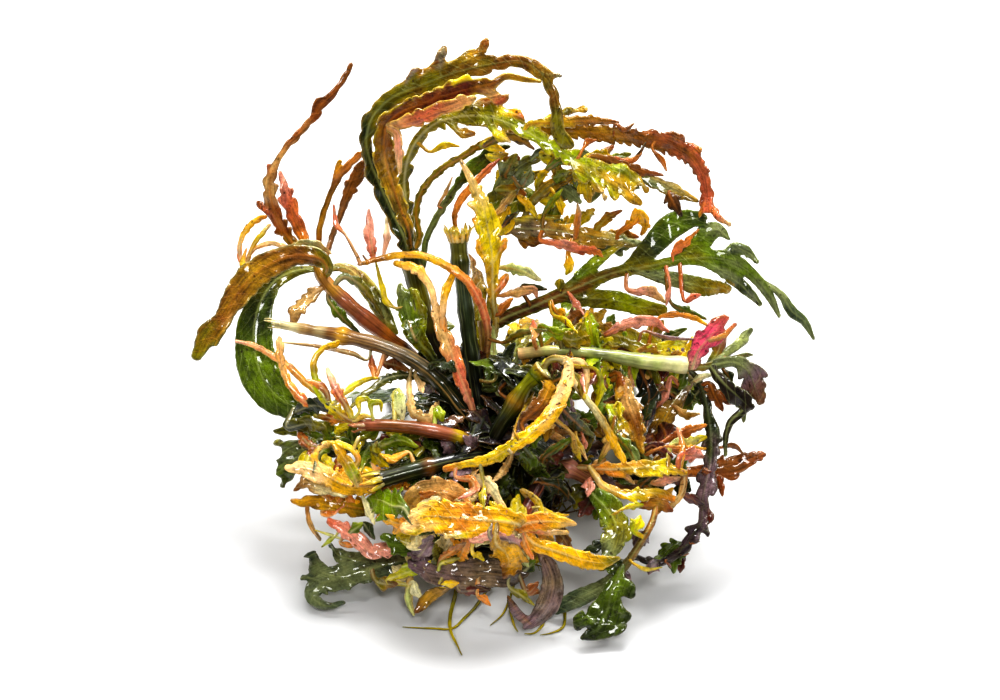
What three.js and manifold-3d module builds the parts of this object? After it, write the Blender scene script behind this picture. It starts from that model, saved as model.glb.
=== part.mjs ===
// Clump of hygrophila pinnatifida: a root crown, the stems that leave it, and the leaves on them.
// Millimetres, +Z up. The crown's flat underside rests at Z = 0, and the origin is at the middle of
// the clump's bounding box there.
import * as THREE from "three";
import { mergeVertices } from "three/addons/utils/BufferGeometryUtils.js";
import Module from "manifold-3d";

// Driving dimensions.
const HUB_HEIGHT = 18; // where the stems meet, above the surface
const VIEW_ELEVATION = THREE.MathUtils.degToRad(40); // how far down the eye looks
const EYE_DISTANCE = 378; // from the eye to the hub
const EYE_RIGHT = 1.6; // the line of sight passes this far right of the hub
const EYE_UP = 12.8; // and this far above it
const LEAF_HALF_THICKNESS = 0.5;
const LONG_STEP = 9; // a longer step of a route gets a section halfway
const SHORT_STEP = 2.8; // a point nearer than this to the section before gets none of its own
const STEM_SIDES = 6;
const CLEARANCE = 0.34; // between neighbours
const CROWN_RADIUS = 10.5;
const CROWN_SIDES = 18;

// Colours.
const BLACK_GREEN = 0x1e271d;
const DARK_BROWN = 0x3b2a20;
const RED_BROWN = 0x6b2f24;
const ROOT_BROWN = 0x4a3a24;
const OLIVE = 0x6b6a20;
const BRIGHT_GREEN = 0x7ea51c;
const LEAF_GREEN = 0x3f6b1d;
const DARK_GREEN = 0x263f22;
const BLUE_GREEN = 0x465745;
const GREY_GREEN = 0x7c876f;
const PALE_GREEN = 0xb9c58d;
const YELLOW = 0xdcc022;
const GOLD = 0xecb020;
const ORANGE = 0xdf8428;
const PEACH = 0xedae70;
const CORAL = 0xdc6248;
const PINK = 0xe99a88;
const RUST = 0x9a4516;
const BROWN = 0x7a4a28;
const OCHRE = 0xad7c24;
const CREAM = 0xe6dca6;
const PURPLE_GREY = 0x76666a;
const PURPLE_BLACK = 0x463c3e;

// A point of a route is [right, up, near, half width]: right of the hub, above it and towards the
// eye from it, as the eye sees it, and half the width that the eye sees there.
const STEMS = [
  {
    name: "upright_stem",
    colour: BLACK_GREEN,
    route: [[-0.6, -0.5, 0, 1.4], [-2, 6, 1, 1.35], [-3.4, 15.5, 2, 1.35], [-4.4, 24, 3, 1.3],
      [-4.9, 28.5, 3.6, 1.4],
      [-5.1, 31.3, 4, 1.8]],
  },
  {
    name: "short_brown_stem",
    colour: DARK_BROWN,
    route: [[0.6, 0.5, -3.5, 1.1], [0, 8, -2.6, 1.15], [-1, 17.6, -2, 1.1]],
  },
  {
    name: "forked_stem",
    colour: BLACK_GREEN,
    route: [[-2, 1.5, -4, 1.6], [-7.5, 9.5, -4.5, 1.6], [-10.8, 19.5, -3.5, 1.5], [-13, 28.6, -2, 1.8]],
  },
  {
    name: "arched_stem",
    colour: PURPLE_GREY,
    route: [[-1.8, 0.3, 2.4, 1.3], [-5, 4, 2.8, 1.35], [-8, 7.7, 3, 1.3], [-12, 11, 3, 1.2],
      [-17, 13.3, 3, 1.15],
      [-23, 14.9, 2.5, 1.25], [-29, 16, 2, 0.85], [-34.3, 17, 1.5, 0.65]],
  },
  {
    name: "glossy_red_stem",
    colour: RED_BROWN,
    route: [[-1, -3.6, 1.6, 0.9], [-2.8, -2.2, 6, 1], [-6, -0.9, 8, 1.15], [-11, 0.2, 8.5, 1.15],
      [-16, 0.7, 8.5, 1], [-21, 0.8, 8, 0.95]],
  },
  {
    name: "dark_red_stem",
    colour: RED_BROWN,
    route: [[-2, -6, 1, 0.7], [-4.6, -4.6, 5, 0.75], [-9, -3.2, 5.4, 0.8], [-13, -2.2, 5.6, 0.9],
      [-17.5, -1.2, 5.4, 0.7]],
  },
  {
    name: "lower_left_stem",
    colour: BLACK_GREEN,
    route: [[0.4, -6, 1.5, 1.1], [-1.4, -4.4, 6, 1.2], [-6, -5, 9, 1.25], [-12, -6.5, 10, 1.45],
      [-18.3, -8.2, 10.5, 1.55]],
  },
  {
    name: "open_end_stem",
    colour: BLACK_GREEN,
    route: [[0.6, -3.6, 0.8, 1.2], [0.4, -2, 4, 1.25], [2.2, 1.5, 6.5, 1.3], [4, 4.3, 8, 1.5],
      [5.9, 7.3, 9, 1.1], [8.4, 9.5, 9.6, 1.6]],
  },
  {
    name: "pale_stem",
    colour: PALE_GREEN,
    route: [[4.6, 12.2, 5, 1], [10, 12.7, 6, 0.85], [18, 12.1, 6.8, 1], [25, 11, 7.4, 1.3],
      [31.6, 10.4, 7.2, 1.4]],
  },
  {
    name: "lower_right_stem",
    colour: DARK_BROWN,
    route: [[1.8, -4.6, 0.6, 1.1], [3.4, -3.6, 4, 1.1], [8, -4.4, 6, 1.15], [12.8, -6.2, 7, 1.3],
      [17.5, -8.5, 7, 1.05], [25, -9.3, 6.5, 0.9]],
  },
  {
    name: "front_stem",
    colour: RED_BROWN,
    route: [[9.2, -5.8, 7.8, 0.9], [7.4, -9.5, 11, 1.2], [6, -12.5, 13.6, 1.15], [4.8, -15.3, 15.4, 0.9]],
  },
  {
    name: "rust_stem",
    colour: RUST,
    route: [[-1.5, -0.5, -6, 1], [-8, 7.5, -8.6, 1], [-12.5, 12, -6.5, 1], [-15.5, 14.3, -3, 1.1],
      [-19, 17.1, -0.5, 1.4],
      [-23, 20.4, 1, 1.4], [-26.6, 24.2, 0.6, 1.1], [-27.5, 26.2, -0.4, 1]],
  },
];

// A leaf has a midrib route, and lobes that lie on its sheet as [right, up, half width]. Its
// branches are routes of their own. Roll turns it about its midrib, in degrees at base and tip.
const LEAVES = [
  {
    name: "top_arch_leaf",
    colour: OLIVE,
    roll: [20, 10],
    route: [[-13.2, 28.8, -1.2, 0.9], [-13.9, 31, 0.2, 0.9], [-15.6, 34.5, 1, 1.1], [-17.6, 39, 3, 1.1],
      [-19.2, 43, 5, 0.9], [-19.8, 46.5, 7, 0.8],
      [-18.8, 50, 8.5, 1], [-16, 53, 10, 1.1], [-11, 55.2, 11, 1.4], [-5, 57.4, 12, 1.4],
        [0.5, 58.6, 12.5, 0.9],
      [5, 59, 13, 0.9], [8, 57.2, 13.5, 0.9], [9.8, 54.6, 13.5, 0.6], [10.6, 51, 13, 0.8], [11, 48, 12, 1],
      [12.2, 46, 11, 0.9]],
    lobes: [
      [[-13.5, 54.3, 0.5], [-11, 56.5, 0.8], [-8.2, 58.5, 0.3]],
      [[-6, 57.3, 0.7], [-4, 59, 1.2], [-1.8, 60, 1], [-0.5, 62, 0.4]],
    ],
  },
  {
    name: "inner_arch_leaf",
    colour: BROWN,
    roll: [30, 15],
    route: [[-12.7, 29.4, 0, 0.5], [-13, 31.6, 2.6, 0.6], [-14.6, 36, 4, 1], [-16.3, 41, 6.5, 1.3],
      [-17, 45, 9, 1.4], [-16.6, 48.5, 10.5, 1.2],
      [-14.5, 50.8, 11.8, 1.1], [-10.5, 52.4, 13, 1.2], [-6, 53.9, 13.8, 1.3], [-2, 55, 14, 1],
        [0.8, 55.6, 14, 0.5],
      [2.8, 56.6, 14, 0.5], [5.5, 56.1, 14.5, 0.4], [8, 55.8, 15.2, 0.25]],
    lobes: [
      [[-2, 55, 0.8], [0.2, 54, 0.9], [1.5, 53, 0.7], [3, 53.8, 0.3]],
    ],
    branches: [
      [[-16.6, 48.5, 10.5, 0.4], [-13, 49.3, 13.2, 0.9], [-9, 50.9, 14.5, 1], [-5, 52.3, 15, 0.9],
        [-2.6, 53.1, 15, 0.4]],
      [[-16.6, 48.5, 10.5, 0.5], [-14.9, 47.4, 11.6, 0.7], [-14.6, 44.5, 11, 0.6], [-14.4, 41.2, 10, 0.25]],
    ],
  },
  {
    name: "bridge_leaf",
    colour: YELLOW,
    roll: [10, -15],
    route: [[-12.6, 29, -2, 0.5], [-12.6, 31.4, -0.8, 0.6], [-13.4, 36, 1, 0.75], [-13.7, 40, 2, 0.75],
      [-12.9, 44, 4, 0.7], [-11, 47.2, 6, 0.7],
      [-8.3, 49.2, 8, 0.8], [-4, 50.2, 9, 1], [0, 50, 10, 1.1], [4.5, 48.3, 10.5, 0.9],
        [9, 45.9, 10.5, 0.9],
      [13.5, 43.2, 10, 1.1], [17.5, 40.8, 9.5, 1.5], [21, 38.8, 9, 1.4], [24, 36.4, 8.5, 0.4]],
    lobes: [
      [[-4.6, 50.4, 0.6], [-2, 52, 0.8], [1.4, 52.4, 0.6]],
      [[-6.2, 49.8, 0.4], [-5.2, 47.9, 0.7], [-2.4, 47.4, 0.6]],
      [[0, 50, 0.8], [3, 50.8, 0.9], [5, 50, 0.6]],
      [[-0.5, 49.9, 0.5], [1, 47.5, 0.8], [3.2, 46.3, 0.5]],
      [[6, 47.5, 0.5], [9, 49.5, 0.6], [12, 50.8, 0.5], [15, 51.2, 0.5]],
      [[14.5, 42.4, 0.8], [17, 39.5, 0.8], [18.3, 37.2, 0.4]],
      [[16, 41.6, 0.6], [20, 42, 0.8], [23, 40.4, 0.9], [25, 38.4, 0.4]],
    ],
  },
  {
    name: "right_arch_leaf",
    colour: RUST,
    roll: [20, 25],
    route: [[-12.2, 28.6, -3.2, 0.5], [-11.3, 31, -3, 0.5], [-11.9, 34.5, -2.2, 0.5],
      [-10.8, 38.3, -1, 0.5], [-8, 41.5, 1, 0.5], [-4, 44, 3, 0.5],
      [0, 46.3, 5, 0.5], [6, 47.8, 6.6, 0.7], [12, 48, 7, 0.9], [18, 47.4, 7.6, 1], [24, 46.6, 8.2, 1],
      [29, 45.7, 8.8, 1.4], [32.3, 43.6, 9, 1.1], [34.1, 40.7, 8.5, 0.8], [34.7, 37.8, 8, 0.8],
        [34.6, 35.6, 8, 0.7]],
    lobes: [
      [[34.6, 36.5, 0.6], [33.2, 34, 0.3]],
      [[34.6, 36, 0.3], [36.5, 34, 0.5], [38, 32.9, 0.4]],
      [[29, 46, 1], [30.6, 46.9, 0.5]],
    ],
    branches: [[[16.9, 47.4, 7.8, 0.4], [17.9, 50.2, 8.6, 0.4], [19.2, 52.2, 9, 0.8],
      [20.8, 53.4, 9, 0.6], [22.5, 54.2, 9, 0.35]]],
  },
  {
    name: "dark_glossy_leaf",
    colour: DARK_GREEN,
    roll: [20, -20],
    route: [[5.4, 33.8, 1.6, 0.4], [6.6, 36.2, 3, 0.6], [10, 39.3, 4.5, 0.9], [14.5, 41.3, 6, 0.7],
      [20.3, 41.2, 6.4, 0.8], [24.5, 40.3, 6.5, 0.9],
      [28.5, 38.7, 6.5, 0.9], [31, 37.6, 6.5, 0.7], [33.1, 36.7, 6.5, 0.3]],
  },
  {
    name: "whip_leaves",
    colour: RED_BROWN,
    roll: [-20, 25],
    route: [[-27.9, 26, -0.8, 0.4], [-30, 28, -1, 0.6], [-32, 30.5, -1, 0.8], [-33.8, 33.3, 0, 0.9],
      [-34.9, 36.5, 1, 0.9],
      [-35.2, 39.5, 2, 0.8], [-34.5, 42, 2.5, 0.5], [-32.8, 45, 3, 0.4], [-30.3, 47.7, 3.5, 0.5],
        [-28.3, 50, 4, 0.5],
      [-26.8, 52.3, 4.5, 0.7], [-24.8, 54.3, 5, 0.4], [-23.3, 56.3, 5, 0.4], [-22.3, 58.4, 5, 0.3]],
    lobes: [
      [[-34, 34, 0.6], [-35.5, 35, 0.7], [-36.9, 36, 0.4]],
      [[-35, 40.5, 0.5], [-35.5, 42.3, 0.3]],
    ],
    branches: [[[-27.9, 26, -1, 0.4], [-28.8, 28.4, -2.8, 0.5], [-30.2, 31.6, -3, 0.9],
      [-31.5, 34.5, -2.4, 1],
      [-32.5, 37.5, -1.5, 0.9], [-33.6, 41.2, -1, 0.3]]],
  },
  {
    name: "reed_leaves",
    colour: OCHRE,
    roll: [10, 30],
    route: [[-27, 25.6, -1.6, 0.4], [-27.4, 29.6, -4.2, 0.4], [-27.1, 33, -3.6, 0.4],
      [-26, 36.5, -2.6, 0.4],
      [-24.6, 39.8, -1.4, 0.4], [-22.8, 42.2, -0.4, 0.5], [-20.6, 44.2, 0.4, 0.45]],
    lobes: [[[-24.6, 39.8, 0.4], [-24.2, 42, 0.6], [-23.9, 43, 0.3]]],
    branches: [[[-27, 25.6, -1.6, 0.4], [-25.8, 29.2, -4.6, 0.4], [-24.9, 32, -4.8, 0.4],
      [-23.6, 35.2, -4.4, 0.5],
      [-22.5, 38.3, -4, 0.8], [-21.2, 41, -3.6, 1], [-20.4, 42.8, -3.4, 0.4]]],
  },
  {
    name: "mottled_leaf",
    colour: OCHRE,
    roll: [-25, 20],
    route: [[-26.4, 24.9, 1.4, 0.6], [-26, 25.9, 3, 0.8], [-26.8, 27.2, 3.4, 1.2], [-30.5, 28, 3.6, 1.4],
      [-34.5, 26.9, 3.6, 1.8],
      [-38.2, 24.4, 3.4, 2], [-40.8, 21.2, 3, 1.7], [-43, 17.9, 2.5, 1], [-45.2, 15.2, 2, 1.6],
        [-46.9, 12, 1.5, 0.8]],
    lobes: [[[-41.2, 20.5, 0.6], [-42, 17.2, 0.6], [-43.8, 13.7, 0.4]]],
  },
  {
    name: "green_hoop_leaf",
    colour: LEAF_GREEN,
    roll: [20, -10],
    route: [[-27.2, 25.5, 0, 0.4], [-28.8, 25.7, 0.2, 0.5], [-31.3, 25.3, 0, 0.9],
      [-34.3, 23.8, 0.2, 1.3], [-36.6, 20.6, 0.6, 2.1],
      [-37.7, 16.6, 1, 2.9], [-37.6, 12.4, 1.5, 3.2], [-36.5, 8.6, 2, 3.4], [-34.2, 5.5, 2.4, 3],
        [-31, 3.6, 2.6, 2],
      [-28.6, 3.1, 2.4, 1], [-26.9, 3.8, 2, 0.3]],
  },
  {
    name: "crinkled_olive_leaf",
    colour: OLIVE,
    roll: [-20, 10],
    route: [[-26.4, 25.2, -0.8, 0.4], [-24.6, 26, -1.8, 0.6], [-22.5, 25.6, -1.8, 1],
      [-20.2, 23.5, -1.8, 1.4], [-18, 20.3, -1.8, 1.4],
      [-16.4, 17.3, -2, 1.2], [-15, 15.6, -2.4, 0.4]],
  },
  {
    name: "fine_yellow_shoot",
    colour: YELLOW,
    roll: [0, 20],
    route: [[-37.8, 24.2, 2.2, 0.35], [-39.3, 25.6, 1, 0.35], [-40.1, 28.6, 0.8, 0.35],
      [-39.5, 31.2, 1, 0.35], [-38, 33.1, 1, 0.45],
      [-36, 34.2, 1, 0.3]],
    branches: [
      [[-39.3, 25.6, 0.6, 0.3], [-38, 29.3, 1.6, 0.3], [-36.8, 31, 2, 0.35], [-35.3, 32.8, 2.2, 0.25]],
      [[-39.3, 25.6, 0.6, 0.3], [-38, 28.7, 0.4, 0.3], [-35.5, 29.8, 0.2, 0.35], [-32.9, 29.5, 0.2, 0.3]],
    ],
  },
  {
    name: "ring_leaf_shoot",
    colour: YELLOW,
    roll: [0, 20],
    route: [[-21.3, 1.1, 8.2, 0.5], [-24, 2.6, 8.8, 0.8], [-26.4, 4.9, 9, 0.7], [-27.9, 8, 9, 0.5],
      [-28.1, 11, 9, 0.4],
      [-26.8, 13, 8.5, 0.35], [-24.3, 13.9, 6.8, 0.4]],
    branches: [
      [[-22.2, 2.2, 8.8, 0.4], [-23, 3.8, 9.8, 0.5], [-24.4, 6, 10, 0.7], [-25.3, 8, 10, 0.5],
        [-26, 9.8, 10, 0.25]],
      [[-23.6, 2.6, 8.6, 0.4], [-27.2, 5.5, 6.8, 0.35], [-29.5, 7.6, 6, 0.45], [-32, 10, 5.8, 0.5],
        [-35, 12, 5.4, 0.45],
        [-38, 13.6, 5, 0.35], [-40.6, 14.2, 4.6, 0.25]],
      [[-23.4, 2.4, 8.4, 0.4], [-27.9, 3.8, 7.2, 0.35], [-30.3, 5.1, 7.4, 0.7], [-32.3, 7.8, 7.4, 0.45],
        [-33.4, 10.8, 7.4, 0.5], [-33.7, 14.3, 7.4, 0.5]],
      [[-22.4, 1.6, 8.2, 0.4], [-25, 1.8, 6.8, 0.7], [-28, 2.3, 6, 0.3]],
    ],
  },
  {
    name: "left_dark_leaves",
    colour: DARK_GREEN,
    roll: [20, -10],
    route: [[-17.4, -1.6, 4.9, 0.4], [-19.6, -2.7, 3.8, 0.6], [-23.5, -2.8, 3.6, 1],
      [-27.5, -3.2, 3.8, 1.8], [-31, -4.6, 4, 2], [-33.6, -6.6, 4, 0.6]],
    lobes: [
      [[-29.6, -4, 0.7], [-32, -2.5, 0.7], [-34, -2, 0.4]],
      [[-31, -5, 0.8], [-32.5, -7.5, 0.8], [-33.2, -8.8, 0.4]],
    ],
    branches: [
      [[-19.6, -2.7, 3.8, 0.4], [-21.6, -0.8, 5.2, 0.8], [-24, -0.3, 4.8, 0.9], [-27, 0.3, 4, 0.8],
        [-29.6, 0.5, 3, 0.3]],
      [[-19.6, -2.7, 3.8, 0.4], [-22.8, -1.2, 2, 0.5], [-27, -1, 0.6, 0.8], [-31, 0, 0.6, 1],
        [-34.4, -0.2, 0.6, 0.3]],
    ],
  },
  {
    name: "peach_shoot",
    colour: PEACH,
    roll: [0, 20],
    route: [[-19, -9, 10.8, 1], [-23, -8.8, 11.5, 1.3], [-26.5, -7.2, 12, 1.2], [-29.5, -6.2, 12, 1],
      [-32.3, -6.1, 12, 0.5]],
    lobes: [[[-26, -7.4, 0.5], [-28.2, -4.5, 0.45], [-26.8, -2.7, 0.45], [-25.3, -2.2, 0.4]]],
    branches: [
      [[-21, -8.9, 11.2, 0.7], [-22.2, -6.4, 13.6, 0.9], [-23.6, -4.2, 14, 0.7], [-24.8, -2.3, 14, 0.45]],
      [[-22.2, -6.4, 13.6, 0.4], [-21.1, -5, 13.8, 0.4], [-21.9, -3.2, 14, 0.4], [-24.4, -2, 14, 0.4]],
      [[-21.9, -3.2, 14, 0.3], [-21, -1.2, 14, 0.25]],
    ],
  },
  {
    name: "ochre_leaf",
    colour: OCHRE,
    roll: [20, 0],
    route: [[-17.4, -8.8, 9.2, 0.4], [-17.6, -11.2, 7.8, 0.5], [-19.4, -12.6, 7.6, 0.9],
      [-21.4, -12.5, 8, 1.2], [-24, -11.9, 8.8, 1.1], [-27.5, -11.3, 9, 0.9],
      [-30.3, -11.6, 9, 0.6], [-31.6, -11.3, 9, 0.3]],
    branches: [[[-29.4, -11.6, 9, 0.3], [-28.8, -15, 9, 0.35], [-27.2, -17.5, 9, 0.25]]],
  },
  {
    name: "low_pink_leaf",
    colour: PINK,
    roll: [10, 20],
    route: [[-7, -11.6, -1, 0.5], [-11, -15.4, 4, 0.5], [-13.6, -17.5, 7.6, 0.6], [-16.8, -19, 9, 1.1],
      [-19, -19.5, 9.2, 1], [-21, -17.8, 9.4, 1.1],
      [-23.2, -15.9, 9.5, 0.9], [-25.6, -14.6, 9.5, 0.5]],
  },
  {
    name: "hooked_leaf",
    colour: BLUE_GREEN,
    roll: [15, 0],
    route: [[-3.4, -16, -0.4, 0.7], [-9, -20.2, 3.4, 0.8], [-14, -21, 5, 1.5], [-19, -22.2, 5.4, 1.5],
      [-23.5, -23.6, 5.8, 1.9], [-27, -24.6, 6, 1.4],
      [-28.4, -26.6, 6.4, 0.9], [-26.2, -28.2, 7.2, 0.6], [-23.4, -27.6, 7.4, 0.3]],
    lobes: [
      [[-16.5, -21.6, 0.8], [-20.5, -21, 1.2], [-24, -20.2, 1.1], [-25.4, -18.6, 0.3]],
      [[-23.5, -23.5, 1], [-26.6, -22.9, 1], [-28.3, -19.8, 0.3]],
    ],
  },
  {
    name: "front_dark_leaf",
    colour: DARK_GREEN,
    roll: [20, 0],
    route: [[-3, -13.6, 1.6, 0.5], [-6.6, -15.6, 7, 0.6], [-10.8, -17, 11, 1.5], [-14.3, -18, 12, 1.7],
      [-16.8, -17.2, 12, 0.6]],
  },
  {
    name: "amber_cupped_leaf",
    colour: ORANGE,
    roll: [15, -15],
    route: [[-0.6, -8.6, 2, 0.5], [-2.2, -11, 9, 0.6], [-4, -11.6, 13, 0.9], [-5.8, -10.4, 14.6, 1.6],
      [-8.5, -10, 15, 2], [-11.5, -10.8, 14.6, 1.9],
      [-13.3, -12.9, 13.8, 1]],
  },
  {
    name: "golden_leaf",
    colour: GOLD,
    roll: [-10, 15],
    route: [[5, -15.8, 16.2, 0.7], [4.4, -15, 17.8, 1.4], [2, -14.6, 18.6, 1.8], [-2, -14.4, 19, 2],
      [-6.5, -14, 18.8, 2.1], [-10.3, -13.9, 18.2, 2],
      [-13.7, -15.6, 17.6, 0.6]],
    lobes: [
      [[-9.5, -14.6, 0.8], [-12, -16.2, 0.6], [-13.6, -15.9, 0.4]],
      [[0, -15, 0.9], [-4, -16.4, 0.8], [-7, -16.8, 0.3]],
    ],
    branches: [
      [[4.6, -15.4, 16.8, 0.9], [6.6, -14.8, 17.6, 1.2], [9.5, -14.6, 17.6, 1.2], [13.6, -15, 17, 0.3]],
      [[4.9, -15.7, 16.4, 0.4], [9, -16.3, 16.6, 0.45], [12.3, -16.4, 16.4, 0.3]],
      [[4.9, -15.8, 16.4, 0.6], [7, -18.1, 16.2, 0.9], [11, -19.5, 15.5, 1], [15, -20.8, 15, 1.2],
        [18, -21.2, 14.5, 0.9],
        [20.6, -20.5, 14, 0.3]],
    ],
  },
  {
    name: "crinkled_gold_leaf",
    colour: GOLD,
    roll: [20, -20],
    route: [[8.6, 10, 10, 0.4], [9.8, 11.3, 11.8, 0.5], [12.4, 10.8, 13.5, 0.6], [12.3, 8, 14.5, 0.9],
      [11.3, 5.2, 15.5, 1], [9.6, 2.3, 16, 1.1],
      [7, -0.2, 16.5, 1], [4, -2.3, 17, 0.9], [0, -4.6, 17, 0.8], [-4, -5.5, 16.5, 0.5],
        [-7, -6.2, 16, 0.5]],
    branches: [
      [[12.2, 10.8, 13.2, 0.5], [14, 11, 12.8, 0.5], [15.2, 10, 12.5, 0.5], [15.5, 7.8, 12.5, 0.4],
        [15.1, 5.2, 12.6, 0.3]],
      [[12.4, 9, 13.6, 0.4], [14.9, 5.6, 12.5, 0.45], [17.3, 2.5, 12, 0.5], [19.3, -1, 11.5, 0.6],
        [20.6, -3.6, 11.2, 0.6],
        [21.4, -4.8, 11.2, 0.4]],
    ],
  },
  {
    name: "purple_folded_leaf",
    colour: PURPLE_GREY,
    roll: [-15, 15],
    route: [[3.4, -14.6, 0.2, 0.5], [5, -19.2, 7, 0.5], [5.6, -21.8, 11.4, 0.8], [3.4, -23.2, 12.5, 1.5],
      [0, -23, 12.5, 2], [-5, -23.2, 12, 2], [-9, -22.6, 11.5, 1.8],
      [-12.4, -21.4, 11, 0.7]],
    branches: [[[-5, -23.6, 11.6, 0.4], [-7.2, -25.4, 10.4, 0.5], [-9.3, -26.4, 10, 0.9],
      [-10.7, -27.8, 10, 0.8],
      [-11.8, -29, 10.2, 0.35]]],
  },
  {
    name: "purple_hanging_leaf",
    colour: PURPLE_GREY,
    roll: [10, -15],
    route: [[5.2, -13.6, 0.4, 0.5], [7, -16.8, 7, 0.5], [7.8, -19, 12.4, 0.5], [9.5, -22, 13, 1.3],
      [10, -25, 12.5, 1.8], [9.2, -28, 12, 1.9], [7.2, -30.4, 11.2, 1.2],
      [5.6, -31.6, 11, 0.4]],
    lobes: [[[6.4, -31, 0.6], [4.4, -29, 0.8], [3.4, -26.6, 0.6]]],
  },
  {
    name: "cream_leaf",
    colour: CREAM,
    roll: [0, 25],
    route: [[-5.2, -13.8, 0, 0.4], [-10.2, -17.8, 4.4, 0.4], [-12.3, -20.6, 7.6, 0.4],
      [-12.9, -24.5, 8.4, 0.6], [-13, -27.2, 8.4, 0.7], [-12.2, -29.5, 8.8, 0.3]],
  },
  {
    name: "grey_bow_leaf",
    colour: GREY_GREEN,
    roll: [35, 15],
    route: [[25.2, -9.8, 7, 0.45], [26.4, -12.2, 9.8, 0.45], [26, -14.6, 11, 0.5], [24, -18.2, 11, 0.55],
      [21.2, -22.2, 10.5, 0.7], [18, -25, 9.6, 1.1], [14, -27, 8.8, 1.4], [10.8, -28.4, 8.4, 1.1]],
  },
  {
    name: "dark_lobed_leaf",
    colour: DARK_GREEN,
    roll: [10, -5],
    route: [[21.2, -21.8, 11.2, 0.4], [19.5, -26, 12.4, 1.3], [18.5, -29.5, 12.4, 2.6],
      [17.3, -32, 12.9, 1.5],
      [14.9, -33.2, 13.2, 0.4]],
    lobes: [
      [[19.8, -25, 0.9], [21.6, -25.3, 1.1], [22.4, -26.3, 0.6]],
      [[19.2, -28.5, 1], [21.8, -29.8, 0.5]],
      [[17.8, -29.5, 1], [15, -30.2, 1], [14, -31.5, 0.5]],
      [[18.2, -31, 1], [20.3, -31.4, 0.9], [21.4, -31.2, 0.3]],
    ],
  },
  {
    name: "bright_hanging_leaf",
    colour: LEAF_GREEN,
    roll: [20, -15],
    route: [[16.4, -8.2, 7.8, 0.5], [16.2, -9.9, 9.8, 0.8], [18.4, -12.3, 11, 1.6],
      [20.2, -15.5, 12, 1.9], [19.6, -18.6, 12.4, 1.6], [18.6, -20.4, 12.6, 0.6]],
  },
  {
    name: "black_chain_leaf",
    colour: PURPLE_BLACK,
    roll: [15, 40],
    route: [[32.2, 9.4, 6.6, 0.4], [33.6, 7.6, 5.6, 0.45], [34.8, 3.5, 6, 0.7], [35.4, -1.5, 6.5, 0.9],
      [35.2, -5.5, 7, 0.95], [34.5, -9, 7, 1.1],
      [34, -12.3, 7, 0.6], [33.9, -14.6, 7, 0.5], [32.6, -16.6, 6.8, 0.8], [31, -19, 6.5, 0.7],
        [28.4, -20.8, 6.3, 0.45],
      [25.8, -21.1, 6.2, 0.45], [23, -20.2, 6, 0.4]],
    lobes: [
      [[35.3, -0.6, 0.5], [36.8, -1.6, 0.4]],
    ],
  },
  {
    name: "rust_blade_leaf",
    colour: RUST,
    roll: [20, -20],
    route: [[25.4, -8.8, 5.8, 0.4], [28, -7.4, 4.6, 0.5], [33, -6.6, 4.6, 0.7], [36, -6.3, 4.8, 1.1],
      [38.8, -5.9, 4.8, 1.2], [41.3, -4.8, 4.8, 0.9],
      [43.6, -3.9, 4.8, 0.4]],
  },
  {
    name: "olive_brown_leaf",
    colour: OLIVE,
    roll: [15, 0],
    route: [[31.8, 9.6, 6, 0.4], [32.2, 8, 4, 0.5], [30.6, 6.3, 3.8, 1.2], [28.7, 3.5, 4, 1.5],
      [27, 0.5, 4, 1.4], [25.6, -1.4, 4, 0.6]],
  },
  {
    name: "olive_highlight_leaf",
    colour: OLIVE,
    roll: [-15, 10],
    route: [[25, -9.4, 7, 0.35], [25.9, -7.8, 8.6, 0.35], [25.4, -5.2, 9, 0.4], [23.4, -2.6, 9, 0.9],
      [21, 0.3, 8.8, 1.2],
      [19.2, 3.5, 8.4, 0.7]],
  },
  {
    name: "right_dark_leaf",
    colour: DARK_GREEN,
    roll: [10, 20],
    route: [[3.4, 0.4, 5.2, 0.4], [6.6, 0.4, 7, 0.5], [9.8, 0.6, 8.5, 0.7], [13, 1.3, 9, 1.2],
      [16.5, 1.9, 8.8, 1.1], [18.6, 4.4, 7, 0.9], [19.3, 7, 6, 0.6],
      [18.8, 9.2, 5.6, 0.3]],
  },
  {
    name: "right_yellow_leaf",
    colour: YELLOW,
    roll: [10, -20],
    route: [[14.4, -6, 8.2, 0.4], [20, -6.3, 9.8, 0.9], [24, -6, 10.6, 1], [28, -6.1, 10.6, 1],
      [31.2, -6.8, 9.8, 0.4]],
    branches: [
      [[16, -6, 9.6, 0.4], [18.3, -9, 10.4, 0.5], [22.5, -10.4, 10.6, 0.8], [26.5, -10.1, 10.4, 0.8],
        [29.4, -11, 9.6, 0.4]],
      [[28, -6.2, 10.4, 0.5], [30.9, -7, 9.8, 0.45], [30.6, -10.3, 9.6, 0.45], [28.3, -12.8, 9.4, 0.4]],
      [[30.2, -6.6, 10, 0.4], [30.8, -3, 9.6, 0.45], [30.1, 0.2, 9.2, 0.3]],
    ],
  },
  {
    name: "big_right_leaf",
    colour: GREY_GREEN,
    roll: [0, 10],
    cup: -0.03,
    route: [[-0.4, 15.8, -1.8, 0.8], [1.6, 17.5, 0, 1.1], [8, 20.2, 1.5, 1.1], [14, 22.8, 2.5, 1.2],
      [20, 25.2, 4, 0.9], [26, 26.3, 6, 0.7],
      [31, 27.3, 7, 0.9], [35, 27.6, 7, 1.3], [39, 26.8, 6.5, 1.3], [42, 24.8, 6, 0.9],
        [44.5, 21.8, 5, 0.8],
      [46.3, 18.2, 4, 0.3]],
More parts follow.
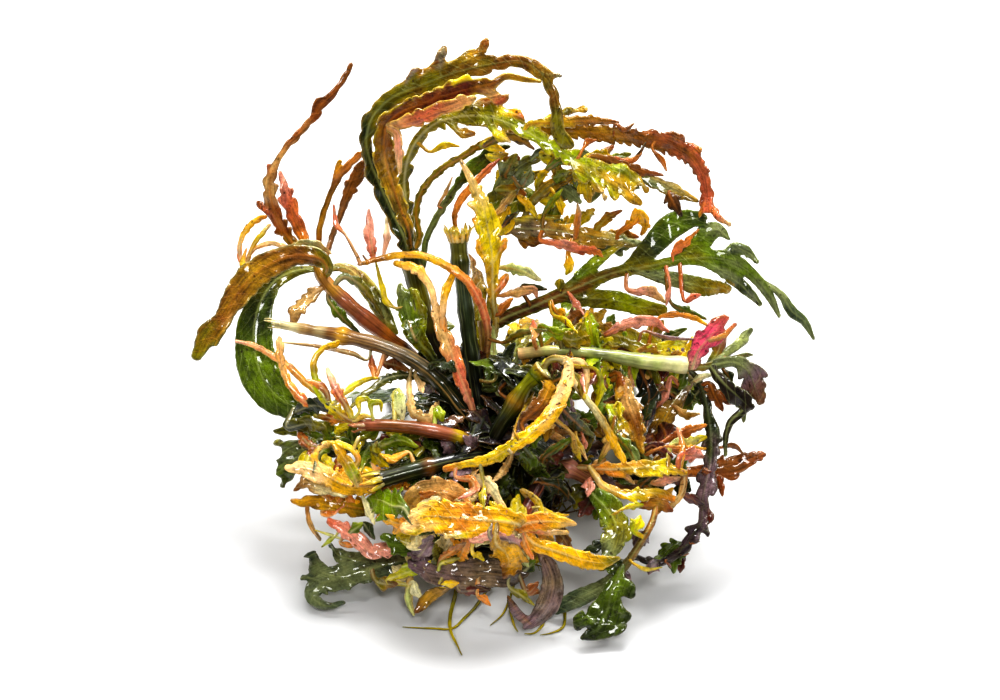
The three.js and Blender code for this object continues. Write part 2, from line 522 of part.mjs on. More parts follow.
    lobes: [
      [[11.5, 21.9, 0.5], [16, 26, 1], [21, 29.5, 0.4]],
      [[22, 25.7, 1], [26, 29.5, 1.8], [30, 33, 1.9], [33.2, 33.8, 1]],
      [[31, 27.4, 0.8], [34, 30.5, 1.5], [36, 32, 1.1], [38, 30.6, 0.3]],
      [[11, 21.5, 0.8], [17, 21, 1.5], [22, 20.2, 1.6], [27, 19.2, 1]],
      [[23, 25.8, 0.6], [29, 24.2, 1.2], [34, 23, 1.5], [38.3, 22.3, 0.7]],
      [[33, 27.3, 0.7], [38, 25, 1], [41, 22.5, 0.9], [43.3, 20, 0.4]],
    ],
    branches: [[[43.2, 24, 5.6, 0.4], [46.5, 21.7, 5, 0.6], [48.3, 19, 4.4, 0.9], [50.3, 17.3, 4, 0.7],
      [51.8, 14.6, 3.4, 0.25]]],
  },
  {
    name: "upright_yellow_leaf",
    colour: YELLOW,
    roll: [20, -10],
    route: [[0.8, 14.8, -1.6, 0.45], [0.9, 17.6, 2, 0.45], [0.5, 20.4, 4.2, 0.5], [0.4, 23, 4.8, 0.7],
      [0.3, 28, 5.4, 1.3], [-0.3, 32, 6, 1.5], [-1.2, 36, 6.4, 1],
      [-2.8, 39.5, 6.6, 0.6], [-4.6, 43, 7, 0.3]],
    lobes: [
      [[0.5, 26.6, 0.6], [1.4, 28.4, 0.7], [2.3, 30.2, 0.5]],
      [[0.2, 26.6, 0.6], [-1, 28.2, 0.8], [-2, 30.2, 0.5]],
      [[-0.3, 31, 0.6], [-2.4, 33.6, 0.4]],
    ],
  },
  {
    name: "orange_bow_leaf",
    colour: ORANGE,
    roll: [10, 10],
    route: [[-0.5, 12.6, -0.8, 0.5], [-0.3, 15.2, 2.2, 0.5], [-0.8, 18.4, 4, 0.6], [-2.2, 21.7, 5.4, 0.7],
      [-4.2, 24.4, 6, 0.6],
      [-7.2, 26.4, 6, 0.55], [-10.4, 27.8, 5.6, 0.5], [-14.2, 28, 5, 0.5], [-18, 27.3, 4, 0.4],
        [-21, 26.5, 3, 0.25]],
  },
  {
    name: "orange_forked_leaf",
    colour: CORAL,
    roll: [15, 20],
    route: [[-2.4, 2, 3.4, 0.4], [-3.2, 4.4, 4.2, 0.5], [-5, 9, 5, 0.9], [-6.5, 13, 5.4, 1.1],
      [-8, 17, 5.6, 1], [-8.8, 20, 5.4, 0.45],
      [-9.6, 23, 4.6, 0.5], [-11.6, 25.6, 3.6, 0.7], [-15, 26.7, 2.4, 0.5]],
    branches: [[[-7.6, 16, 5.6, 0.5], [-7.5, 19.5, 6, 0.4], [-6.9, 22.6, 6, 0.6], [-5.8, 25.2, 5.6, 0.4]]],
  },
  {
    name: "green_lobed_leaf",
    colour: LEAF_GREEN,
    roll: [10, -10],
    route: [[-8.4, 10.4, -2.6, 0.5], [-9.8, 12.4, -0.6, 0.8], [-11.3, 14, 0.6, 1], [-13, 18, 1, 1.2],
      [-13.8, 21.2, 1, 1.1], [-14.4, 23, 1, 0.4]],
    lobes: [[[-11.5, 14.5, 0.5], [-10.6, 18, 0.7], [-11.6, 21, 0.7], [-12.6, 22.6, 0.4]]],
  },
  {
    name: "green_reed_leaf",
    colour: DARK_GREEN,
    roll: [20, 10],
    route: [[-11.4, 24.6, -2.6, 0.4], [-10.7, 27, -2, 0.45], [-10.3, 30, -1.4, 0.45],
      [-8.5, 34, -0.6, 0.5], [-6, 38, 0.4, 0.5], [-3.5, 41.2, 1.4, 0.8],
      [-1.5, 43, 2, 0.9], [1, 44.8, 2.6, 0.7], [3, 45.4, 3, 0.3]],
  },
  {
    name: "long_brown_leaf",
    colour: OLIVE,
    roll: [20, -20],
    route: [[-0.4, 17, -2.4, 0.4], [0.2, 23, -1.4, 0.45], [0.5, 29, 0, 0.5], [1.8, 32, 1, 0.9],
      [6, 32.2, 1.6, 1.2], [10.5, 31.9, 2, 1.2], [15, 31.1, 2.2, 1.2],
      [20, 30.4, 2.2, 1], [24, 29.9, 2, 0.4]],
    lobes: [[[1.4, 32.4, 0.4], [6, 33.9, 0.5], [11, 34.1, 0.4]]],
  },
  {
    name: "green_upper_leaf",
    colour: DARK_GREEN,
    roll: [15, 25],
    route: [[0.4, 31.8, 1.2, 0.5], [0.2, 33.8, 2.2, 0.5], [0.8, 37, 3, 0.9], [3, 40.6, 4, 1.1],
      [5.6, 42.6, 5, 0.9], [8.6, 44, 5.6, 0.4]],
    lobes: [[[3, 40.5, 0.5], [5, 39.9, 0.8], [6.6, 40.8, 0.4]]],
  },
  {
    name: "yellow_band_leaf",
    colour: YELLOW,
    roll: [20, -15],
    route: [[0.9, 6.6, -2, 0.5], [4, 9.4, 0, 0.5], [8, 12.8, 2.2, 0.5], [12, 15, 3.6, 0.6],
      [16.5, 15.4, 4.2, 1.4],
      [21, 14.9, 4.8, 1.6], [26, 13.3, 5.2, 1.4], [31, 12.4, 5, 0.8]],
    lobes: [[[26.5, 13.2, 0.6], [29.5, 13.6, 0.9], [31.6, 14.2, 0.3]]],
  },
  {
    name: "rosette_leaves",
    colour: GREY_GREEN,
    roll: [10, 20],
    route: [[32.2, 10, 7.4, 0.5], [35.5, 10.4, 7, 0.5], [38, 12.3, 6.6, 0.6], [40, 14, 6, 0.7],
      [41.7, 16, 5.4, 0.4]],
    branches: [
      [[35.2, 10.3, 7, 0.5], [39, 10.9, 7.2, 0.6], [41.3, 9.5, 7, 1], [42.4, 7, 6.4, 1.2],
        [43.2, 4.6, 6, 0.4]],
      [[35.2, 10.3, 7, 0.4], [37.5, 7.4, 7.8, 0.8], [39.5, 5.6, 7.8, 1.1], [41.4, 3.8, 7.6, 0.6]],
      [[34.9, 10.3, 6.8, 0.5], [36.4, 12.4, 5.6, 1], [37.2, 15.2, 5, 0.5]],
      [[41.2, 4.2, 7.6, 0.4], [40.2, 3, 7.2, 0.6], [38.4, 1.2, 7, 0.5], [37.7, -1.5, 7, 0.35],
        [37.7, -4, 7, 0.25]],
      [[32.4, 10.2, 7.8, 0.4], [33.2, 12.6, 8.6, 0.9], [35.2, 15, 8.8, 1.1], [37.6, 17.8, 8.6, 0.4]],
      [[35, 14.4, 8.8, 0.4], [37.2, 15, 8.6, 0.4], [39.2, 16.8, 8.4, 0.3]],
    ],
  },
];

// Leaves behind the clump, away from the eye. Their points are [x, y, z, half width].
const BACK_LEAVES = [
  {
    name: "back_left_leaves",
    colour: DARK_GREEN,
    route: [[-5, 6, 12, 0.8], [-9, 12, 12.5, 1.4], [-13, 18, 9, 2.2], [-16, 24, 4, 1.8],
      [-17.5, 28, 0.9, 0.5]],
    branches: [
      [[-5, 6, 12, 0.7], [-7, 12, 17, 0.8], [-9, 19, 20.5, 1.8], [-10, 26, 20, 2], [-10.5, 31, 17, 0.5]],
      [[-6.4, 8, 12.2, 0.6], [-14, 12, 14, 1.4], [-21, 15, 12.5, 1.8], [-26, 17.5, 9, 0.5]],
      [[-9, 12, 12.5, 0.7], [-6, 20, 11.5, 1.6], [-5, 26, 7, 1.8], [-4.6, 30, 1.2, 0.5]],
      [[-9, 12, 12.5, 0.7], [-17, 14, 8.5, 1.7], [-23, 16, 1.2, 0.5]],
    ],
  },
  {
    name: "back_middle_leaves",
    colour: OLIVE,
    route: [[0, 7, 14, 0.8], [1, 14, 17, 1.4], [2, 22, 15, 2.4], [3, 30, 8, 2], [3.4, 36, 0.9, 0.5]],
    branches: [
      [[0, 7, 14, 0.6], [-1, 13, 22, 1], [-2, 19, 28, 2], [-3, 24, 31, 1.6], [-3.5, 28, 31.5, 0.4]],
      [[1, 14, 17, 0.7], [5.5, 20, 20, 1.8], [8.5, 26, 18.5, 1.8], [9.5, 31, 13, 0.5]],
      [[1, 14, 17, 0.7], [-3, 19, 17.5, 1.8], [-5, 25, 13.5, 1.6], [-5.5, 29, 8, 0.5]],
    ],
  },
  {
    name: "back_right_leaves",
    colour: LEAF_GREEN,
    route: [[6, 6, 13, 0.8], [11, 12, 17, 1.4], [17, 19, 16, 2.4], [22, 26, 9, 2], [25, 31, 0.9, 0.5]],
    branches: [
      [[6, 6, 13, 0.7], [9, 13, 21, 1], [13, 20, 26, 2], [16, 26, 27, 1.7], [18, 30, 25, 0.4]],
      [[8.6, 9, 15.2, 0.5], [18, 14, 19, 1.4], [25, 17, 18, 1.8], [31, 20, 14, 0.5]],
      [[11, 12, 17, 0.7], [12, 19, 14.5, 1.8], [12.6, 26, 9, 1.8], [13, 32, 1.2, 0.5]],
      [[17, 19, 16, 0.7], [24, 20, 13, 1.6], [29.5, 21.5, 6, 0.5]],
    ],
  },
  {
    name: "right_low_leaves",
    colour: BROWN,
    route: [[8, 3, 10, 0.8], [15, 6, 12.5, 1.3], [23, 9, 10, 2.2], [30, 12, 5, 1.8], [35, 14, 0.9, 0.5]],
    branches: [
      [[10, 4, 10.8, 0.5], [16, 4, 15, 1], [22, 4, 17, 1.6], [29, 5, 16, 0.5]],
      [[15, 6, 12.5, 0.7], [20, 12, 9.5, 1.7], [25, 17.5, 4, 1.4], [27, 20.5, 1.2, 0.5]],
      [[8, 3, 10, 0.8], [14, 8.5, 6.5, 1.7], [19, 14, 1.2, 0.5]],
    ],
  },
];

const viewRight = new THREE.Vector3(1, 0, 0);
const viewUp = new THREE.Vector3(0, Math.sin(VIEW_ELEVATION), Math.cos(VIEW_ELEVATION));
const viewNear = new THREE.Vector3(0, -Math.cos(VIEW_ELEVATION), Math.sin(VIEW_ELEVATION));
const worldUp = new THREE.Vector3(0, 0, 1);

// The point that the eye sees at this place, this near: nearer points are drawn in to the line of sight.
function fromView([right, up, near]) {
  const drawn = near / EYE_DISTANCE;
  return new THREE.Vector3(0, 0, HUB_HEIGHT)
    .addScaledVector(viewRight, right + drawn * (EYE_RIGHT - right))
    .addScaledVector(viewUp, up + drawn * (EYE_UP - up))
    .addScaledVector(viewNear, near);
}

function fromWorld([x, y, z]) {
  return new THREE.Vector3(x, y, z);
}

function smoothCurve(points) {
  return new THREE.CatmullRomCurve3(points, false, "centripetal");
}

// The curve's sections: the points of the route that aren't crowded, and halfway along long steps.
function sectionsOf(points) {
  const last = points.length - 1;
  const places = [0];
  for (let i = 1; i < last; i++) {
    if (points[i].distanceTo(points[i - 1]) > LONG_STEP) places.push(i - 0.5);
    const before = points[Math.floor(places[places.length - 1])];
    if (points[i].distanceTo(before) > SHORT_STEP) places.push(i);
  }
  if (points[last].distanceTo(points[last - 1]) > LONG_STEP) places.push(last - 0.5);
  places.push(last);
  return places;
}

function between(values, place) {
  const low = Math.min(Math.floor(place), values.length - 2);
  return THREE.MathUtils.lerp(values[low], values[low + 1], place - low);
}

// The directions along, across and out of a leaf at a place of its curve.
function frameAt(curve, share, facing, roll) {
  const along = curve.getTangent(share);
  const out = facing.clone().addScaledVector(along, -facing.dot(along)).normalize();
  const across = new THREE.Vector3().crossVectors(along, out);
  const turn = THREE.MathUtils.degToRad(roll);
  const turned = out.clone().multiplyScalar(Math.cos(turn)).addScaledVector(across, Math.sin(turn));
  return { along, out: turned, across: new THREE.Vector3().crossVectors(along, turned) };
}

// A manifold-3d solid from rings of points, with flat ends.
function solidOfRings(rings) {
  const sides = rings[0].length;
  const positions = rings.flat().flatMap((point) => point.toArray());
  const triangles = [];
  for (let ring = 0; ring + 1 < rings.length; ring++)
    for (let side = 0; side < sides; side++) {
      const next = (side + 1) % sides;
      const a = ring * sides + side;
      const b = ring * sides + next;
      triangles.push(a, b, b + sides, a, b + sides, a + sides);
    }
  const last = (rings.length - 1) * sides;
  for (let side = 1; side + 1 < sides; side++) {
    triangles.push(0, side + 1, side);
    triangles.push(last, last + side, last + side + 1);
  }
  return solidOfMesh(new Float32Array(positions), new Uint32Array(triangles));
}

function solidOfMesh(vertProperties, triVerts) {
  const solid = new wasm.Manifold(new wasm.Mesh({ numProp: 3, vertProperties, triVerts }));
  if (solid.volume() > 0) return solid;
  const turned = new Uint32Array(triVerts.length);
  for (let i = 0; i < triVerts.length; i += 3) {
    turned.set([triVerts[i], triVerts[i + 2], triVerts[i + 1]], i);
  }
  return new wasm.Manifold(new wasm.Mesh({ numProp: 3, vertProperties, triVerts: turned }));
}

// A strip with a ridge on both faces: wide across, thin out of the leaf.
function stripSolid(sections, grown) {
  const rings = sections.map(({ centre, frame, half }, index) => {
    const end = index === 0 ? -1 : index === sections.length - 1 ? 1 : 0;
    const middle = centre.clone().addScaledVector(frame.along, end * grown);
    const wide = half + grown * 1.2;
    const thick = Math.min(half, LEAF_HALF_THICKNESS) + grown * 1.2;
    return [
      middle.clone().addScaledVector(frame.across, wide),
      middle.clone().addScaledVector(frame.out, thick),
      middle.clone().addScaledVector(frame.across, -wide),
      middle.clone().addScaledVector(frame.out, -thick),
    ];
  });
  return solidOfRings(rings);
}

function stripAlong(points, halves, facing, [rollBase, rollTip], grown) {
  const curve = smoothCurve(points);
  const steps = points.length - 1;
  const sections = sectionsOf(points).map((place) => {
    const share = place / steps;
    const roll = THREE.MathUtils.lerp(rollBase, rollTip, share);
    return {
      centre: curve.getPoint(share),
      frame: frameAt(curve, share, facing, roll),
      half: between(halves, place) / Math.cos(THREE.MathUtils.degToRad(roll)),
    };
  });
  return stripSolid(sections, grown);
}

// A lobe's points lie on the leaf's own sheet: beside the nearest place of the midrib.
function lobeSolid(leaf, lobe, grown) {
  const seen = leaf.route.map(([right, up]) => new THREE.Vector3(right, up, 0));
  const seenCurve = smoothCurve(seen);
  const curve = smoothCurve(leaf.route.map(fromView));
  const samples = 20 * (leaf.route.length - 1);
  const placed = lobe.map(([right, up, half]) => {
    const point = new THREE.Vector3(right, up, 0);
    let share = 0;
    for (let i = 1; i <= samples; i++) {
      const closest = seenCurve.getPoint(share).distanceTo(point);
      if (seenCurve.getPoint(i / samples).distanceTo(point) < closest) share = i / samples;
    }
    const roll = THREE.MathUtils.lerp(leaf.roll[0], leaf.roll[1], share);
    const frame = frameAt(curve, share, viewNear, roll);
    const offset = point.sub(seenCurve.getPoint(share));
    const level = fromView([right, up, 0]).sub(fromView([right - offset.x, up - offset.y, 0]));
    const beside = level.dot(frame.across) / Math.cos(THREE.MathUtils.degToRad(roll)) ** 2;
    const beyond = level.dot(frame.along);
    const centre = curve
      .getPoint(share)
      .addScaledVector(frame.across, beside)
      .addScaledVector(frame.along, beyond)
      .addScaledVector(frame.out, ((leaf.cup ?? 0) * beside * beside) / 2);
    return { centre, out: frame.out, half };
  });
  const lobeCurve = smoothCurve(placed.map(({ centre }) => centre));
  const sections = placed.map(({ centre, out, half }, index) => {
    const frame = frameAt(lobeCurve, index / (placed.length - 1), out, 0);
    return { centre, frame, half };
  });
  return stripSolid(sections, grown);
}

function leafSolid(leaf, grown) {
  const points = leaf.route.map(fromView);
  let solid = stripAlong(points, leaf.route.map((point) => point[3]), viewNear, leaf.roll, grown);
  for (const lobe of leaf.lobes ?? []) solid = solid.add(lobeSolid(leaf, lobe, grown));
  for (const branch of leaf.branches ?? []) {
    const halves = branch.map((point) => point[3]);
    solid = solid.add(stripAlong(branch.map(fromView), halves, viewNear, leaf.roll, grown));
  }
  return solid;
}

function backLeafSolid(leaf, grown) {
  const strips = [leaf.route, ...leaf.branches].map((route) => {
    const halves = route.map((point) => point[3]);
    return stripAlong(route.map(fromWorld), halves, worldUp, [0, 20], grown);
  });
  return strips.reduce((joined, strip) => joined.add(strip));
}

function stemSolid(stem, grown) {
  const points = stem.route.map(fromView);
  const radii = stem.route.map((point) => point[3]);
  const curve = smoothCurve(points);
  const steps = points.length - 1;
  const places = sectionsOf(points);
  const rings = places.map((place, index) => {
    const end = index === 0 ? -1 : index === places.length - 1 ? 1 : 0;
    const { along, out, across } = frameAt(curve, place / steps, viewNear, 0);
    const centre = curve.getPoint(place / steps).addScaledVector(along, end * grown);
    const radius = between(radii, place) + grown * 1.15;
    return Array.from({ length: STEM_SIDES }, (_, side) => {
      const angle = (side / STEM_SIDES) * 2 * Math.PI;
      return centre
        .clone()
        .addScaledVector(out, radius * Math.cos(angle))
        .addScaledVector(across, radius * Math.sin(angle));
    });
  });
  return solidOfRings(rings);
}

// The crown is a low lump of matted roots: its flanks are fluted and its underside is flat.
function crownSolid(grown) {
  const profile = [[0.9, 0], [1, 3], [0.92, 7.5], [0.72, 11.5], [0.48, 15], [0.24, 17]];
  const rings = profile.map(([share, height], level) =>
    Array.from({ length: CROWN_SIDES }, (_, side) => {
      const angle = (side / CROWN_SIDES) * 2 * Math.PI;
      const uneven = 1 + 0.1 * Math.sin(5 * angle + 0.7 * level) + 0.05 * Math.sin(3 * angle - level);
      const radius = CROWN_RADIUS * share * uneven + grown;
      const z = level > 0 ? height + grown : height;
      return new THREE.Vector3(radius * Math.cos(angle), radius * Math.sin(angle), z);
    }),
  );
  return solidOfRings(rings);
}

// The largest separate body of a mesh, as positions and triangles of its own.
function largestBody(solid) {
  const mesh = solid.getMesh();
  const count = mesh.vertProperties.length / mesh.numProp;
  const plain = new THREE.BufferGeometry();
  const corners = new Float32Array(count * 3);
  for (let i = 0; i < count; i++) {
    const start = mesh.numProp * i;
    corners.set(mesh.vertProperties.subarray(start, start + 3), 3 * i);
  }
  plain.setAttribute("position", new THREE.BufferAttribute(corners, 3));
  plain.setIndex(new THREE.BufferAttribute(new Uint32Array(mesh.triVerts), 1));
  const merged = mergeVertices(plain, 2e-3);
  const positions = merged.attributes.position.array;
  const index = merged.index.array;
  const body = Array.from({ length: positions.length / 3 }, (_, i) => i);
  const find = (i) => {
    let root = i;
    while (body[root] !== root) root = body[root];
    return root;
  };
  for (let i = 0; i < index.length; i += 3) {
    body[find(index[i + 1])] = find(index[i]);
    body[find(index[i + 2])] = find(index[i]);
  }
  const volumes = new Map();
  const [a, b, c] = [new THREE.Vector3(), new THREE.Vector3(), new THREE.Vector3()];
  for (let i = 0; i < index.length; i += 3) {
    a.fromArray(positions, 3 * index[i]);
    b.fromArray(positions, 3 * index[i + 1]);
    c.fromArray(positions, 3 * index[i + 2]);
    const root = find(index[i]);
    volumes.set(root, (volumes.get(root) ?? 0) + a.dot(b.cross(c)) / 6);
  }
  const [largest] = [...volumes].sort((one, other) => other[1] - one[1])[0];
  const kept = [];
  for (let i = 0; i < index.length; i += 3) {
    const corner = [index[i], index[i + 1], index[i + 2]];
    const flat = corner[0] === corner[1] || corner[1] === corner[2] || corner[2] === corner[0];
    if (!flat && find(index[i]) === largest) kept.push(...corner);
  }
  const geometry = new THREE.BufferGeometry();
  geometry.setAttribute("position", new THREE.BufferAttribute(positions, 3));
  geometry.setIndex(kept);
  return geometry.toNonIndexed();
}

function boxesMeet(one, other) {
  const a = one.boundingBox();
  const b = other.boundingBox();
  return [0, 1, 2].every((axis) => a.min[axis] < b.max[axis] && b.min[axis] < a.max[axis]);
}

const wasm = await Module();
wasm.setup();

const pieces = [
  { name: "root_crown", colour: ROOT_BROWN, make: crownSolid },
  ...STEMS.map((stem) => ({ ...stem, make: (grown) => stemSolid(stem, grown) })),
  ...LEAVES.map((leaf) => ({ ...leaf, make: (grown) => leafSolid(leaf, grown) })),
  ...BACK_LEAVES.map((leaf) => ({ ...leaf, make: (grown) => backLeafSolid(leaf, grown) })),
];

const clump = new THREE.Group();
clump.name = "hygrophila_clump";
const placed = [];
for (const piece of pieces) {
  let solid = piece.make(0);
  // Each piece stops short of the pieces before it.
  for (const earlier of placed) {
    if (boxesMeet(solid, earlier)) solid = solid.subtract(earlier);
  }
  placed.push(piece.make(CLEARANCE));
  const geometry = largestBody(solid);
  geometry.computeVertexNormals();
  const material = new THREE.MeshStandardMaterial({
    color: piece.colour,
    roughness: 0.45,
    metalness: 0,
    flatShading: true,
  });
  const mesh = new THREE.Mesh(geometry, material);
  mesh.name = piece.name;
  clump.add(mesh);
}

// The routes start from the crown's middle, and the clump reaches further to its right and its back.
const middle = new THREE.Box3().setFromObject(clump).getCenter(new THREE.Vector3());
clump.position.set(-middle.x, -middle.y, 0);
clump.updateMatrixWorld();

export default clump;
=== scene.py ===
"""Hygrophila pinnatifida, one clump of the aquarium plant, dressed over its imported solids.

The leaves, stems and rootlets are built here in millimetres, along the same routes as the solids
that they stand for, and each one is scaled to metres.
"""

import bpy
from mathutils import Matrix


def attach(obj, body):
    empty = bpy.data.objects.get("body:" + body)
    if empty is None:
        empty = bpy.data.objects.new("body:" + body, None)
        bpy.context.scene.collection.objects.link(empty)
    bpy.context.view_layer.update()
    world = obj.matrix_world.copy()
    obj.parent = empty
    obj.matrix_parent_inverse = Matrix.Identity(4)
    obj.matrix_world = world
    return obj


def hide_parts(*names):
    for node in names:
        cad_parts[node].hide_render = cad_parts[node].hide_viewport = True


bl_info = {
    "name": "Hygrophila Clump",
    "version": (1, 0, 0),
    "blender": (4, 5, 0),
    "location": "View3D > Sidebar > Clump",
    "description": "Lobed leaves, ridged stems and rootlets of a Hygrophila pinnatifida clump",
    "category": "Object",
}

import bpy
import numpy as np
from mathutils import Matrix, Vector

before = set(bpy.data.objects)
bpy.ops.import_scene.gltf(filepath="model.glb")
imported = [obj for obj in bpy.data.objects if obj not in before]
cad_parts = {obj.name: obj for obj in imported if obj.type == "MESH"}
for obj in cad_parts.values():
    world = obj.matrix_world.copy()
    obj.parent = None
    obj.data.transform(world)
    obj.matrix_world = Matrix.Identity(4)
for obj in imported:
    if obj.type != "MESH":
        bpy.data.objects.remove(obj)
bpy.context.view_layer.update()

MM = 0.001
HUB = np.array((-2.09, -2.807, 18.0))  # where the stems meet, in mm
ELEVATION = np.radians(40)  # how far down the eye looks
EYE = (1.6, 12.8, 378.0)  # the eye: right and up of the hub, and near, in mm
VIEW_WIDTH = 160.0  # how much of the hub's plane the picture spans, in mm

RIGHT = np.array((1.0, 0.0, 0.0))
UP = np.array((0.0, np.sin(ELEVATION), np.cos(ELEVATION)))
NEAR = np.array((0.0, -np.cos(ELEVATION), np.sin(ELEVATION)))
SKY = np.array((0.0, 0.0, 1.0))


def linear(code):
    """A colour written as rrggbb, as Blender's linear red, green and blue."""
    parts = [int(code[k : k + 2], 16) / 255 for k in (0, 2, 4)]
    return tuple(v / 12.92 if v < 0.04045 else ((v + 0.055) / 1.055) ** 2.4 for v in parts)


COLOURS = {
    "ink": "0f120a",
    "moss": "303a14",
    "green": "667a0c",
    "lime": "a8b409",
    "olive": "857b0e",
    "sage": "868c5c",
    "pine": "4d5a42",
    "celery": "c9d183",
    "yellow": "e4cb1e",
    "gold": "f2b826",
    "orange": "de8c34",
    "peach": "f8cd92",
    "coral": "d4704e",
    "rose": "f0607a",
    "pink": "e6a08a",
    "clay": "a8664a",
    "rust": "94501f",
    "brown": "84531c",
    "ochre": "b48a24",
    "cream": "f0e6b0",
    "mauve": "8c7276",
    "plum": "3c2e34",
    "russet": "6d2b1a",
    "umber": "2c1e12",
    "tan": "cfa768",
    "taupe": "8f7b60",
    "root": "a8a02c",
}


def leaf(name, slot, tints, rim, **shape):
    """One row of a leaf table: its colours from base to tip, its edge's and what shapes it."""
    return dict(name=name, slot=slot, tints=tints, rim=rim, **shape)


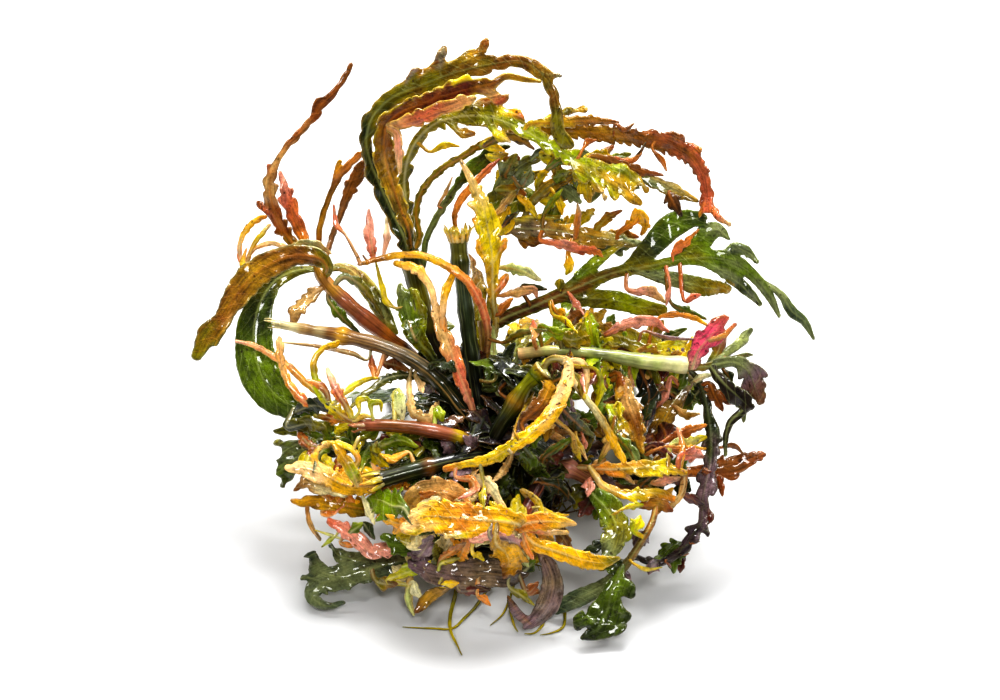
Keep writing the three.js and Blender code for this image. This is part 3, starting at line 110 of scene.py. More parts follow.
# A leaf's route is its midrib's points: how far right and up of the hub and how near each one is
# seen, and half the leaf's width there, all in mm. A lobe is its colours and its points, right, up
# and half the width. A branch is its colours and its route.
UPPER_LEAVES = (
    leaf("top_arch_leaf", "leaf_olive", "moss*2 olive brown olive", "ochre", roll=(20, 10), lobed=(4, .4),
        route=((-13.2, 28.8, -1.2, .9), (-13.9, 31, .2, .9), (-15.6, 34.5, 1, 1.1), (-17.6, 39, 3, 1.1),
        (-19.2, 43, 5, .9), (-19.8, 46.5, 7, .8), (-18.8, 50, 8.5, 1), (-16, 53, 10, 1.1),
        (-11, 55.2, 11, 1.4), (-5, 57.4, 12, 1.4), (.5, 58.6, 12.5, .9), (5, 59, 13, .9),
        (8, 57.2, 13.5, .9), (9.8, 54.6, 13.5, .6), (10.6, 51, 13, .8), (11, 48, 12, 1), (12.2, 46, 11, .9)),
        lobes=(
        ("olive ochre brown*2", (-13.5, 54.3, .5), (-11, 56.5, .8), (-8.2, 58.5, .3)),
        ("olive ochre rust", (-6, 57.3, .7), (-4, 59, 1.2), (-1.8, 60, 1), (-.5, 62, .4)),
        ("mauve", (-14, 54, .4), (-12.6, 56.6, .5), (-11.5, 57.9, .3)),
        ("taupe", (-7.8, 56.8, .6), (-7.9, 59, .9), (-7.2, 60.8, .4)),
        ("brown plum", (7.8, 57.4, .5), (9.5, 56.8, .6), (11.2, 56.6, .2)))),
    leaf("inner_arch_leaf", "leaf_brown", "moss ochre brown russet ochre", "yellow", roll=(30, 15),
        ruffle=.24, lobed=(3.4, .4),
        route=((-12.7, 29.4, 0, .5), (-13, 31.6, 2.6, .6), (-14.6, 36, 4, 1), (-16.3, 41, 6.5, 1.3),
        (-17, 45, 9, 1.4), (-16.6, 48.5, 10.5, 1.2), (-14.5, 50.8, 11.8, 1.1), (-10.5, 52.4, 13, 1.2),
        (-6, 53.9, 13.8, 1.3), (-2, 55, 14, 1), (.8, 55.6, 14, .5), (2.8, 56.6, 14, .5),
        (5.5, 56.1, 14.5, .4), (8, 55.8, 15.2, .25)),
        lobes=(
        ("rust tan coral brown", (-2, 55, .8), (.2, 54, .9), (1.5, 53, .7), (3, 53.8, .3)),
        ("pink yellow*2", (-9, 53.2, .4), (-6.5, 55, .5), (-3.6, 56.3, .5))),
        branches=(
        ("tan coral tan", (-16.6, 48.5, 10.5, .4), (-13, 49.3, 13.2, .9), (-9, 50.9, 14.5, 1),
            (-5, 52.3, 15, .9), (-2.6, 53.1, 15, .4)),
        ("tan pink peach", (-16.6, 48.5, 10.5, .5), (-14.9, 47.4, 11.6, .7), (-14.6, 44.5, 11, .6),
            (-14.4, 41.2, 10, .25)))),
    leaf("bridge_leaf", "leaf_yellow", "moss olive*2 lime ochre", "ochre", roll=(10, -15), lobed=(3.2, .7),
        route=((-12.6, 29, -2, .5), (-12.6, 31.4, -.8, .6), (-13.4, 36, 1, .75), (-13.7, 40, 2, .75),
        (-12.9, 44, 4, .7), (-11, 47.2, 6, .7), (-8.3, 49.2, 8, .8), (-4, 50.2, 9, 1), (0, 50, 10, 1.1),
        (4.5, 48.3, 10.5, .9), (9, 45.9, 10.5, .9), (13.5, 43.2, 10, 1.1), (17.5, 40.8, 9.5, 1.5),
        (21, 38.8, 9, 1.4), (24, 36.4, 8.5, .4)),
        lobes=(
        ("moss olive brown rust", (-4.6, 50.4, .6), (-2, 52, .8), (1.4, 52.4, .6)),
        ("moss olive ochre rust", (-6.2, 49.8, .4), (-5.2, 47.9, .7), (-2.4, 47.4, .6)),
        ("olive yellow gold coral", (0, 50, .8), (3, 50.8, .9), (5, 50, .6)),
        ("olive lime yellow tan", (-.5, 49.9, .5), (1, 47.5, .8), (3.2, 46.3, .5)),
        ("lime yellow olive ochre", (6, 47.5, .5), (9, 49.5, .6), (12, 50.8, .5), (15, 51.2, .5)),
        ("lime olive ochre tan", (14.5, 42.4, .8), (17, 39.5, .8), (18.3, 37.2, .4)),
        ("olive lime olive ochre", (16, 41.6, .6), (20, 42, .8), (23, 40.4, .9), (25, 38.4, .4)))),
    leaf("right_arch_leaf", "leaf_brown", "olive*2 ochre brown coral", "brown", roll=(20, 25), ruffle=.27,
        lobed=(1.6, .4),
        route=((-12.2, 28.6, -3.2, .5), (-11.3, 31, -3, .5), (-11.9, 34.5, -2.2, .5), (-10.8, 38.3, -1, .5),
        (-8, 41.5, 1, .5), (-4, 44, 3, .5), (0, 46.3, 5, .5), (6, 47.8, 6.6, .7), (12, 48, 7, .9),
        (18, 47.4, 7.6, 1), (24, 46.6, 8.2, 1), (29, 45.7, 8.8, 1.4), (32.3, 43.6, 9, 1.1),
        (34.1, 40.7, 8.5, .8), (34.7, 37.8, 8, .8), (34.6, 35.6, 8, .7)),
        lobes=(
        ("orange ochre", (34.6, 36.5, .6), (33.2, 34, .3)),
        ("orange coral peach", (34.6, 36, .3), (36.5, 34, .5), (38, 32.9, .4)),
        ("ochre rust", (29, 46, 1), (30.6, 46.9, .5)),
        ("rust", (24, 46.8, .6), (26, 47.5, .3)),
        ("rust orange", (32, 44.2, .9), (33.6, 45, .3)),
        ("orange coral", (34.6, 36.6, .6), (36.2, 34.9, .3)))),
    leaf("dark_glossy_leaf", "leaf_dark", "olive ochre sage ochre", "ochre", roll=(20, -20), lobed=(4, .32),
        route=((5.4, 33.8, 1.6, .4), (6.6, 36.2, 3, .6), (10, 39.3, 4.5, .9), (14.5, 41.3, 6, .7),
        (20.3, 41.2, 6.4, .8), (24.5, 40.3, 6.5, .9), (28.5, 38.7, 6.5, .9), (31, 37.6, 6.5, .7),
        (33.1, 36.7, 6.5, .3))),
    leaf("long_brown_leaf", "leaf_olive", "olive yellow taupe ochre sage", "ochre", roll=(20, -20),
        ruffle=.24, lobed=(3.5, .4),
        route=((-.4, 17, -2.4, .4), (.2, 23, -1.4, .45), (.5, 29, 0, .5), (1.8, 32, 1, .9),
        (6, 32.2, 1.6, 1.2), (10.5, 31.9, 2, 1.2), (15, 31.1, 2.2, 1.2), (20, 30.4, 2.2, 1),
        (24, 29.9, 2, .4)),
        lobes=(
        ("olive yellow olive", (1.4, 32.4, .4), (6, 33.9, .5), (11, 34.1, .4)),)),
    leaf("green_reed_leaf", "leaf_dark", "green sage green moss", "green", roll=(20, 10), ruffle=.15,
        lobed=(3.5, .48),
        route=((-11.4, 24.6, -2.6, .4), (-10.7, 27, -2, .45), (-10.3, 30, -1.4, .45), (-8.5, 34, -.6, .5),
        (-6, 38, .4, .5), (-3.5, 41.2, 1.4, .8), (-1.5, 43, 2, .9), (1, 44.8, 2.6, .7), (3, 45.4, 3, .3))),
    leaf("green_upper_leaf", "leaf_dark", "olive*2 sage olive", "green", roll=(15, 25), lobed=(3, .48),
        route=((.4, 31.8, 1.2, .5), (.2, 33.8, 2.2, .5), (.8, 37, 3, .9), (3, 40.6, 4, 1.1),
        (5.6, 42.6, 5, .9), (8.6, 44, 5.6, .4)),
        lobes=(
        ("sage pine", (3, 40.5, .5), (5, 39.9, .8), (6.6, 40.8, .4)),)),
)

LEFT_LEAVES = (
    leaf("whip_leaves", "leaf_brown", "olive rust tan rust brown", "rust", roll=(-20, 25), lobed=(3, .64),
        route=((-27.9, 26, -.8, .4), (-30, 28, -1, .6), (-32, 30.5, -1, .8), (-33.8, 33.3, 0, .9),
        (-34.9, 36.5, 1, .9), (-35.2, 39.5, 2, .8), (-34.5, 42, 2.5, .5), (-32.8, 45, 3, .4),
        (-30.3, 47.7, 3.5, .5), (-28.3, 50, 4, .5), (-26.8, 52.3, 4.5, .7), (-24.8, 54.3, 5, .4),
        (-23.3, 56.3, 5, .4), (-22.3, 58.4, 5, .3)),
        lobes=(
        ("rust coral rust", (-34, 34, .6), (-35.5, 35, .7), (-36.9, 36, .4)),
        ("rust coral", (-35, 40.5, .5), (-35.5, 42.3, .3))),
        branches=(
        ("tan orange coral pink", (-27.9, 26, -1, .4), (-28.8, 28.4, -2.8, .5), (-30.2, 31.6, -3, .9),
            (-31.5, 34.5, -2.4, 1), (-32.5, 37.5, -1.5, .9), (-33.6, 41.2, -1, .3)),)),
    leaf("reed_leaves", "leaf_brown", "brown rust ochre brown orange", "rust", roll=(10, 30), ruffle=.12,
        lobed=(3, .4),
        route=((-27, 25.6, -1.6, .4), (-27.4, 29.6, -4.2, .4), (-27.1, 33, -3.6, .4), (-26, 36.5, -2.6, .4),
        (-24.6, 39.8, -1.4, .4), (-22.8, 42.2, -.4, .5), (-20.6, 44.2, .4, .45)),
        lobes=(
        ("orange gold", (-24.6, 39.8, .4), (-24.2, 42, .6), (-23.9, 43, .3)),),
        branches=(
        ("brown taupe brown*2", (-27, 25.6, -1.6, .4), (-25.8, 29.2, -4.6, .4), (-24.9, 32, -4.8, .4),
            (-23.6, 35.2, -4.4, .5), (-22.5, 38.3, -4, .8), (-21.2, 41, -3.6, 1), (-20.4, 42.8, -3.4, .4)),)),
    leaf("mottled_leaf", "leaf_brown", "olive brown ochre brown olive", "sage", roll=(-25, 20), ruffle=.12,
        lobed=(8, .1),
        route=((-26.4, 24.9, 1.4, .6), (-26, 25.9, 3, .8), (-26.8, 27.2, 3.4, 1.2), (-30.5, 28, 3.6, 1.4),
        (-34.5, 26.9, 3.6, 1.8), (-38.2, 24.4, 3.4, 2), (-40.8, 21.2, 3, 1.7), (-43, 17.9, 2.5, 1),
        (-45.2, 15.2, 2, 1.6), (-46.9, 12, 1.5, .8)),
        lobes=(
        ("ochre tan ochre olive", (-41.2, 20.5, .6), (-42, 17.2, .6), (-43.8, 13.7, .4)),)),
    leaf("green_hoop_leaf", "leaf_green", "olive moss green moss", "green", roll=(20, -10), ruffle=.09,
        ragged=.08,
        route=((-27.2, 25.5, 0, .4), (-28.8, 25.7, .2, .5), (-31.3, 25.3, 0, .9), (-34.3, 23.8, .2, 1.3),
        (-36.6, 20.6, .6, 2.1), (-37.7, 16.6, 1, 2.9), (-37.6, 12.4, 1.5, 3.2), (-36.5, 8.6, 2, 3.4),
        (-34.2, 5.5, 2.4, 3), (-31, 3.6, 2.6, 2), (-28.6, 3.1, 2.4, 1), (-26.9, 3.8, 2, .3))),
    leaf("crinkled_olive_leaf", "leaf_olive", "olive tan olive sage olive", "celery", roll=(-20, 10),
        route=((-26.4, 25.2, -.8, .4), (-24.6, 26, -1.8, .6), (-22.5, 25.6, -1.8, 1),
        (-20.2, 23.5, -1.8, 1.4), (-18, 20.3, -1.8, 1.4), (-16.4, 17.3, -2, 1.2), (-15, 15.6, -2.4, .4))),
    leaf("fine_yellow_shoot", "leaf_yellow", "olive coral peach gold orange", "orange", ruffle=.09,
        lobed=(1.6, .8),
        route=((-37.8, 24.2, 2.2, .35), (-39.3, 25.6, 1, .35), (-40.1, 28.6, .8, .35),
        (-39.5, 31.2, 1, .35), (-38, 33.1, 1, .45), (-36, 34.2, 1, .3)),
        branches=(
        ("coral gold yellow peach", (-39.3, 25.6, .6, .3), (-38, 29.3, 1.6, .3), (-36.8, 31, 2, .35),
            (-35.3, 32.8, 2.2, .25)),
        ("coral orange peach*2", (-39.3, 25.6, .6, .3), (-38, 28.7, .4, .3), (-35.5, 29.8, .2, .35),
            (-32.9, 29.5, .2, .3)))),
    leaf("ring_leaf_shoot", "leaf_yellow", "rust yellow lime ochre gold", "yellow", ruffle=.12,
        lobed=(1.8, .56),
        route=((-21.3, 1.1, 8.2, .5), (-24, 2.6, 8.8, .8), (-26.4, 4.9, 9, .7), (-27.9, 8, 9, .5),
        (-28.1, 11, 9, .4), (-26.8, 13, 8.5, .35), (-24.3, 13.9, 6.8, .4)),
        branches=(
        ("yellow rust coral pink cream", (-22.2, 2.2, 8.8, .4), (-23, 3.8, 9.8, .5), (-24.4, 6, 10, .7),
            (-25.3, 8, 10, .5), (-26, 9.8, 10, .25)),
        ("yellow orange pink", (-23.6, 2.6, 8.6, .4), (-27.2, 5.5, 6.8, .35), (-29.5, 7.6, 6, .45),
            (-32, 10, 5.8, .5), (-35, 12, 5.4, .45), (-38, 13.6, 5, .35), (-40.6, 14.2, 4.6, .25)),
        ("yellow coral orange peach", (-23.4, 2.4, 8.4, .4), (-27.9, 3.8, 7.2, .35), (-30.3, 5.1, 7.4, .7),
            (-32.3, 7.8, 7.4, .45), (-33.4, 10.8, 7.4, .5), (-33.7, 14.3, 7.4, .5)),
        ("gold orange rust olive", (-22.4, 1.6, 8.2, .4), (-25, 1.8, 6.8, .7), (-28, 2.3, 6, .3)))),
    leaf("left_dark_leaves", "leaf_dark", "moss pine moss sage green", "sage", roll=(20, -10),
        lobed=(3, .48),
        route=((-17.4, -1.6, 4.9, .4), (-19.6, -2.7, 3.8, .6), (-23.5, -2.8, 3.6, 1),
        (-27.5, -3.2, 3.8, 1.8), (-31, -4.6, 4, 2), (-33.6, -6.6, 4, .6)),
        lobes=(
        ("green*2 olive", (-29.6, -4, .7), (-32, -2.5, .7), (-34, -2, .4)),
        ("green moss", (-31, -5, .8), (-32.5, -7.5, .8), (-33.2, -8.8, .4)),
        ("moss", (-31, -4.6, .6), (-34, -5, .3))),
        branches=(
        ("pine moss sage", (-19.6, -2.7, 3.8, .4), (-21.6, -.8, 5.2, .8), (-24, -.3, 4.8, .9),
            (-27, .3, 4, .8), (-29.6, .5, 3, .3)),
        ("pine green olive", (-19.6, -2.7, 3.8, .4), (-22.8, -1.2, 2, .5), (-27, -1, .6, .8),
            (-31, 0, .6, 1), (-34.4, -.2, .6, .3)))),
    leaf("peach_shoot", "leaf_orange", "ochre gold peach*2", "gold", ruffle=.24, lobed=(2.6, .35),
        route=((-19, -9, 10.8, 1), (-23, -8.8, 11.5, 1.3), (-26.5, -7.2, 12, 1.2), (-29.5, -6.2, 12, 1),
        (-32.3, -6.1, 12, .5)),
        lobes=(
        ("peach gold peach yellow", (-26, -7.4, .5), (-28.2, -4.5, .45), (-26.8, -2.7, .45),
            (-25.3, -2.2, .4)),),
        branches=(
        ("tan lime ochre gold", (-21, -8.9, 11.2, .7), (-22.2, -6.4, 13.6, .9), (-23.6, -4.2, 14, .7),
            (-24.8, -2.3, 14, .45)),
        ("lime orange yellow gold", (-22.2, -6.4, 13.6, .4), (-21.1, -5, 13.8, .4), (-21.9, -3.2, 14, .4),
            (-24.4, -2, 14, .4)),
        ("yellow olive cream", (-21.9, -3.2, 14, .3), (-21, -1.2, 14, .25)))),
    leaf("ochre_leaf", "leaf_brown", "umber olive ochre gold brown", "brown", roll=(20, 0), lobed=(3, .48),
        route=((-17.4, -8.8, 9.2, .4), (-17.6, -11.2, 7.8, .5), (-19.4, -12.6, 7.6, .9),
        (-21.4, -12.5, 8, 1.2), (-24, -11.9, 8.8, 1.1), (-27.5, -11.3, 9, .9), (-30.3, -11.6, 9, .6),
        (-31.6, -11.3, 9, .3)),
        branches=(
        ("brown tan taupe", (-29.4, -11.6, 9, .3), (-28.8, -15, 9, .35), (-27.2, -17.5, 9, .25)),)),
    leaf("low_pink_leaf", "leaf_orange", "olive brown pink*2 coral", "pink", roll=(10, 20), lobed=(3, .4),
        route=((-7, -11.6, -1, .5), (-11, -15.4, 4, .5), (-13.6, -17.5, 7.6, .6), (-16.8, -19, 9, 1.1),
        (-19, -19.5, 9.2, 1), (-21, -17.8, 9.4, 1.1), (-23.2, -15.9, 9.5, .9), (-25.6, -14.6, 9.5, .5))),
    leaf("hooked_leaf", "leaf_grey", "olive pine sage pine", "pine", roll=(15, 0), lobed=(4, .32),
        route=((-3.4, -16, -.4, .7), (-9, -20.2, 3.4, .8), (-14, -21, 5, 1.5), (-19, -22.2, 5.4, 1.5),
        (-23.5, -23.6, 5.8, 1.9), (-27, -24.6, 6, 1.4), (-28.4, -26.6, 6.4, .9), (-26.2, -28.2, 7.2, .6),
        (-23.4, -27.6, 7.4, .3)),
        lobes=(
        ("pine sage pine", (-16.5, -21.6, .8), (-20.5, -21, 1.2), (-24, -20.2, 1.1), (-25.4, -18.6, .3)),
        ("pine sage moss", (-23.5, -23.5, 1), (-26.6, -22.9, 1), (-28.3, -19.8, .3)),
        ("pine moss", (-26.8, -24.5, .8), (-30.1, -23.7, .3)))),
)

FRONT_LEAVES = (
    leaf("front_dark_leaf", "leaf_dark", "green moss green", "green", roll=(20, 0), ruffle=.27,
        lobed=(2.4, .48),
        route=((-3, -13.6, 1.6, .5), (-6.6, -15.6, 7, .6), (-10.8, -17, 11, 1.5), (-14.3, -18, 12, 1.7),
        (-16.8, -17.2, 12, .6))),
    leaf("amber_cupped_leaf", "leaf_orange", "umber rust orange tan ochre", "rust", roll=(15, -15),
        ruffle=.36, lobed=(4, .2),
        route=((-.6, -8.6, 2, .5), (-2.2, -11, 9, .6), (-4, -11.6, 13, .9), (-5.8, -10.4, 14.6, 1.6),
        (-8.5, -10, 15, 2), (-11.5, -10.8, 14.6, 1.9), (-13.3, -12.9, 13.8, 1))),
    leaf("golden_leaf", "leaf_yellow", "ochre gold orange gold peach", "gold", roll=(-10, 15), ruffle=.12,
        lobed=(1.7, .2),
        route=((5, -15.8, 16.2, .7), (4.4, -15, 17.8, 1.4), (2, -14.6, 18.6, 1.8), (-2, -14.4, 19, 2),
        (-6.5, -14, 18.8, 2.1), (-10.3, -13.9, 18.2, 2), (-13.7, -15.6, 17.6, .6)),
        lobes=(
        ("gold yellow gold", (-9.5, -14.6, .8), (-12, -16.2, .6), (-13.6, -15.9, .4)),
        ("gold yellow cream", (0, -15, .9), (-4, -16.4, .8), (-7, -16.8, .3))),
        branches=(
        ("orange*2 gold tan", (4.6, -15.4, 16.8, .9), (6.6, -14.8, 17.6, 1.2), (9.5, -14.6, 17.6, 1.2),
            (13.6, -15, 17, .3)),
        ("orange coral peach tan", (4.9, -15.7, 16.4, .4), (9, -16.3, 16.6, .45), (12.3, -16.4, 16.4, .3)),
        ("orange gold*2 olive", (4.9, -15.8, 16.4, .6), (7, -18.1, 16.2, .9), (11, -19.5, 15.5, 1),
            (15, -20.8, 15, 1.2), (18, -21.2, 14.5, .9), (20.6, -20.5, 14, .3)),
        ("pink orange coral", (4.6, -15.8, 16.6, .6), (5.8, -18.8, 16.4, .5), (6.8, -20.4, 16, .3)))),
    leaf("crinkled_gold_leaf", "leaf_yellow", "olive peach gold yellow orange", "gold", roll=(20, -20),
        lobed=(1.5, .22),
        route=((8.6, 10, 10, .4), (9.8, 11.3, 11.8, .5), (12.4, 10.8, 13.5, .6), (12.3, 8, 14.5, .9),
        (11.3, 5.2, 15.5, 1), (9.6, 2.3, 16, 1.1), (7, -.2, 16.5, 1), (4, -2.3, 17, .9), (0, -4.6, 17, .8),
        (-4, -5.5, 16.5, .5), (-7, -6.2, 16, .5)),
        branches=(
        ("peach*3 yellow", (12.2, 10.8, 13.2, .5), (14, 11, 12.8, .5), (15.2, 10, 12.5, .5),
            (15.5, 7.8, 12.5, .4), (15.1, 5.2, 12.6, .3)),
        ("peach cream ochre gold", (12.4, 9, 13.6, .4), (14.9, 5.6, 12.5, .45), (17.3, 2.5, 12, .5),
            (19.3, -1, 11.5, .6), (20.6, -3.6, 11.2, .6), (21.4, -4.8, 11.2, .4)))),
    leaf("purple_folded_leaf", "leaf_purple", "mauve plum taupe mauve", "plum", roll=(-15, 15), ruffle=.36,
        lobed=(4, .2),
        route=((3.4, -14.6, .2, .5), (5, -19.2, 7, .5), (5.6, -21.8, 11.4, .8), (3.4, -23.2, 12.5, 1.5),
        (0, -23, 12.5, 2), (-5, -23.2, 12, 2), (-9, -22.6, 11.5, 1.8), (-12.4, -21.4, 11, .7)),
        branches=(
        ("taupe tan ochre brown", (-5, -23.6, 11.6, .4), (-7.2, -25.4, 10.4, .5), (-9.3, -26.4, 10, .9),
            (-10.7, -27.8, 10, .8), (-11.8, -29, 10.2, .35)),)),
    leaf("purple_hanging_leaf", "leaf_purple", "brown mauve taupe mauve", "plum", roll=(10, -15),
        route=((5.2, -13.6, .4, .5), (7, -16.8, 7, .5), (7.8, -19, 12.4, .5), (9.5, -22, 13, 1.3),
        (10, -25, 12.5, 1.8), (9.2, -28, 12, 1.9), (7.2, -30.4, 11.2, 1.2), (5.6, -31.6, 11, .4)),
        lobes=(
        ("brown mauve brown", (6.4, -31, .6), (4.4, -29, .8), (3.4, -26.6, .6)),)),
    leaf("cream_leaf", "leaf_yellow", "olive brown cream tan celery", "tan", roll=(0, 25), ruffle=.12,
        route=((-5.2, -13.8, 0, .4), (-10.2, -17.8, 4.4, .4), (-12.3, -20.6, 7.6, .4),
        (-12.9, -24.5, 8.4, .6), (-13, -27.2, 8.4, .7), (-12.2, -29.5, 8.8, .3))),
    leaf("grey_bow_leaf", "leaf_grey", "orange brown sage pine", "pine", roll=(35, 15), ruffle=.09,
        ragged=.06,
        route=((25.2, -9.8, 7, .45), (26.4, -12.2, 9.8, .45), (26, -14.6, 11, .5), (24, -18.2, 11, .55),
        (21.2, -22.2, 10.5, .7), (18, -25, 9.6, 1.1), (14, -27, 8.8, 1.4), (10.8, -28.4, 8.4, 1.1))),
    leaf("dark_lobed_leaf", "leaf_dark", "green moss", "moss", roll=(10, -5), ragged=.05,
        route=((21.2, -21.8, 11.2, .46), (19.5, -26, 12.4, 1.49), (18.5, -29.5, 12.4, 2.99),
        (17.3, -32, 12.9, 1.72), (14.9, -33.2, 13.2, .46)),
        lobes=(
        ("green moss", (19.8, -25, 1.17), (21.6, -25.3, 1.43), (22.4, -26.3, .78)),
        ("green moss", (19.2, -28.5, 1.3), (21.8, -29.8, .65)),
        ("green moss", (17.8, -29.5, 1.3), (15, -30.2, 1.3), (14, -31.5, .65)),
        ("green moss", (18.2, -31, 1.3), (20.3, -31.4, 1.17), (21.4, -31.2, .39)))),
    leaf("bright_hanging_leaf", "leaf_green", "moss green olive sage", "green", roll=(20, -15),
        lobed=(4, .32),
        route=((16.4, -8.2, 7.8, .5), (16.2, -9.9, 9.8, .8), (18.4, -12.3, 11, 1.6), (20.2, -15.5, 12, 1.9),
        (19.6, -18.6, 12.4, 1.6), (18.6, -20.4, 12.6, .6))),
)

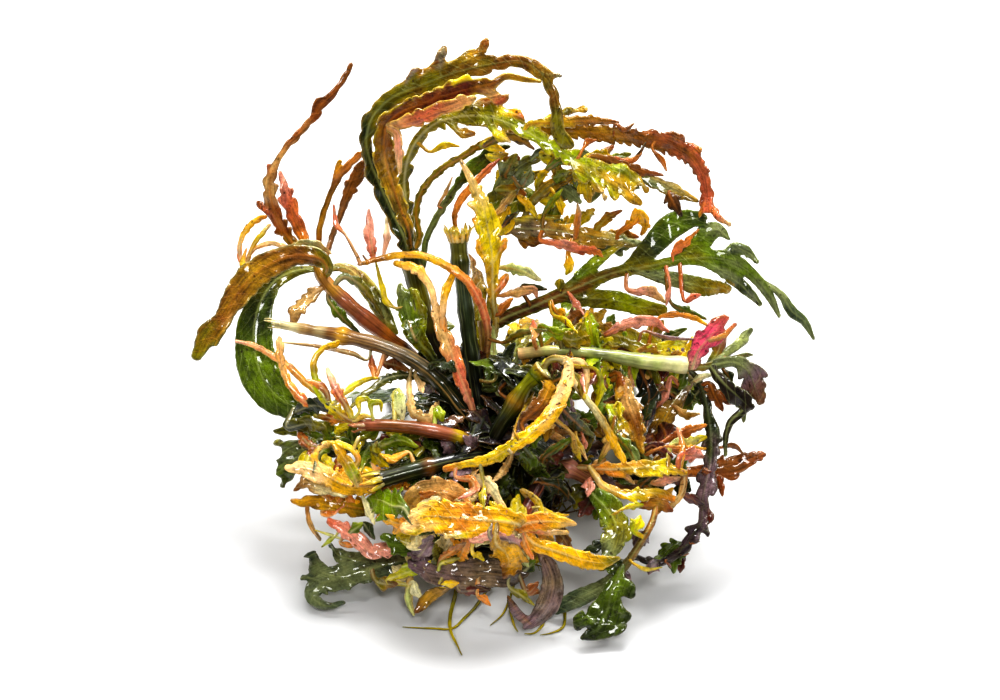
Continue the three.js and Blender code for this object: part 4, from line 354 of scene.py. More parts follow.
RIGHT_LEAVES = (
    leaf("black_chain_leaf", "leaf_dark", "umber moss mauve plum umber", "umber", roll=(15, 40),
        lobed=(2.8, .64),
        route=((32.2, 9.4, 6.6, .4), (33.6, 7.6, 5.6, .45), (34.8, 3.5, 6, .7), (35.4, -1.5, 6.5, .9),
        (35.2, -5.5, 7, .95), (34.5, -9, 7, 1.1), (34, -12.3, 7, .6), (33.9, -14.6, 7, .5),
        (32.6, -16.6, 6.8, .8), (31, -19, 6.5, .7), (28.4, -20.8, 6.3, .45), (25.8, -21.1, 6.2, .45),
        (23, -20.2, 6, .4)),
        lobes=(
        ("plum", (35.3, -.6, .5), (36.8, -1.6, .4)),
        ("plum russet", (34.2, -11.5, .5), (35.3, -13.9, .5)),
        ("plum", (33.7, -15.2, .5), (34.7, -16.5, .4)),
        ("russet", (31.4, -18.4, .4), (29.7, -19.4, .25)))),
    leaf("rust_blade_leaf", "leaf_brown", "brown orange rust brown rust", "rust", roll=(20, -20),
        lobed=(2.4, .45),
        route=((25.4, -8.8, 5.8, .48), (28, -7.4, 4.6, .6), (33, -6.6, 4.6, .84), (36, -6.3, 4.8, 1.32),
        (38.8, -5.9, 4.8, 1.44), (41.3, -4.8, 4.8, 1.08), (43.6, -3.9, 4.8, .48))),
    leaf("olive_brown_leaf", "leaf_olive", "tan taupe ochre brown", "brown", roll=(15, 0), ruffle=.15,
        lobed=(5, .24),
        route=((31.8, 9.6, 6, .4), (32.2, 8, 4, .5), (30.6, 6.3, 3.8, 1.2), (28.7, 3.5, 4, 1.5),
        (27, .5, 4, 1.4), (25.6, -1.4, 4, .6))),
    leaf("olive_highlight_leaf", "leaf_olive", "taupe olive moss ochre lime", "brown", roll=(-15, 10),
        ruffle=.15, lobed=(4, .32),
        route=((25, -9.4, 7, .35), (25.9, -7.8, 8.6, .35), (25.4, -5.2, 9, .4), (23.4, -2.6, 9, .9),
        (21, .3, 8.8, 1.2), (19.2, 3.5, 8.4, .7))),
    leaf("right_dark_leaf", "leaf_dark", "ink moss green moss", "green", roll=(10, 20), lobed=(3.5, .48),
        route=((3.4, .4, 5.2, .4), (6.6, .4, 7, .5), (9.8, .6, 8.5, .7), (13, 1.3, 9, 1.2),
        (16.5, 1.9, 8.8, 1.1), (18.6, 4.4, 7, .9), (19.3, 7, 6, .6), (18.8, 9.2, 5.6, .3))),
    leaf("right_yellow_leaf", "leaf_yellow", "brown orange ochre yellow ochre", "ochre", roll=(10, -20),
        ruffle=.24, lobed=(2.2, .48),
        route=((14.4, -6, 8.2, .4), (20, -6.3, 9.8, .9), (24, -6, 10.6, 1), (28, -6.1, 10.6, 1),
        (31.2, -6.8, 9.8, .4)),
        branches=(
        ("ochre tan gold yellow ochre orange", (16, -6, 9.6, .4), (18.3, -9, 10.4, .5),
            (22.5, -10.4, 10.6, .8), (26.5, -10.1, 10.4, .8), (29.4, -11, 9.6, .4)),
        ("yellow rust tan*2", (28, -6.2, 10.4, .5), (30.9, -7, 9.8, .45), (30.6, -10.3, 9.6, .45),
            (28.3, -12.8, 9.4, .4)),
        ("ochre orange*2 pink", (30.2, -6.6, 10, .4), (30.8, -3, 9.6, .45), (30.1, .2, 9.2, .3)))),
    leaf("big_right_leaf", "leaf_grey", "umber brown olive green sage", "green", roll=(0, 10), cup=-.03,
        ruffle=.12,
        route=((-.4, 15.8, -1.8, .8), (1.6, 17.5, 0, 1.1), (8, 20.2, 1.5, 1.1), (14, 22.8, 2.5, 1.2),
        (20, 25.2, 4, .9), (26, 26.3, 6, .7), (31, 27.3, 7, .9), (35, 27.6, 7, 1.3), (39, 26.8, 6.5, 1.3),
        (42, 24.8, 6, .9), (44.5, 21.8, 5, .8), (46.3, 18.2, 4, .3)),
        lobes=(
        ("olive green lime ochre", (11.5, 21.9, .5), (16, 26, 1), (21, 29.5, .4)),
        ("olive moss green moss", (22, 25.7, 1), (26, 29.5, 1.8), (30, 33, 1.9), (33.2, 33.8, 1)),
        ("olive green sage*2", (31, 27.4, .8), (34, 30.5, 1.5), (36, 32, 1.1), (38, 30.6, .3)),
        ("moss olive lime olive", (11, 21.5, .8), (17, 21, 1.5), (22, 20.2, 1.6), (27, 19.2, 1)),
        ("sage*2 olive ochre", (23, 25.8, .6), (29, 24.2, 1.2), (34, 23, 1.5), (38.3, 22.3, .7)),
        ("green sage moss sage", (33, 27.3, .7), (38, 25, 1), (41, 22.5, .9), (43.3, 20, .4)),
        ("pine sage", (37, 27.4, .6), (40, 29, .9), (42.5, 27, .4))),
        branches=(
        ("sage*2 pine sage", (43.2, 24, 5.6, .4), (46.5, 21.7, 5, .6), (48.3, 19, 4.4, .9),
            (50.3, 17.3, 4, .7), (51.8, 14.6, 3.4, .25)),)),
    leaf("yellow_band_leaf", "leaf_yellow", "ink yellow brown olive yellow", "ochre", roll=(20, -15),
        lobed=(3, .32),
        route=((.9, 6.6, -2, .5), (4, 9.4, 0, .5), (8, 12.8, 2.2, .5), (12, 15, 3.6, .6),
        (16.5, 15.4, 4.2, 1.4), (21, 14.9, 4.8, 1.6), (26, 13.3, 5.2, 1.4), (31, 12.4, 5, .8)),
        lobes=(
        ("yellow lime yellow", (26.5, 13.2, .6), (29.5, 13.6, .9), (31.6, 14.2, .3)),)),
    leaf("rosette_leaves", "leaf_grey", "brown olive sage celery sage", "moss", roll=(10, 20),
        lobed=(3, .48),
        route=((32.2, 10, 7.4, .5), (35.5, 10.4, 7, .5), (38, 12.3, 6.6, .6), (40, 14, 6, .7),
        (41.7, 16, 5.4, .4)),
        branches=(
        ("moss sage mauve brown", (35.2, 10.3, 7, .68), (39, 10.9, 7.2, .81), (41.3, 9.5, 7, 1.35),
            (42.4, 7, 6.4, 1.62), (43.2, 4.6, 6, .54)),
        ("umber", (35.2, 10.3, 7, .48), (37.5, 7.4, 7.8, .96), (39.5, 5.6, 7.8, 1.32), (41.4, 3.8, 7.6, .72)),
        ("moss olive brown pink", (34.9, 10.3, 6.8, .5), (36.4, 12.4, 5.6, 1), (37.2, 15.2, 5, .5)),
        ("umber*3 sage", (41.2, 4.2, 7.6, .4), (40.2, 3, 7.2, .6), (38.4, 1.2, 7, .5), (37.7, -1.5, 7, .35),
            (37.7, -4, 7, .25)),
        ("pink rose*2 coral", (32.4, 10.2, 7.8, .58), (33.2, 12.6, 8.6, 1.3), (35.2, 15, 8.8, 1.59),
            (37.6, 17.8, 8.6, .58)),
        ("coral orange coral", (35, 14.4, 8.8, .4), (37.2, 15, 8.6, .4), (39.2, 16.8, 8.4, .3)))),
)

MIDDLE_LEAVES = (
    leaf("upright_yellow_leaf", "leaf_yellow", "olive ochre yellow peach", "gold", roll=(20, -10),
        lobed=(2.2, .48),
        route=((.8, 14.8, -1.6, .45), (.9, 17.6, 2, .45), (.5, 20.4, 4.2, .5), (.4, 23, 4.8, .7),
        (.3, 28, 5.4, 1.3), (-.3, 32, 6, 1.5), (-1.2, 36, 6.4, 1), (-2.8, 39.5, 6.6, .6), (-4.6, 43, 7, .3)),
        lobes=(
        ("yellow orange*2", (.5, 26.6, .6), (1.4, 28.4, .7), (2.3, 30.2, .5)),
        ("yellow gold orange", (.2, 26.6, .6), (-1, 28.2, .8), (-2, 30.2, .5)),
        ("yellow peach orange", (-.3, 31, .6), (-2.4, 33.6, .4)),
        ("gold peach", (-1, 34, .5), (-3.2, 36.2, .4)),
        ("orange coral orange", (.4, 22, .5), (1.8, 23.2, .8), (2.6, 24.6, .4)))),
    leaf("orange_bow_leaf", "leaf_orange", "brown coral orange gold rust", "ochre", roll=(10, 10),
        lobed=(2.2, .25),
        route=((-.5, 12.6, -.8, .5), (-.3, 15.2, 2.2, .5), (-.8, 18.4, 4, .6), (-2.2, 21.7, 5.4, .7),
        (-4.2, 24.4, 6, .6), (-7.2, 26.4, 6, .55), (-10.4, 27.8, 5.6, .5), (-14.2, 28, 5, .5),
        (-18, 27.3, 4, .4), (-21, 26.5, 3, .25))),
    leaf("orange_forked_leaf", "leaf_orange", "pink coral tan peach gold", "orange", roll=(15, 20),
        ruffle=.15, lobed=(3, .4),
        route=((-2.4, 2, 3.4, .4), (-3.2, 4.4, 4.2, .5), (-5, 9, 5, .9), (-6.5, 13, 5.4, 1.1),
        (-8, 17, 5.6, 1), (-8.8, 20, 5.4, .45), (-9.6, 23, 4.6, .5), (-11.6, 25.6, 3.6, .7),
        (-15, 26.7, 2.4, .5)),
        branches=(
        ("orange peach gold*2", (-7.6, 16, 5.6, .5), (-7.5, 19.5, 6, .4), (-6.9, 22.6, 6, .6),
            (-5.8, 25.2, 5.6, .4)),)),
    leaf("green_lobed_leaf", "leaf_green", "moss olive green sage", "lime", roll=(10, -10), ruffle=.15,
        lobed=(3.5, .4),
        route=((-8.4, 10.4, -2.6, .5), (-9.8, 12.4, -.6, .8), (-11.3, 14, .6, 1), (-13, 18, 1, 1.2),
        (-13.8, 21.2, 1, 1.1), (-14.4, 23, 1, .4)),
        lobes=(
        ("lime olive*2", (-11.5, 14.5, .5), (-10.6, 18, .7), (-11.6, 21, .7), (-12.6, 22.6, .4)),)),
)

# The routes at the back are measured over the ground from under the hub, and up from it, in mm.
BACK_LEAVES = (
    leaf("back_left_leaves", "leaf_dark", "ink moss green moss olive", "sage", ruffle=.24, lobed=(6, .85),
        seen=False,
        route=((-5, 6, 12, .8), (-9, 12, 12.5, 1.4), (-13, 18, 9, 2.2), (-16, 24, 4, 1.8),
        (-17.5, 28, .9, .5)),
        branches=(
        ("moss green olive", (-5, 6, 12, .7), (-7, 12, 17, .8), (-9, 19, 20.5, 1.8), (-10, 26, 20, 2),
            (-10.5, 31, 17, .5)),
        ("moss pine sage", (-6.4, 8, 12.2, .6), (-14, 12, 14, 1.4), (-21, 15, 12.5, 1.8), (-26, 17.5, 9, .5)),
        ("moss green lime", (-9, 12, 12.5, .7), (-6, 20, 11.5, 1.6), (-5, 26, 7, 1.8), (-4.6, 30, 1.2, .5)),
        ("ink moss olive brown", (-9, 12, 12.5, .7), (-17, 14, 8.5, 1.7), (-23, 16, 1.2, .5)))),
    leaf("back_middle_leaves", "leaf_olive", "ink moss olive*2 brown", "ochre", ruffle=.24, lobed=(6, .85),
        seen=False,
        route=((0, 7, 14, .8), (1, 14, 17, 1.4), (2, 22, 15, 2.4), (3, 30, 8, 2), (3.4, 36, .9, .5)),
        branches=(
        ("moss olive brown", (0, 7, 14, .6), (-1, 13, 22, 1), (-2, 19, 28, 2), (-3, 24, 31, 1.6),
            (-3.5, 28, 31.5, .4)),
        ("moss olive ochre gold", (1, 14, 17, .7), (5.5, 20, 20, 1.8), (8.5, 26, 18.5, 1.8),
            (9.5, 31, 13, .5)),
        ("moss green olive", (1, 14, 17, .7), (-3, 19, 17.5, 1.8), (-5, 25, 13.5, 1.6), (-5.5, 29, 8, .5)))),
    leaf("back_right_leaves", "leaf_green", "ink green*2 lime olive", "lime", ruffle=.24, lobed=(6, .85),
        seen=False,
        route=((6, 6, 13, .8), (11, 12, 17, 1.4), (17, 19, 16, 2.4), (22, 26, 9, 2), (25, 31, .9, .5)),
        branches=(
        ("moss green lime", (6, 6, 13, .7), (9, 13, 21, 1), (13, 20, 26, 2), (16, 26, 27, 1.7),
            (18, 30, 25, .4)),
        ("moss olive yellow", (8.6, 9, 15.2, .5), (18, 14, 19, 1.4), (25, 17, 18, 1.8), (31, 20, 14, .5)),
        ("moss green olive brown", (11, 12, 17, .7), (12, 19, 14.5, 1.8), (12.6, 26, 9, 1.8),
            (13, 32, 1.2, .5)),
        ("moss green lime yellow", (17, 19, 16, .7), (24, 20, 13, 1.6), (29.5, 21.5, 6, .5)))),
    leaf("right_low_leaves", "leaf_brown", "ink brown olive brown rust", "brown", ruffle=.24,
        lobed=(6, .85), seen=False,
        route=((8, 3, 10, .8), (15, 6, 12.5, 1.3), (23, 9, 10, 2.2), (30, 12, 5, 1.8), (35, 14, .9, .5)),
        branches=(
        ("olive brown rust", (10, 4, 10.8, .5), (16, 4, 15, 1), (22, 4, 17, 1.6), (29, 5, 16, .5)),
        ("moss olive ochre", (15, 6, 12.5, .7), (20, 12, 9.5, 1.7), (25, 17.5, 4, 1.4), (27, 20.5, 1.2, .5)),
        ("ink moss green", (8, 3, 10, .8), (14, 8.5, 6.5, 1.7), (19, 14, 1.2, .5)))),
)

# A stem: its name, slot and colours from base to tip, its joints, each seen right and up of the hub
# with its colour and how much it swells, and its route of points and radii, in mm.
STEMS = (
    ("upright_stem", "stem_dark", "ink*2 moss pine olive",
     ((-5, 27, "moss", .15),),
     ((-.6, -.5, 0, 1.4), (-2, 6, 1, 1.35), (-3.4, 15.5, 2, 1.35), (-4.4, 24, 3, 1.3),
      (-4.9, 28.5, 3.6, 1.4), (-5.1, 31.3, 4, 1.8))),
    ("short_brown_stem", "stem_brown", "ink umber brown ochre tan",
     (),
     ((.6, .5, -3.5, 1.1), (0, 8, -2.6, 1.15), (-1, 17.6, -2, 1.1))),
    ("forked_stem", "stem_dark", "ink moss umber olive moss",
     (),
     ((-2, 1.5, -4, 1.6), (-7.5, 9.5, -4.5, 1.6), (-10.8, 19.5, -3.5, 1.5), (-13, 28.6, -2, 1.8))),
    ("arched_stem", "stem_brown", "ink moss taupe brown cream",
     ((-24, 14.5, "gold", .25), (-30, 16, "tan", .1)),
     ((-1.8, .3, 2.4, 1.3), (-5, 4, 2.8, 1.35), (-8, 7.7, 3, 1.3), (-12, 11, 3, 1.2), (-17, 13.3, 3, 1.15),
      (-23, 14.9, 2.5, 1.25), (-29, 16, 2, .85), (-34.3, 17, 1.5, .65))),
    ("glossy_red_stem", "stem_red", "umber brown clay brown clay",
     ((-5.3, -1, "yellow", .12),),
     ((-1, -3.6, 1.6, .9), (-2.8, -2.2, 6, 1), (-6, -.9, 8, 1.15), (-11, .2, 8.5, 1.15), (-16, .7, 8.5, 1),
      (-21, .8, 8, .95))),
    ("dark_red_stem", "stem_red", "umber brown clay russet",
     (),
     ((-2, -6, 1, .7), (-4.6, -4.6, 5, .75), (-9, -3.2, 5.4, .8), (-13, -2.2, 5.6, .9),
      (-17.5, -1.2, 5.4, .7))),
    ("lower_left_stem", "stem_dark", "ink*3 moss umber",
     ((-10, -5.6, "brown", .15),),
     ((.4, -6, 1.5, 1.1), (-1.4, -4.4, 6, 1.2), (-6, -5, 9, 1.25), (-12, -6.5, 10, 1.45),
      (-18.3, -8.2, 10.5, 1.55))),
    ("open_end_stem", "stem_dark", "ink*2 moss olive lime",
     ((4.4, 4.6, "ochre", .18),),
     ((.6, -3.6, .8, 1.2), (.4, -2, 4, 1.25), (2.2, 1.5, 6.5, 1.3), (4, 4.3, 8, 1.5), (5.9, 7.3, 9, 1.1),
      (8.4, 9.5, 9.6, 1.6))),
    ("pale_stem", "stem_pale", "peach celery sage celery cream",
     ((14, 13, "celery", .1),),
     ((4.6, 12.2, 5, 1), (10, 12.7, 6, .85), (18, 12.1, 6.8, 1), (25, 11, 7.4, 1.3), (31.6, 10.4, 7.2, 1.4))),
    ("lower_right_stem", "stem_brown", "umber taupe clay brown umber",
     ((12.8, -6.2, "pink", .2),),
     ((1.8, -4.6, .6, 1.1), (3.4, -3.6, 4, 1.1), (8, -4.4, 6, 1.15), (12.8, -6.2, 7, 1.3),
      (17.5, -8.5, 7, 1.05), (25, -9.3, 6.5, .9))),
    ("front_stem", "stem_red", "umber ink russet rust",
     (),
     ((9.2, -5.8, 7.8, .9), (7.4, -9.5, 11, 1.2), (6, -12.5, 13.6, 1.15), (4.8, -15.3, 15.4, .9))),
    ("rust_stem", "stem_red", "ink sage orange clay ochre",
     ((-14, 13, "russet", .1),),
     ((-1.5, -.5, -6, 1), (-8, 7.5, -8.6, 1), (-12.5, 12, -6.5, 1), (-15.5, 14.3, -3, 1.1),
      (-19, 17.1, -.5, 1.4), (-23, 20.4, 1, 1.4), (-26.6, 24.2, .6, 1.1), (-27.5, 26.2, -.4, 1))),
)

# Small leaves and twigs: colours from base to tip, widest half width, how far it stands off the
# leaves behind it, and where it is seen, right and up of the hub.
SMALL_UPPER_LEAVES = (
    ("yellow ochre rust", .6, .6, (6, 48.8), (10, 49.2), (16, 49.5), (20.5, 49.2)),
    ("russet brown", .35, .8, (20, 49), (21.5, 48), (23, 49)),
    ("orange rust", .4, .4, (15, 45.2), (15.6, 46), (17, 46.4)),
    ("rust coral orange", .4, .3, (19.5, 43.5), (21, 43), (23, 43.2), (24.2, 44.3)),
    ("brown umber", .3, .3, (23, 43.4), (23.8, 44), (24.9, 46)),
    ("olive brown brown rust", .5, .2, (16, 43.8), (20, 42.9), (24.5, 41.3), (27.6, 40.8)),
    ("rust orange gold orange", .6, .5, (20.5, 31.3), (23, 33.5), (23.7, 35), (24.8, 33), (24.2, 31.2)),
    ("brown umber", .9, .2, (28.6, 38), (29.3, 36.5), (30.5, 34.5)),
    ("coral orange", .5, .4, (29.2, 27.8), (30, 29), (32, 30.5), (33.3, 32)),
    ("olive orange orange coral", .45, .3, (-5.4, 32), (-5.6, 34.5), (-4.5, 37), (-2.5, 39.5), (0, 42),
     (1.5, 43.3)),
    ("coral tan peach", .25, .3, (-8.3, 35.7), (-7, 38.2), (-6, 40.5)),
    ("ochre tan olive", .55, .4, (.7, 34.5), (3, 37), (4.5, 38.5)),
    ("yellow gold yellow", .5, .5, (4.5, 37.5), (6.5, 35.5), (7.5, 34)),
    ("olive yellow gold", .5, .3, (10.5, 37.5), (11.2, 36), (11.5, 34.5)),
    ("moss green lime", .45, .4, (8.5, 34), (10, 36.5), (11.5, 38.5)),
    ("moss sage olive", 1, .1, (2.4, 40.6), (3, 42), (4, 44)),
    ("pine sage", .8, .1, (5, 39), (5.8, 40.2), (6.5, 41.4)),
    ("ink ink moss", .4, .2, (1.9, 32.5), (3, 33.8), (4.3, 34.8)),
    ("orange coral pink coral orange", .55, .6, (8, 30.5), (11, 29.8), (14, 29), (17, 28.5), (18, 27.8)),
    ("gold orange yellow", .7, .4, (12.5, 28), (12.7, 26.5), (12.3, 25)),
    ("yellow olive", .7, .3, (10.9, 24.2), (11.1, 23.4), (11, 22.5)),
    ("rust orange peach", .4, .3, (13.7, 30.5), (13.9, 32.5), (14.1, 34.5), (14, 36.3)),
    ("olive celery cream", .7, .3, (2, 26), (5, 25.5), (8, 24)),
    ("brown tan pink", .45, .4, (1.5, 21.5), (4, 22), (7, 22.3), (7.5, 21.2)),
    ("ink moss", .45, .1, (5, 23), (7, 22.8), (9, 22.5)),
    ("rust orange", .6, .4, (1.6, 18.6), (2, 19.5), (3.5, 21)),
    ("moss olive brown", .5, .2, (-1, 45.4), (2, 46.9), (5, 46.4), (7, 45)),
    ("moss green", .5, .2, (9, 41.5), (11, 43), (13.4, 43.5)),
    ("brown rust orange", .35, .4, (26, 45), (27.5, 43.2), (28.2, 41.5)),
    ("olive yellow gold", .4, .4, (-9.6, 44.5), (-7.4, 45.6), (-5, 45.4)),
)
SMALL_UPPER_LEFT_LEAVES = (
    ("coral coral pink pink", .6, .3, (-18.7, 27.6), (-18.9, 29), (-19.3, 32), (-19.4, 35.2)),
    ("pink pink cream", .4, .3, (-17, 28), (-16.5, 31), (-16.6, 34)),
    ("olive yellow yellow", .35, .3, (-15, 19.5), (-16.5, 20.5), (-17.3, 23), (-18.3, 27)),
    ("brown brown", .4, .3, (-19.4, 26.6), (-20.3, 27.9)),
    ("brown tan tan brown", .8, .2, (-27.1, 22.6), (-29.3, 20.9), (-31.2, 18.6), (-31.8, 16.4)),
    ("moss green moss", .6, .2, (-26, 21.5), (-24, 18.5), (-21, 15.5)),
    ("sage sage olive moss", .5, .5, (-25, 23), (-23.5, 24.5), (-21, 23.5), (-18.6, 20.6), (-17, 18)),
    ("ochre sage tan", .5, .5, (-32, 28.5), (-30.5, 29.7), (-28, 29.8), (-25.5, 28.3)),
    ("brown rust coral", .35, .3, (-23, 31), (-24.6, 33), (-25, 36)),
    ("olive yellow orange", .35, .3, (-37.5, 24), (-39.5, 26.5), (-39, 29)),
    ("moss olive", .45, .2, (-12, 24), (-13.5, 27), (-13, 30)),
    ("moss green lime", 1, .6, (-12, 14.5), (-13.2, 18), (-13.9, 22.4)),
    ("moss green lime", .9, .8, (-10.6, 14.5), (-10.8, 17.8), (-11.9, 21)),
)
SMALL_LEFT_LEAVES = (
    ("umber brown brown tan", .28, .3, (-19.5, 11.3), (-22, 12.2), (-27, 13.3), (-33, 14)),
    ("olive yellow yellow gold", .35, .5, (-24.2, 4.9), (-22.5, 6.6), (-20, 8), (-17.5, 8.3)),
    ("lime yellow yellow lime", .35, .9, (-20.9, 3), (-21, 4.6), (-19.6, 5), (-19.2, 3.6)),
    ("yellow lime yellow", .35, .9, (-18.9, 2.6), (-19, 4.2), (-17.6, 4.4), (-17.4, 3)),
    ("yellow gold celery", .35, .7, (-21.6, 1.4), (-20.4, 2.2), (-18.6, 2)),
    ("coral orange coral", .5, .4, (-18.3, 8.5), (-18.8, 10.2), (-19, 12)),
    ("brown tan tan peach tan", .55, .4, (-12.7, 9.5), (-12.8, 5), (-12, 2.5), (-10, 2), (-8.5, 3.8),
     (-7, 4.3)),
    ("tan peach", .5, .3, (-12, 9), (-11, 7), (-10.7, 6)),
    ("brown tan cream tan", 1.5, .6, (-9.4, 12.4), (-8.4, 11.9), (-7.5, 11.5), (-6, 10.5)),
    ("olive yellow celery cream", 1, .2, (-15, 6.4), (-14.6, 4.2), (-14, 2)),
    ("green lime", .7, .3, (-8.6, 3.6), (-8.1, 2.6), (-7.5, 1.5)),
    ("taupe tan taupe brown", .5, .7, (-4, .5), (-2, -1), (-1.3, -4)),
    ("cream celery cream", .4, .9, (-2, 5.3), (0, 6), (3, 5.3)),
    ("russet brown", .7, .1, (-17, 11), (-15, 10.4), (-13, 9.5)),
    ("ink moss ink", .9, .2, (-31, 3), (-28, 4), (-25, 3)),
    ("ink moss olive", 1, .2, (-32.5, .5), (-29.5, 1), (-26.5, .4)),
    ("ink green moss", .9, .2, (-27, -3.4), (-24, -2.4), (-21.5, -3)),
    ("olive green lime", .8, .2, (-17.5, -2.5), (-14.5, -1.6), (-11.8, -2.6)),
    ("brown rust orange", .5, .4, (-25.8, 5), (-27, 7), (-29.5, 8)),
    ("rust orange gold", .5, .5, (-13, -3.6), (-15.5, -4.6), (-17.5, -3.9)),
    ("ink moss moss olive", .5, .3, (-8.5, 7.3), (-12.5, 8.7), (-16.5, 8.2), (-20, 5.7), (-22.6, 3.3)),
)
SMALL_CENTRE_LEAVES = (
    ("ink ink moss", .55, .2, (1.5, 6.2), (3.6, 8.6), (6, 10.9)),
    ("brown ochre ochre brown", .7, .4, (5, 7), (5.4, 9), (5.8, 11), (6, 13)),
    ("moss celery celery", .45, .3, (.7, 8), (.6, 12), (.5, 17)),
    ("coral tan peach", .45, .6, (5.5, 3), (4.5, .5), (3.5, -1.5)),
    ("olive olive ochre", .35, .6, (4, -.5), (6, 4), (7, 6)),
    ("umber brown ochre brown", .9, .4, (5, 1), (8, 4), (9.5, 7), (9, 8.5)),
    ("moss olive sage", .5, .3, (2, 14), (5, 15.5), (9, 16)),
    ("coral tan coral", .6, .4, (7, 14.5), (7.2, 16), (7, 17.5)),
    ("moss green lime", .7, .3, (8, 16.5), (11, 15.3), (13, 16)),
    ("orange gold", .6, .4, (10.5, 19), (11.4, 18.6), (12, 18)),
    ("ink brown", 1, .1, (12.6, 17), (13.5, 18), (15, 19)),
    ("olive yellow yellow", .4, .5, (10, 18.5), (12, 17.5), (14, 15.5)),
    ("moss lime lime", .9, .5, (15.8, 18.3), (16.3, 15.5), (17, 13)),
    ("coral pink", .4, .6, (12.5, 22), (13.8, 20.2), (15, 18.5)),
    ("coral pink pink coral", .6, .6, (18.5, 15.3), (22, 17), (26, 17.2), (28.5, 15.8)),
    ("rust orange orange gold", .35, .6, (26.5, 17.5), (29, 18.5), (32.5, 18), (35.5, 16.3)),
    ("russet mauve mauve", .3, .5, (24.5, 15.8), (28, 14.8), (33.5, 14.5)),
    ("ink moss green", .5, .3, (29, 20.3), (31.5, 19), (34.5, 17.8)),
    ("brown pink tan", .6, .4, (22, 22.5), (26, 22), (28, 20.5)),
    ("coral pink", .35, .4, (28.8, 23), (28.5, 21.5), (28.2, 20)),
    ("rust coral", .5, .5, (31.2, 20.6), (32.5, 21.3), (33.6, 21.6)),
    ("brown rust ochre", .8, .3, (20.5, 9), (21, 6.5), (20.3, 5)),
    ("clay tan pink", .4, .5, (22.3, 9.8), (22.5, 7), (21.5, 5.5)),
    ("ink ink moss", 1.2, .1, (24, 10), (25.5, 6), (25, 2)),
    ("clay pink clay", .5, .4, (29, 8.5), (28, 5.5), (26.5, 3.5)),
    ("ink plum ink", .45, .3, (27.5, 6.5), (25.5, 2), (24.8, -1)),
    ("lime yellow", .45, .4, (20.5, 4.5), (20.8, 3.2), (20.8, 2)),
    ("moss olive tan olive", .6, .4, (20, 2), (19, -2), (17.5, -5)),
    ("olive tan yellow", .5, .4, (13, -.5), (13.6, -2.8), (14.5, -5)),
    ("pink yellow peach", .35, .6, (13.8, -1), (14.6, -3), (15.5, -4.8)),
    ("coral pink", .4, .5, (14.8, -1), (15.2, -2.2), (15.3, -3)),
    ("coral pink pink", .7, .6, (15.8, -7.8), (15.9, -9), (15.7, -10.5)),
    ("brown tan pink tan", .6, .4, (16, -6), (20, -6.3), (23, -8.5)),
    ("plum russet", .8, .3, (26, -2.4), (27, -3), (29, -4.3)),
    ("ink moss ink", .8, .1, (7, -8.4), (10.6, -9), (13.4, -11.6)),
    ("moss green olive", .7, .2, (2.5, -2.5), (6, -4.5), (9, -7)),
    ("olive lime yellow", .5, .4, (17, 9.6), (17.7, 6.5), (16.8, 3.4)),
    ("brown ochre gold", .5, .4, (12, 13), (12.8, 10.4), (11.9, 7.5)),
    ("brown clay pink", .4, .5, (15, 12.5), (14.6, 9), (15.2, 6)),
    ("ink moss sage", .8, .2, (11, 4), (14, 1), (16.5, -1)),
    ("moss green sage", .8, .2, (20, -.5), (22.5, -3.5), (24, -6.4)),
    ("lime yellow lime", 1.2, 1.6, (7, 8.4), (8.2, 9.4), (9.4, 10.2)),
    ("lime yellow", .6, 2, (8.2, 9.4), (9, 10.6), (10.2, 11)),
)
SMALL_RIGHT_LEAVES = (
    ("brown russet rust orange", .7, .4, (28.5, -1.5), (31.5, -.2), (34.5, .8)),
    ("olive celery yellow", .8, .2, (29, -2.5), (32, -2), (34.5, -1.2)),
    ("brown clay orange gold", .5, .5, (27, -3), (31, -3), (34.5, -3)),
    ("russet coral pink", .9, .4, (30.5, -4.2), (32.3, -3.9), (34, -4.3)),
    ("tan pink peach", .55, .4, (26, -8.5), (28.5, -8), (31, -7.7)),
    ("russet brown", .35, .3, (36.5, -2.8), (39, -2.5), (40.5, -3.8)),
    ("olive cream sage", .5, .4, (32.6, 7.6), (33.5, 8.3), (35.8, 9)),
    ("moss sage", .35, .3, (38, 11.5), (41, 12), (42, 12)),
    ("ink moss", .55, .2, (37.5, 9.5), (38.2, 8.6), (38.7, 7.8)),
    ("russet brown rust", .7, .3, (35, 7.5), (36, 5.5), (37.2, 3.2)),
    ("brown rust rust", .8, .3, (35.4, 6.4), (36.5, 5.5), (39, 4.3)),
    ("plum russet plum", .7, .2, (30.8, -10), (32.4, -11), (34, -12)),
    ("russet russet", .2, .2, (32, -18.2), (32.8, -18), (33.5, -17.8)),
    ("russet russet", .2, .2, (30.5, -20), (31.2, -19.9), (31.8, -19.8)),
    ("russet russet", .2, .2, (28, -21), (28.6, -21.5), (29, -22)),
    ("yellow yellow olive", .3, .4, (22.5, -21), (25, -22.3), (27.5, -22)),
    ("yellow lime yellow", .9, .4, (23, -16), (23.6, -15), (24, -14)),
    ("olive yellow lime", .45, .4, (21.5, -12.5), (23.2, -12.1), (25, -12)),
    ("brown rust ochre rust", .9, .3, (24, -12), (27, -12), (29, -12.8)),
    ("ink moss green", .8, .2, (24, -9), (27.5, -6.2), (29.5, -6)),
    ("plum russet rust", .6, .3, (34, -6.4), (36.5, -8), (37.2, -10.4)),
    ("moss pine sage", .6, .3, (39, 6.5), (40.4, 4), (40.6, 1.4)),
    ("brown tan ochre tan", .5, .4, (29.4, 3.8), (31.4, 2.4), (33.5, 2.6)),
    ("brown tan brown ochre", 1.1, .3, (21.2, 8.2), (22, 4.5), (23.3, .8), (24.3, -3.4)),
)
